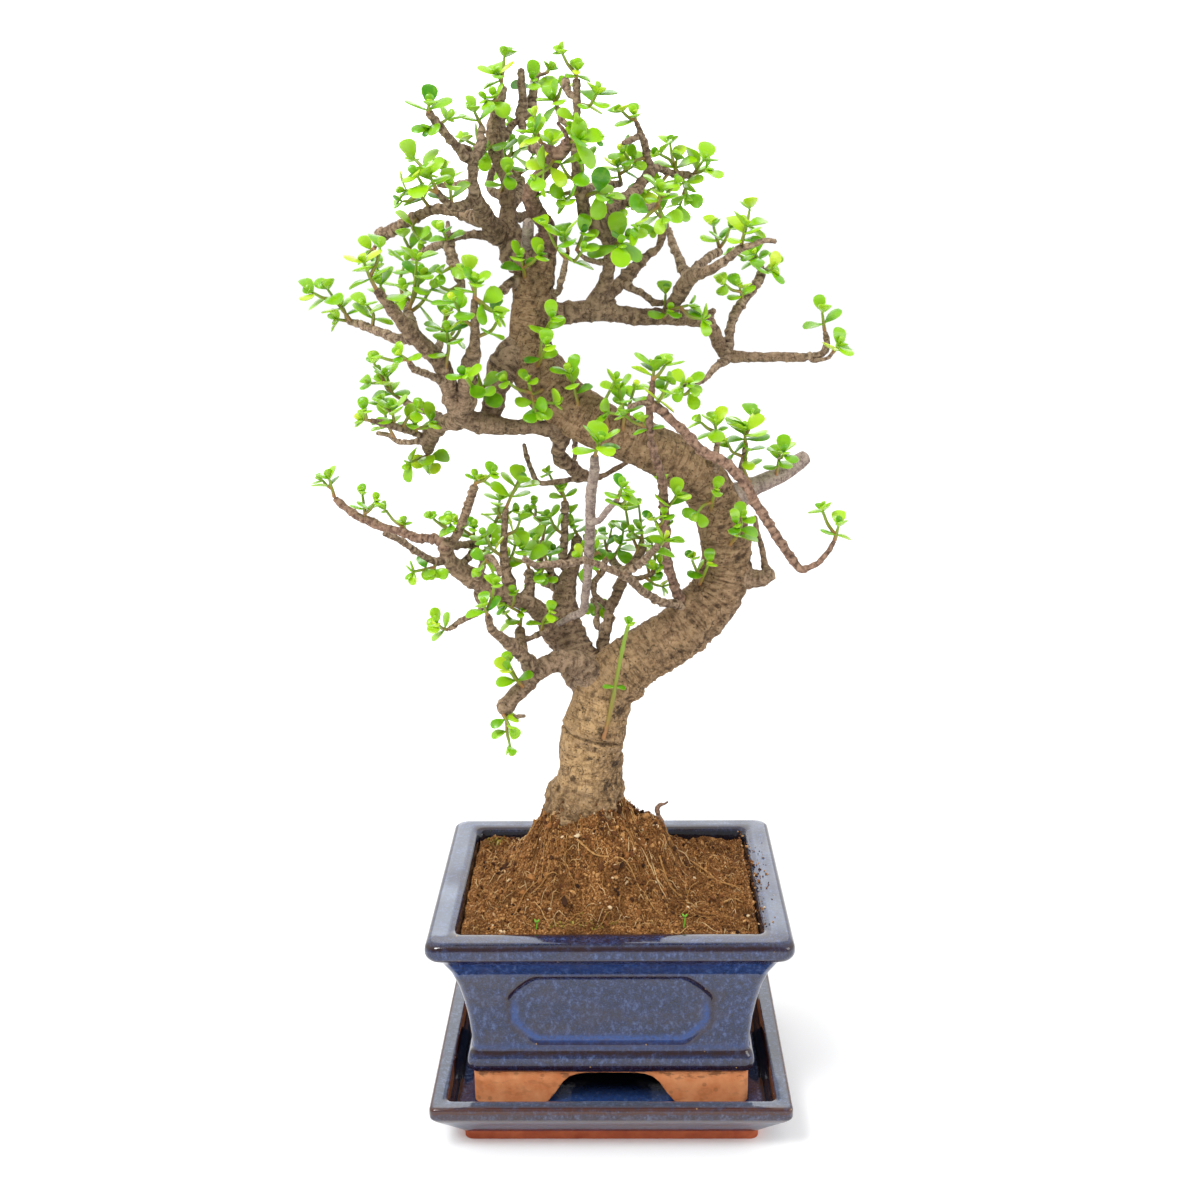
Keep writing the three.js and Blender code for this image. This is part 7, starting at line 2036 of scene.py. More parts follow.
@dataclass(frozen=True)
class RingPlan:
    """How many points a level ring round a rectangle has on each side and corner."""

    long: int
    short: int
    corner: int

    def rings(self, half_x: Array, half_y: Array, corner: Array, z: Array) -> Array:
        """Level rings round rectangles with rounded corners, from the right end of the far side.

        A corner point is the corner's middle plus the radius at its turn; the sides run evenly
        from one corner's end to the next one's start.

        Args:
            half_x: Half widths, one a ring.
            half_y: Half depths.
            corner: Corner radii.
            z: Heights.

        Returns:
            Points, (rings, around, 3).
        """
        parts = []
        signs = ((1, 1), (-1, 1), (-1, -1), (1, -1))
        for number, (sx, sy) in enumerate(signs):
            turn = (number + np.arange(self.corner) / (self.corner - 1)) * math.pi / 2
            x = sx * (half_x - corner)[:, None] + corner[:, None] * np.cos(turn)
            y = sy * (half_y - corner)[:, None] + corner[:, None] * np.sin(turn)
            parts.append((x, y))
            nx, ny = signs[(number + 1) % 4]
            turn_end = (number + 1) * math.pi / 2
            ax = sx * (half_x - corner) + corner * math.cos(turn_end)
            ay = sy * (half_y - corner) + corner * math.sin(turn_end)
            bx = nx * (half_x - corner) + corner * math.cos(turn_end)
            by = ny * (half_y - corner) + corner * math.sin(turn_end)
            count = self.long if number % 2 == 0 else self.short
            share = np.arange(1, count + 1) / (count + 1)
            parts.append((ax[:, None] + np.outer(bx - ax, share),
                          ay[:, None] + np.outer(by - ay, share)))
        x = np.concatenate([p[0] for p in parts], axis=1)
        y = np.concatenate([p[1] for p in parts], axis=1)
        return np.stack([x, y, np.repeat(z[:, None], x.shape[1], axis=1)], axis=-1)


def grown(half: tuple[float, float], rows: Sequence[tuple[float, float, float]]
          ) -> list[tuple[float, ...]]:
    """Rows of growth, corner radius and height as half width, half depth, radius and height."""
    return [(growth + half[0], growth + half[1], corner, z) for growth, corner, z in rows]


def profile(rows: Sequence[tuple[float, ...]], step: float, round_off: int = 2) -> Array:
    """A profile's rows made dense along its length, with its corners rounded off.

    Each pass puts every point at a quarter of its neighbours' sum plus half of itself.

    Args:
        rows: Rows whose first value is a half width and whose last is the height.
        step: The wanted distance between rows in mm.
        round_off: How many passes.

    Returns:
        The dense rows.
    """
    table = np.array(rows, float)
    run = np.concatenate([[0.0], np.cumsum(np.hypot(np.diff(table[:, 0]), np.diff(table[:, -1])))])
    at = np.linspace(0, run[-1], int(run[-1] / step) + 2)
    dense = np.column_stack([np.interp(at, run, column) for column in table.T])
    for _ in range(round_off):
        dense[1:-1] = 0.5 * dense[1:-1] + 0.25 * (dense[:-2] + dense[2:])
    return dense


def outline_distance(x: Array, z: Array, outline: Array) -> Array:
    """How far points lie inside a closed outline, negative outside.

    The nearest distance to its straight pieces, with its sign from the count of pieces crossed.

    Args:
        x: The points' places across.
        z: Their heights.
        outline: The outline's corners, x and z.

    Returns:
        One distance a point.
    """
    a, b = outline, np.roll(outline, -1, axis=0)
    step = b - a
    way = np.stack([x, z], -1)[:, None] - a
    share = np.clip((way * step).sum(-1) / (step * step).sum(-1), 0, 1)
    away = np.linalg.norm(way - share[..., None] * step, axis=-1).min(axis=1)
    over = (a[:, 1] > z[:, None]) != (b[:, 1] > z[:, None])
    rise = np.where(step[:, 1] == 0, 1e-9, step[:, 1])
    cross = x[:, None] < a[:, 0] + (z[:, None] - a[:, 1]) / rise * step[:, 0]
    inside = (over & cross).sum(axis=1) % 2 == 1
    return np.where(inside, away, -away)


def cut(piece: bpy.types.Object, cutters: Sequence[bpy.types.Object]) -> None:
    """Cuts closed shapes out of a closed piece and removes them.

    Args:
        piece: The piece.
        cutters: The shapes.
    """
    for cutter in cutters:
        modifier = piece.modifiers.new("cut", "BOOLEAN")
        modifier.operation = "DIFFERENCE"
        modifier.solver = "MANIFOLD"
        modifier.object = cutter
    graph = bpy.context.evaluated_depsgraph_get()
    mesh = bpy.data.meshes.new_from_object(piece.evaluated_get(graph), depsgraph=graph)
    piece.modifiers.clear()
    piece.data = mesh
    for cutter in cutters:
        bpy.data.objects.remove(cutter)


def prism(outline: Array, reach: float, across: bool) -> bpy.types.Object:
    """A closed prism of an outline in x and z, drawn out along y, or turned to run along x.

    Args:
        outline: The outline's corners.
        reach: How far it runs each way.
        across: Whether it runs along x.

    Returns:
        The prism.
    """
    ends = []
    for y in (-reach, reach):
        end = np.column_stack([outline[:, 0], np.full(len(outline), y), outline[:, 1]])
        ends.append(end[:, [1, 0, 2]] * [1, -1, 1] if across else end)
    return cutter(np.array(ends))


def cutter(rings: Array) -> bpy.types.Object:
    """A closed shape over rings, with its faces outwards.

    Args:
        rings: The rings, of equal counts.

    Returns:
        The shape.
    """
    skin = Skin("cutter", [])
    skin.add(Patch(*closed_skin(rings)))
    piece = skin.build()
    face_outwards(piece)
    return piece


def face_outwards(piece: bpy.types.Object) -> None:
    """Turns a closed piece's faces outwards, by the sign of its volume.

    The volume is a sixth of the sum of corner a dot (corner b cross corner c) over triangles.

    Args:
        piece: The piece.
    """
    mesh = piece.data
    mesh.calc_loop_triangles()
    corners = np.empty(len(mesh.loop_triangles) * 3, np.int32)
    mesh.loop_triangles.foreach_get("vertices", corners)
    points = np.empty(len(mesh.vertices) * 3)
    mesh.vertices.foreach_get("co", points)
    a, b, c = points.reshape(-1, 3)[corners.reshape(-1, 3)].transpose(1, 0, 2)
    if np.einsum("ij,ij->", a, np.cross(b, c)) < 0:
        mesh.flip_normals()


@dataclass
class Pot:
    """The glazed pot: curved walls over four feet, a round rim, and a sunk panel on its long
    sides."""

    glaze: bpy.types.Material
    clay: bpy.types.Material
    plan: RingPlan = RingPlan(118, 40, 8)
    step: float = 0.95

    def wall(self) -> Array:
        """The outside's rows, from the foot to the rim.

        Returns:
            Rows of half width, half depth, corner radius and height.
        """
        foot = [(0, 4, POT_BOTTOM), (0, 4, 31), (1.0, 4, 31.4), (2.3, 4, 33.4), (2.5, 4, 36.4),
                (1.8, 4, 39.6), (0.5, 4, 41.2), (0.3, 4, 43), (0.4, 4, 48), (1.2, 4, 57),
                (2.6, 4, 66), (4.6, 4, 75), (7.2, 4, 83), (10.8, 4, 90.0)]
        rim = [(-4.0, 4.5, 92.4), (-1.0, 5.5, 94.2), (0, 5.5, 96.6), (-0.1, 5.5, 99.6),
               (-0.9, 5.5, 101.2), (-2.6, 5, POT_TOP)]
        return profile(grown(POT_FOOT_HALF, foot) + grown(POT_HALF, rim), self.step, 1)

    def inside(self) -> Array:
        """The inside's rows, from the rim's top to the floor.

        Returns:
            Rows of half width, half depth, corner radius and height.
        """
        rows = [(-2.4, 7, POT_TOP), (-7, 5, POT_TOP), (-12.0, 4, POT_TOP - 0.2),
                (-12.9, 4, POT_TOP - 1.6), (-14.4, 4, 90), (-18.6, 4, 75), (-21.8, 4, 57),
                (-23, 4, POT_FLOOR + 3), (-26, 3, POT_FLOOR)]
        return profile(grown(POT_HALF, rows), 1.6, 2)[1:]

    @staticmethod
    def panel_outline() -> Array:
        """The eight-sided panel with curved corners.

        Returns:
            Its corners, x and z.
        """
        side = np.array([[1, 0.34], [0.975, 0.47], [0.87, 0.74], [0.8, 0.9], [0.73, 1]])
        quarter = side * PANEL_HALF
        right = np.concatenate([(quarter * [1, -1])[::-1], quarter])
        return np.concatenate([right, right[::-1] * [-1, 1]]) + [0, PANEL_HEIGHT]

    @staticmethod
    def arch(half: float) -> Array:
        """The bracket-shaped arch between two feet, with its corners rounded.

        Args:
            half: Half its width.

        Returns:
            Its corners, x and z.
        """
        side = np.array([[1.12, -0.2], [1.05, 0], [1.0, 0.12], [0.92, 0.3], [0.85, 0.5],
                         [0.78, 0.7], [0.68, 0.86], [0.56, 0.95], [0.4, 1]])
        right = side * [half, ARCH_TOP] + [0, POT_BOTTOM]
        return np.concatenate([right, right[::-1] * [-1, 1]])

    def shades(self, points: Array, panel: Array, inner: Array) -> Array:
        """How thin and thick the glaze lies, from the heights of the edges and the panel's rim,
        each a bell exp(-((z - middle) / width)^2).

        Args:
            points: Rows of x, y, z.
            panel: How far each point lies inside the panel, in mm.
            inner: Which points are on the pot's inside.

        Returns:
            Rows of thin, thick, painted shade, and clear of the pale mark on the rim's flat tops.
        """
        z = points[:, 2]
        ripple = 0.35 * noise(points, 7.0, 21)
        run = 1.8 * noise(points, (16.0, 16.0, 60.0), 22)
        run = run + 0.9 * noise(points, (3.0, 3.0, 30.0), 23)
        outer = np.maximum(np.abs(points[:, 0]) / POT_HALF[0], np.abs(points[:, 1]) / POT_HALF[1])

        def bell(middle: float, width: float) -> Array:
            """A bump along the height, exp(-((z - middle) / width)^2)."""
            return np.exp(-((z - middle + ripple) / width) ** 2)

        rim = (outer > 0.93) * (1.1 * bell(100.5, 1.1) + 0.9 * bell(94.6, 0.9))
        rim = rim + 0.5 * bell(91.4, 0.8)
        band = 1.2 * bell(31.8, 1.2) + 0.8 * bell(34.6, 1.8) + 1.1 * bell(40.9, 1.1)
        top = bell(102.0, 0.9) * smooth_step(0.872, 0.845, outer)
        line = np.exp(-((panel + 0.7) / 1.3) ** 2)
        upper = smooth_step(PANEL_HEIGHT - 3, PANEL_HEIGHT + 8, z)
        thin = np.clip(rim + band + top + line * (0.65 + 0.35 * upper), 0, 1)
        below = smooth_step(81 + run, 83.5 + run, z) * smooth_step(91.5, 90, z)
        pool = 1.3 * np.exp(-((panel - 1.9) / 1.5) ** 2) * (1 - upper) + 0.5 * bell(43.5, 1.6)
        # Painted shade on the pot's inside, below the rim's top.
        inner = inner & (z < POT_TOP - 1.2)
        # A pale mark on the rim's flat tops, kept off the front: partly a milky haze of the glaze,
        # partly a painted reflection of the bright sky.
        bloom_and_sheen = smooth_step(101.3, 101.9, z) * smooth_step(0.862, 0.885, outer)
        bloom_and_sheen = bloom_and_sheen * smooth_step(0.985, 0.965, outer) * (
            0.35 + 0.4 * noise(points, (9.0, 14.0, 9.0), 24))
        bloom_and_sheen = bloom_and_sheen * smooth_step(0.865, 0.835, -points[:, 1] / POT_HALF[1])
        return np.column_stack([thin * (1 - 0.6 * below), np.clip(pool + 0.3 * below, 0, 1),
                                0.85 * inner, 1 - np.clip(bloom_and_sheen, 0, 1)])

    def build(self) -> bpy.types.Object:
        """The pot in one closed piece: its outside, its inside, the panels sunk into its long
        sides, then its hollow foot, arches and drain holes cut out.

        Returns:
            The piece.
        """
        outer = self.plan.rings(*self.wall().T)
        inner = self.plan.rings(*self.inside().T)
        rings = np.concatenate([outer, inner])
        flat = rings[:len(outer)].reshape(-1, 3)
        panel = outline_distance(flat[:, 0], flat[:, 2], self.panel_outline())
        front = np.abs(flat[:, 1]) > POT_FOOT_HALF[1] - 1
        panel = np.where(front, panel, OUTSIDE_PANEL)
        sunk = 1.15 * PANEL_DEPTH * smooth_step(-0.7, 0.7, panel)
        flat[:, 1] -= np.sign(flat[:, 1]) * sunk
        rings[:len(outer)] = flat.reshape(outer.shape)
        points, faces = closed_skin(rings)
        distance = np.full(len(points), OUTSIDE_PANEL)
        distance[:len(flat)] = panel
        skin = Skin("glazed_pot", [self.glaze, self.clay])
        low = points[faces].mean(axis=1)[:, 2] < GLAZE_EDGE
        shades = self.shades(points, distance, np.arange(len(points)) >= len(flat))
        foot = points[:, 2] < GLAZE_EDGE + 0.3
        shades[foot, 0] = smooth_step(24, 31, points[foot, 2])
        skin.add(Patch(points, faces, 0, shades))
        piece = skin.build()
        piece.data.polygons.foreach_set("material_index", low.astype(np.int32))
        under = POT_BOTTOM + ARCH_HEIGHT
        half = [POT_FOOT_HALF[0] - FOOT_WALL, POT_FOOT_HALF[1] - FOOT_WALL]
        hollow = np.array([[-half[0], POT_BOTTOM - 3], [half[0], POT_BOTTOM - 3], [half[0], under],
                           [-half[0], under]])
        cutters = [prism(hollow, half[1], False), prism(self.arch(ARCH_HALF[0]), 90, False),
                   prism(self.arch(ARCH_HALF[1]), 90, True)]
        turn = np.arange(24) * math.pi / 12
        for x in DRAIN_HOLES:
            cutters.append(cutter(np.array([
                np.column_stack([x + DRAIN_RADIUS * np.cos(turn), DRAIN_RADIUS * np.sin(turn),
                                 np.full(len(turn), z)]) for z in (under - 2, POT_FLOOR + 2)])))
        cut(piece, cutters)
        return piece


@dataclass
class Tray:
    """The drip tray: flared glazed walls over an unglazed foot."""

    glaze: bpy.types.Material
    clay: bpy.types.Material
    plan: RingPlan = RingPlan(60, 48, 8)

    def build(self) -> bpy.types.Object:
        """The tray in one closed piece: its outside and inside as rings, then its floor.

        Returns:
            The piece.
        """
        base = [(0, 4, 0.0), (0, 4, 0.4), (0.2, 4, TRAY_FOOT_HEIGHT),
                (1.2, 4.5, TRAY_FOOT_HEIGHT + 0.2)]
        wall = [(-6, 3, 12), (-1.8, 3, 16.6), (-0.5, 2.6, 18.4), (0, 2.6, 19.4),
                (0, 2.6, TRAY_TOP - 0.8), (-0.6, 2.6, TRAY_TOP - 0.1), (-1.6, 2.6, TRAY_TOP),
                (-6.4, 3, TRAY_TOP - 0.3), (-7.6, 3, TRAY_TOP - 1.3), (-10.2, 3, TRAY_FLOOR + 1.5),
                (-12, 3, TRAY_FLOOR)]
        rows = grown(TRAY_BASE_HALF, base) + grown(TRAY_HALF, wall)
        dense = profile(rows, 0.6, 1)
        dense[0] = rows[0]
        rings = self.plan.rings(*dense.T)
        share = np.array([0.85, 0.6, 0.3])[:, None, None]
        floor = rings[-1:] * np.concatenate([share, share, np.ones_like(share)], axis=-1)
        rings = np.concatenate([rings, floor])
        points, faces = closed_skin(rings)
        skin = Skin("drip_tray", [self.glaze, self.clay])
        skin.add(Patch(points, faces, 0, self.shades(points)))
        piece = skin.build()
        low = points[faces].mean(axis=1)[:, 2] < TRAY_FOOT_HEIGHT + 0.15
        piece.data.polygons.foreach_set("material_index", low.astype(np.int32))
        return piece

    @staticmethod
    def shades(points: Array) -> Array:
        """Thin glaze along the rim's two edges and the wall's foot, painted shade on the inner walls
        and on the floor under the pot, and a pale mark on the rim's top, partly a milky haze and
        partly a painted sky reflection.

        Args:
            points: Rows of x, y, z.

        Returns:
            Rows of thin, thick, painted shade, and clear of the pale mark on the rim's top.
        """
        z = points[:, 2] + 0.3 * noise(points, 6.0, 31)
        x, y = np.abs(points[:, 0]), np.abs(points[:, 1])
        edge = np.maximum(x - TRAY_HALF[0], y - TRAY_HALF[1])
        wide = np.where(y - TRAY_HALF[1] > x - TRAY_HALF[0], 1.6, 0.9)
        outer = np.exp(-((edge + 0.6 * wide) / wide) ** 2) * smooth_step(
            TRAY_TOP - 3.2, TRAY_TOP - 1.6, z)
        inner = np.exp(-((edge + 7.5) / 0.9) ** 2) * (z > TRAY_TOP - 2.6)
        skirt = 0.8 * np.exp(-((z - 5.4) / 0.9) ** 2)
        face = (0.4 * smooth_step(17.5, 19.5, z) * (z < TRAY_TOP - 1.5)
                + 0.9 * np.exp(-((z - 17.6) / 0.8) ** 2)) * (edge > -6)
        # Painted shade on the inner walls, and darker still on the floor under the pot.
        walls = ((edge < -7.3) & (points[:, 2] > TRAY_FLOOR + 0.6)) * 0.75
        walls = walls + 0.92 * ((x < POT_FOOT_HALF[0] - 1) & (y < POT_FOOT_HALF[1] - 4))
        thin = np.clip(outer + inner + skirt + face, 0, 1)
        pool = smooth_step(-11.5, -14, edge) * (points[:, 2] < TRAY_FLOOR + 2) * 0.8
        # A pale mark on the rim's top: partly a milky haze of the glaze, partly a painted reflection
        # of the bright sky.
        bloom_and_sheen = smooth_step(TRAY_TOP - 0.8, TRAY_TOP - 0.3, points[:, 2]) * smooth_step(
            -7.2, -6.2, edge) * smooth_step(-0.8, -1.8, edge)
        return np.column_stack([thin, np.clip(pool, 0, 1), walls, 1 - 0.3 * bloom_and_sheen])


@dataclass
class SoilBed:
    """The soil: a rough mound up to the trunk, with fibres, crumbs, roots, moss and seedlings."""

    peat: bpy.types.Material
    fibre: bpy.types.Material
    crumb: bpy.types.Material
    moss: bpy.types.Material
    sprout: bpy.types.Material
    trunk_foot: tuple[float, float] = (-9.5, 0.0)
    roots: tuple[tuple[tuple[float, float], ...], ...] = (
        ((-19, -14), (-25, -17), (-29, -25), (-36, -27), (-41, -35)),
        ((22, -14), (27, -21), (35, -23), (38, -29), (46, -31)),
        ((36, 12), (45, 8), (49, -2), (58, -6), (60, -14)),
        ((-14, -22), (-6, -27), (6, -26), (13, -30)),
        ((50, -20), (55, -16), (59, -19)))

    @staticmethod
    def height(x: Array, y: Array) -> Array:
        """The height of the bed: its edge plus the mound, 0.55 rise + 0.45 rise squared, where
        rise falls evenly from 1 at the stem to 0 at the mound's reach, plus long waves and a heap
        of fibre round the stem, 19 to 28 mm / (1 + (distance / 33)^4), lower on its right, and
        there a clump of roots, 10 exp(-((x - 22.5) / 8)^2 - ((y + 3) / 11)^2).

        Args:
            x: The places across.
            y: The places in depth.

        Returns:
            The heights.
        """
        away = np.hypot(x + 8, y * 1.15)
        rise = np.maximum(0, 1 - away / MOUND_REACH)
        rough = 1.1 * np.sin(0.31 * x + 1.3 * np.sin(0.21 * y))
        rough = rough * np.cos(0.27 * y + 0.9 * np.sin(0.17 * x))
        heap = 25 + 3 * smooth_step(-28, -12, x + 0.3 * y) - 9 * smooth_step(-8, 14, x + 0.4 * y)
        heap = heap / (1 + (np.hypot(x + 6, y) / 33) ** 4)
        heap = heap + 10 * np.exp(-((x - 22.5) / 8) ** 2 - ((y + 3) / 11) ** 2)
        return SOIL_EDGE + MOUND_RISE * (0.55 * rise + 0.45 * rise * rise) + rough + heap

    def rough_height(self, x: Array, y: Array) -> Array:
        """The bed's height with clods 6.5 mm, lumps 3 mm and crumbs 1.6 mm wide on it.

        Args:
            x: The places across.
            y: The places in depth.

        Returns:
            The heights.
        """
        flat = np.column_stack([x, y, np.zeros(len(x))])
        near = smooth_step(34, 18, np.hypot(x + 8, y))
        clod = (1.2 + 2.6 * near) * noise(flat, 6.5, 51)
        clod = clod + (1.3 + near) * np.abs(noise(flat, 3.0, 52))
        return self.height(x, y) + clod + 0.8 * noise(flat, 1.6, 53)

    def bed(self) -> bpy.types.Object:
        """The soil's closed solid. Its top is 74 rings that go from the pot's wall to a small ring
        round the stem, and from a rectangle to an ellipse.

        Returns:
            The piece.
        """
        plan = RingPlan(90, 70, 4)
        rows = ((-26.4, 3, POT_FLOOR + 0.4), (-23.5, 3.6, POT_FLOOR + 3.4), (-22.3, 3.6, 57),
                (-19.1, 3.6, 75), (-14.9, 3.6, 90), (-13.9, 3.6, 94))
        sides = plan.rings(*np.array(grown(POT_HALF, rows)).T)
        share = np.linspace(1, 0.12, 74)[:, None]
        rim = sides[-1]
        drawn = np.arctan2(rim[:, 1], rim[:, 0])
        blend = 1 - share * share
        x = share * (rim[:, 0] * (1 - blend) + 56 * np.cos(drawn) * blend) - 8 * (1 - share)
        y = share * (rim[:, 1] * (1 - blend) + 50 * np.sin(drawn) * blend)
        top = np.stack([x, y, self.rough_height(x.ravel(), y.ravel()).reshape(x.shape)], -1)
        points, faces = closed_skin(np.concatenate([sides, top]))
        skin = Skin("peat_bed", [self.peat])
        skin.add(Patch(points, faces))
        return skin.build(math.radians(180))

    def scatter(self, rng: np.random.Generator, count: int, near: float) -> tuple[Array, Array]:
        """Places on the bed, a share of them gathered near the trunk's foot.

        Args:
            rng: The draws.
            count: How many.
            near: The share that is gathered.

        Returns:
            x and y.
        """
        x = rng.uniform(-60.5, 60.5, count)
        y = rng.uniform(-46, 46, count)
        gather = rng.random(count) < near
        turn = rng.uniform(0, 2 * math.pi, count)
        reach = 15 + np.abs(rng.normal(0, 15, count))
        x = np.where(gather, self.trunk_foot[0] + reach * np.cos(turn), x)
        y = np.where(gather, self.trunk_foot[1] + reach * np.sin(turn), y)
        return self.kept_in(x, y)

    @staticmethod
    def kept_in(x: Array, y: Array, spare: float = 0.0) -> tuple[Array, Array]:
        """Places kept inside the bed's edge and a spare mm past it."""
        return (np.clip(x, -SOIL_HALF[0] - spare, SOIL_HALF[0] + spare),
                np.clip(y, -SOIL_HALF[1] - spare, SOIL_HALF[1] + spare))

    def fibres(self, count: int, thick: tuple[float, float], long: tuple[float, float], near: float,
               seed: int, steps: int, spread: float) -> Patch:
        """Curved threads that lie on the bed: along each the direction turns evenly and wavers,
        and the height is the bed's plus a low hump.

        Args:
            count: How many.
            thick: Least and most radius in mm.
            long: Least and most length in mm.
            near: The share gathered near the trunk.
            seed: Starts the draws.
            steps: Rings along each.
            spread: How far their headings stray from straight out, in radians.

        Returns:
            The patch, with a draw for each thread as its first shade.
        """
        rng = np.random.default_rng(seed)
        x0, y0 = self.scatter(rng, count, near)
        length = rng.uniform(*long, count)[:, None]
        radius = rng.uniform(*thick, count)[:, None]
        out = np.arctan2(y0 - self.trunk_foot[1], x0 - self.trunk_foot[0])
        heading = (out + rng.normal(0, spread, count))[:, None]
        share = np.linspace(0, 1, steps)[None]
        bend = rng.normal(0, 0.7, (count, 1)) * share + 0.3 * np.sin(
            share * rng.uniform(3, 9, (count, 1)) + rng.uniform(0, 6, (count, 1)))
        angle = heading + bend
        step = length / (steps - 1)
        x = x0[:, None] + np.cumsum(np.cos(angle) * step, axis=1) - step / 2
        y = y0[:, None] + np.cumsum(np.sin(angle) * step, axis=1) - step / 2
        x, y = self.kept_in(x, y, 0.2)
        hump = rng.uniform(0.1, 2.0, (count, 1)) * np.sin(math.pi * share) ** 2
        z = self.rough_height(x.ravel(), y.ravel()).reshape(x.shape) + radius * 0.6 + hump
        places = np.stack([x, y, z], -1)
        along = unit(np.gradient(places, axis=1))
        side = unit(np.cross(along, [0.0, 0.0, 1.0]))
        other = np.cross(side, along)
        turn = np.arange(4) * math.pi / 2
        taper = np.sin(math.pi * (0.12 + 0.8 * share)) ** 0.4 * radius
        rings = (places[:, :, None] + taper[..., None, None] * (
            side[:, :, None] * np.cos(turn)[:, None] + other[:, :, None] * np.sin(turn)[:, None]))
        body = rings.reshape(count, -1, 3)
        points = np.concatenate([body, rings[:, :1].mean(2), rings[:, -1:].mean(2)], axis=1)
        size = points.shape[1]
        return Patch(points.reshape(-1, 3), repeated(ring_faces(steps, len(turn)), count, size), 0,
                     one_draw_each(rng, count, size))

    def crumbs(self, count: int, sizes: tuple[float, float], near: float, seed: int,
               places: Array | None = None) -> Patch:
        """Crumbs: twenty-faced balls, each pulled about its own corners and flattened.

        Args:
            count: How many.
            sizes: Least and most radius in mm.
            near: The share gathered near the trunk.
            seed: Starts the draws.
            places: Where they lie, if not on the bed.

        Returns:
            The patch, with a draw for each crumb as its first shade.
        """
        rng = np.random.default_rng(seed)
        gold = (1 + math.sqrt(5)) / 2
        ball = unit(np.array([[-1, gold, 0], [1, gold, 0], [-1, -gold, 0], [1, -gold, 0],
                              [0, -1, gold], [0, 1, gold], [0, -1, -gold], [0, 1, -gold],
                              [gold, 0, -1], [gold, 0, 1], [-gold, 0, -1], [-gold, 0, 1]]))
        corners = np.array([[0, 11, 5], [0, 5, 1], [0, 1, 7], [0, 7, 10], [0, 10, 11],
                            [1, 5, 9], [5, 11, 4], [11, 10, 2], [10, 7, 6], [7, 1, 8],
                            [3, 9, 4], [3, 4, 2], [3, 2, 6], [3, 6, 8], [3, 8, 9],
                            [4, 9, 5], [2, 4, 11], [6, 2, 10], [8, 6, 7], [9, 8, 1]])
        face = corners[:, [0, 1, 2, 2]]
        size = len(ball)
        radius = sizes[0] + (sizes[1] - sizes[0]) * rng.random(count) ** 3
        pull = 1 + rng.uniform(-0.45, 0.45, (count, size, 1))
        squash = rng.uniform(0.4, 1.2, (count, 1, 3))
        spin = np.linalg.qr(rng.normal(size=(count, 3, 3)))[0]
        spin *= np.sign(np.linalg.det(spin))[:, None, None]
        shapes = np.einsum("nkc,ncd->nkd", ball[None] * pull * squash, spin) * radius[:, None, None]
        if places is None:
            x, y = self.scatter(rng, count, near)
            places = np.column_stack([x, y, self.rough_height(x, y) + 0.25 * radius])
        return Patch((shapes + places[:, None]).reshape(-1, 3), repeated(face, count, size), 0,
                     one_draw_each(rng, count, size))

    def threads(self) -> bpy.types.Object:
        """Coconut fibres, fine roots and stout root ends, in one piece.

        Returns:
            The piece.
        """
        skin = Skin("coir_fibres", [self.fibre])
        skin.add(self.fibres(2300, (0.08, 0.2), (1.5, 5.5), 0.15, 61, 5, 3.0))
        skin.add(self.fibres(130, (0.14, 0.3), (7, 18), 0.25, 62, 9, 2.6))
        for number, root in enumerate(self.roots):
            skin.add(self.root(root, number))
        return skin.build(math.radians(180))

    def root(self, route: tuple[tuple[float, float], ...], number: int) -> Patch:
        """One stout root that runs down over the bed, thinner to its end and a little knotted.

        Args:
            route: Its way, x and y.
            number: Which root it is.

        Returns:
            The patch.
        """
        line = np.array(route, float)
        places = np.column_stack([line, self.height(line[:, 0], line[:, 1]) + 1.0])
        tube = Tube.through(places, np.linspace(0.5, 0.2, len(line)), 0.5)

        def knots(_: Tube, turn: Array, run: Array) -> Array:
            """A share of the radius that swells and shrinks along, 1 + 0.3 sin(1.9 run)."""
            return 1 + 0.3 * np.sin(run[:, None] * 1.9 + number + np.cos(turn)[None])

        skin = tube.skin(8, knots)
        skin.shades = np.full((len(skin.points), 4), 0.6 + 0.04 * number)
        return skin

    def bits(self) -> bpy.types.Object:
        """Crumbs of peat and bark over the bed, with some spilled on the right of the rim.

        Returns:
            The piece.
        """
        skin = Skin("peat_crumbs", [self.crumb])
        skin.add(self.crumbs(4200, (0.3, 1.3), 0.3, 71))
        skin.add(self.crumbs(260, (0.9, 2.2), 0.8, 74))
        rng = np.random.default_rng(72)
        x = 61.8 + 11 * rng.random(420) ** 5
        y = rng.normal(0, 22, 420).clip(-44, 46)
        places = np.column_stack([x, y, POT_TOP + 0.15 - 0.5 * smooth_step(74.5, 77, x)])
        skin.add(self.crumbs(420, (0.25, 0.9), 0, 73, places))
        return skin.build(math.radians(20))

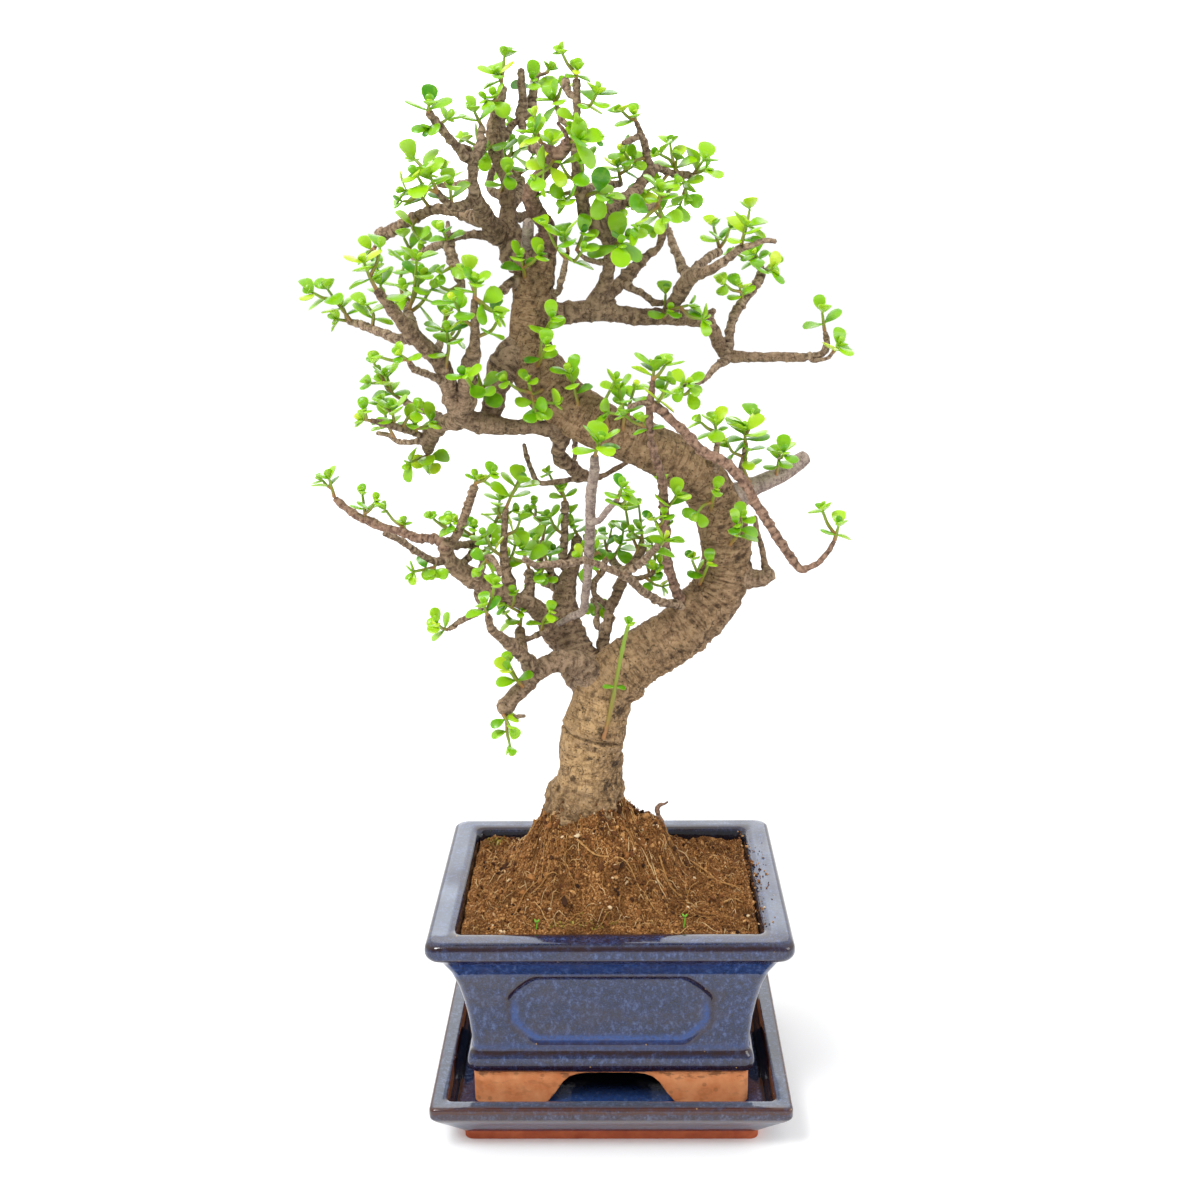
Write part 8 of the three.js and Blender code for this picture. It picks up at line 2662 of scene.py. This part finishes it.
    def sprouts(self) -> bpy.types.Object:
        """Two green seedlings near the front, each a thin stem with seed leaves, and moss.

        Returns:
            The piece.
        """
        skin = Skin("moss_and_seedlings", [self.sprout, self.moss])
        for x, y, tall in ((-31.5, -45.0, 2.2), (31.5, -42.5, 4.2)):
            foot = float(self.rough_height(np.array([x]), np.array([y]))[0])
            t = np.linspace(0, 1, 5)
            places = np.column_stack([x + 0.6 * np.sin(2 * t), y + 0.3 * t,
                                      foot - 1 + (tall + 1) * t])
            skin.add(Tube.through(places, np.full(5, 0.35), 0.6).skin(6))
            for k in range(3):
                turn = 2.1 * k + 0.4
                way = np.array([1.3 * math.cos(turn), 1.3 * math.sin(turn), 1.5])
                blade = places[-1] + np.outer(t, way)
                skin.add(Tube.through(blade, np.array([0.2, 0.35, 0.45, 0.35, 0.15]), 0.4).skin(6))
        rng = np.random.default_rng(81)
        x = np.concatenate([-55 + rng.normal(0, 2.6, 90), rng.uniform(-25, 5, 90)])
        y = np.concatenate([42 + rng.normal(0, 1.8, 90), -44 + rng.normal(0, 1.2, 90)])
        x, y = self.kept_in(x, y)
        places = np.column_stack([x, y, self.rough_height(x, y) + 0.2])
        tufts = self.crumbs(len(x), (0.3, 0.9), 0, 82, places)
        tufts.finish = 1
        skin.add(tufts)
        return skin.build(math.radians(180))


# ---- floor, light and camera ----

def turned_to(x: Array, y: Array, z: Array, place: Array) -> Matrix:
    """The matrix of an object whose own axes are x, y and z and which stands at a place."""
    return Matrix([[x[i], y[i], z[i], place[i]] for i in range(3)] + [[0, 0, 0, 1]])


@dataclass(frozen=True)
class Camera:
    """The photograph's camera: how it is turned, and its frame. It stands at the eye."""

    pitch: float = 16.186
    yaw: float = 0.973
    roll: float = -0.639
    focal_px: float = 1420.74
    frame_px: float = 1200.0
    sensor: float = 36.0

    def build(self) -> bpy.types.Object:
        """Sets the scene's camera: its look direction goes down by pitch and left by yaw.

        Returns:
            The camera.
        """
        pitch, yaw, roll = (math.radians(a) for a in (self.pitch, self.yaw, self.roll))
        look = np.array([-math.sin(yaw) * math.cos(pitch), math.cos(yaw) * math.cos(pitch),
                         -math.sin(pitch)])
        right = np.array([math.cos(yaw), math.sin(yaw), 0.0])
        up = np.cross(right, look)
        turned = right * math.cos(roll) + up * math.sin(roll)
        upward = -right * math.sin(roll) + up * math.cos(roll)
        data = bpy.data.cameras.new("camera")
        data.sensor_width = self.sensor
        data.lens = self.focal_px / self.frame_px * self.sensor
        data.clip_start, data.clip_end = 0.01, 20
        eye = placed("camera", data)
        eye.matrix_world = turned_to(turned, upward, -look, EYE * MM)
        bpy.context.scene.camera = eye
        return eye


@dataclass(frozen=True)
class Studio:
    """A pale floor before a white wall of light, in a room that is dim behind the camera, with a
    large key light."""

    floor_half: float = 30.0
    sky: float = 1.25
    room: float = 0.48
    middle: tuple[float, float, float] = (0.0, 0.0, 0.22)
    lamps: tuple[tuple[str, tuple[float, float, float], float, float], ...] = (
        ("key_light", (-0.7, -0.9, 1.6), 0.6, 22),
        ("fill_light", (1.3, -0.7, 0.8), 0.7, 6),
        ("back_light", (0.0, 1.9, 0.9), 1.6, 8))

    def lamp(self, name: str, place: tuple[float, float, float], size: float,
             power: float) -> None:
        """A square soft light, turned to the tree's middle.

        Args:
            name: The lamp's name.
            place: Where it hangs, in metres.
            size: Its side in metres.
            power: Its power in watts.
        """
        data = bpy.data.lights.new(name, "AREA")
        data.shape, data.size, data.energy = "SQUARE", size, power
        lamp = placed(name, data)
        lamp.visible_camera = False
        z = unit(np.array(place) - np.array(self.middle))
        x = unit(np.cross([0.0, 0.0, 1.0], z))
        lamp.matrix_world = turned_to(x, np.cross(z, x), z, place)

    def build(self) -> None:
        """Makes the floor, the sky and the lights."""
        half = self.floor_half
        mesh = bpy.data.meshes.new("floor")
        corners = [(-half, -half, 0), (half, -half, 0), (half, half, 0), (-half, half, 0)]
        mesh.from_pydata(corners, [], [(0, 1, 2, 3)])
        floor = placed("floor", mesh)
        material, tree = start("pale_floor")
        surface(tree, {"Base Color": linear("#FFFFFF"), "Roughness": 1.0,
                       "Specular IOR Level": 0.0})
        mesh.materials.append(material)
        world = bpy.data.worlds.new("soft_sky")
        world.use_nodes = True
        world.node_tree.nodes.clear()
        tree = world.node_tree
        way = add(tree, "ShaderNodeTexCoord").outputs["Generated"]
        ahead = add(tree, "ShaderNodeSeparateXYZ", {"Vector": way}).outputs["Y"]
        light = level(tree, ahead, -0.75, 0.1, self.room, self.sky)
        seen = add(tree, "ShaderNodeLightPath").outputs["Is Camera Ray"]
        light = total(tree, light, product(tree, seen, 1.0))
        back = add(tree, "ShaderNodeBackground", {"Color": linear("#FFFFFF"), "Strength": light})
        add(tree, "ShaderNodeOutputWorld", {"Surface": back.outputs[0]})
        bpy.context.scene.world = world
        for lamp in self.lamps:
            self.lamp(*lamp)
        scene = bpy.context.scene
        scene.view_settings.view_transform = "Standard"
        scene.view_settings.look = "None"


def seat(piece: bpy.types.Object, slot: str, *nodes: str) -> None:
    """Makes a piece ride on the part, hides the frame's nodes that it stands for, and logs its face
    count.

    Args:
        piece: The piece.
        slot: Not used.
        nodes: The nodes of the frame that it stands for.
    """
    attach(piece, "root")
    if nodes:
        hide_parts(*nodes)
    LOG.info("%s: %d faces", piece.name, len(piece.data.polygons))


def main() -> None:
    """Builds the pot, the tray, the soil, the tree and the studio."""
    logging.basicConfig(level=logging.INFO, format="%(name)s %(message)s")
    Camera().build()
    Studio().build()

    pot_glaze = Glaze("pot_glaze", "#0C1226", "#1C2950", "#566A98", "#240C0A", "#1A4284",
                      "#362D33").build()
    tray_glaze = Glaze("tray_glaze", "#151A28", "#2B3752", "#697B9C", "#482416", "#244482",
                       "#3A3235").build()
    seat(Pot(pot_glaze, Terracotta("foot_clay").build()).build(), "pot_glaze", "pot")
    tray_clay = Terracotta("tray_clay", "#B5603F", "#9C4A30", "#5B2F20", 0.2).build()
    seat(Tray(tray_glaze, tray_clay).build(), "tray_glaze", "tray")
    plastic = Plastic().build()
    for name in ("drain_screen_left", "drain_screen_right"):
        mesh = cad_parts[name].data
        mesh.materials.clear()
        mesh.materials.append(plastic)

    fibre = Litter("coir_thread", ((0.0, "#5E3A1E"), (0.5, "#8F6233"), (0.82, "#C3965C"),
                                   (1.0, "#E9CA98"))).build()
    crumb = Litter("peat_crumb", ((0.0, "#2E1B10"), (0.3, "#6E4323"), (0.7, "#A06C3B"),
                                  (0.93, "#C6965E"), (1.0, "#E2CBA6"))).build()
    moss = Litter("moss", ((0.0, "#5E4F22"), (0.6, "#86762F"), (1.0, "#A8964A"))).build()
    sprout = Litter("seedling", ((0.0, "#5FA02A"), (1.0, "#8CCB45")), 0.5).build()
    bed = SoilBed(Peat("peat").build(), fibre, crumb, moss, sprout)
    seat(bed.bed(), "soil", "soil")
    seat(bed.threads(), "soil")
    seat(bed.bits(), "soil")
    seat(bed.sprouts(), "foliage")

    barks = [
        Bark(BarkKind.TRUNK, "#AC8F6D", "#8A6C4E", "#4A3524", 0.7, 0.5, 0.5,
             ("#C3A072", "#92724A"), scars=TRUNK_SCARS).build(),
        Bark(BarkKind.LIMB, "#AE9478", "#886F58", "#483628", 0.6, 0.45, 0.35, cracks=0.6).build(),
        Bark(BarkKind.TWIG, "#B69E84", "#826A54", "#3F2E22", 0.5, 0.35, 0.35, cracks=0.4).build(),
        Bark(BarkKind.RED, "#A58670", "#7B5E4D", "#473229", 0.4, 0.25, 0.3, cracks=0.3).build(),
        Bark(BarkKind.GREY, "#B9A899", "#95837A", "#5B4B45", 0.4, 0.2, 0.4, cracks=0.2).build(),
    ]
    stems = grow_stems()
    tree = Tree(stems, barks, GreenShoot().build(), LeafSkin().build())
    seat(tree.wood(), "bark", "wood")
    for number, branch in enumerate(plan_branches(stems)):
        seat(tree.branch(branch, number), "foliage", branch.name)


if __name__ == "__main__":
    main()
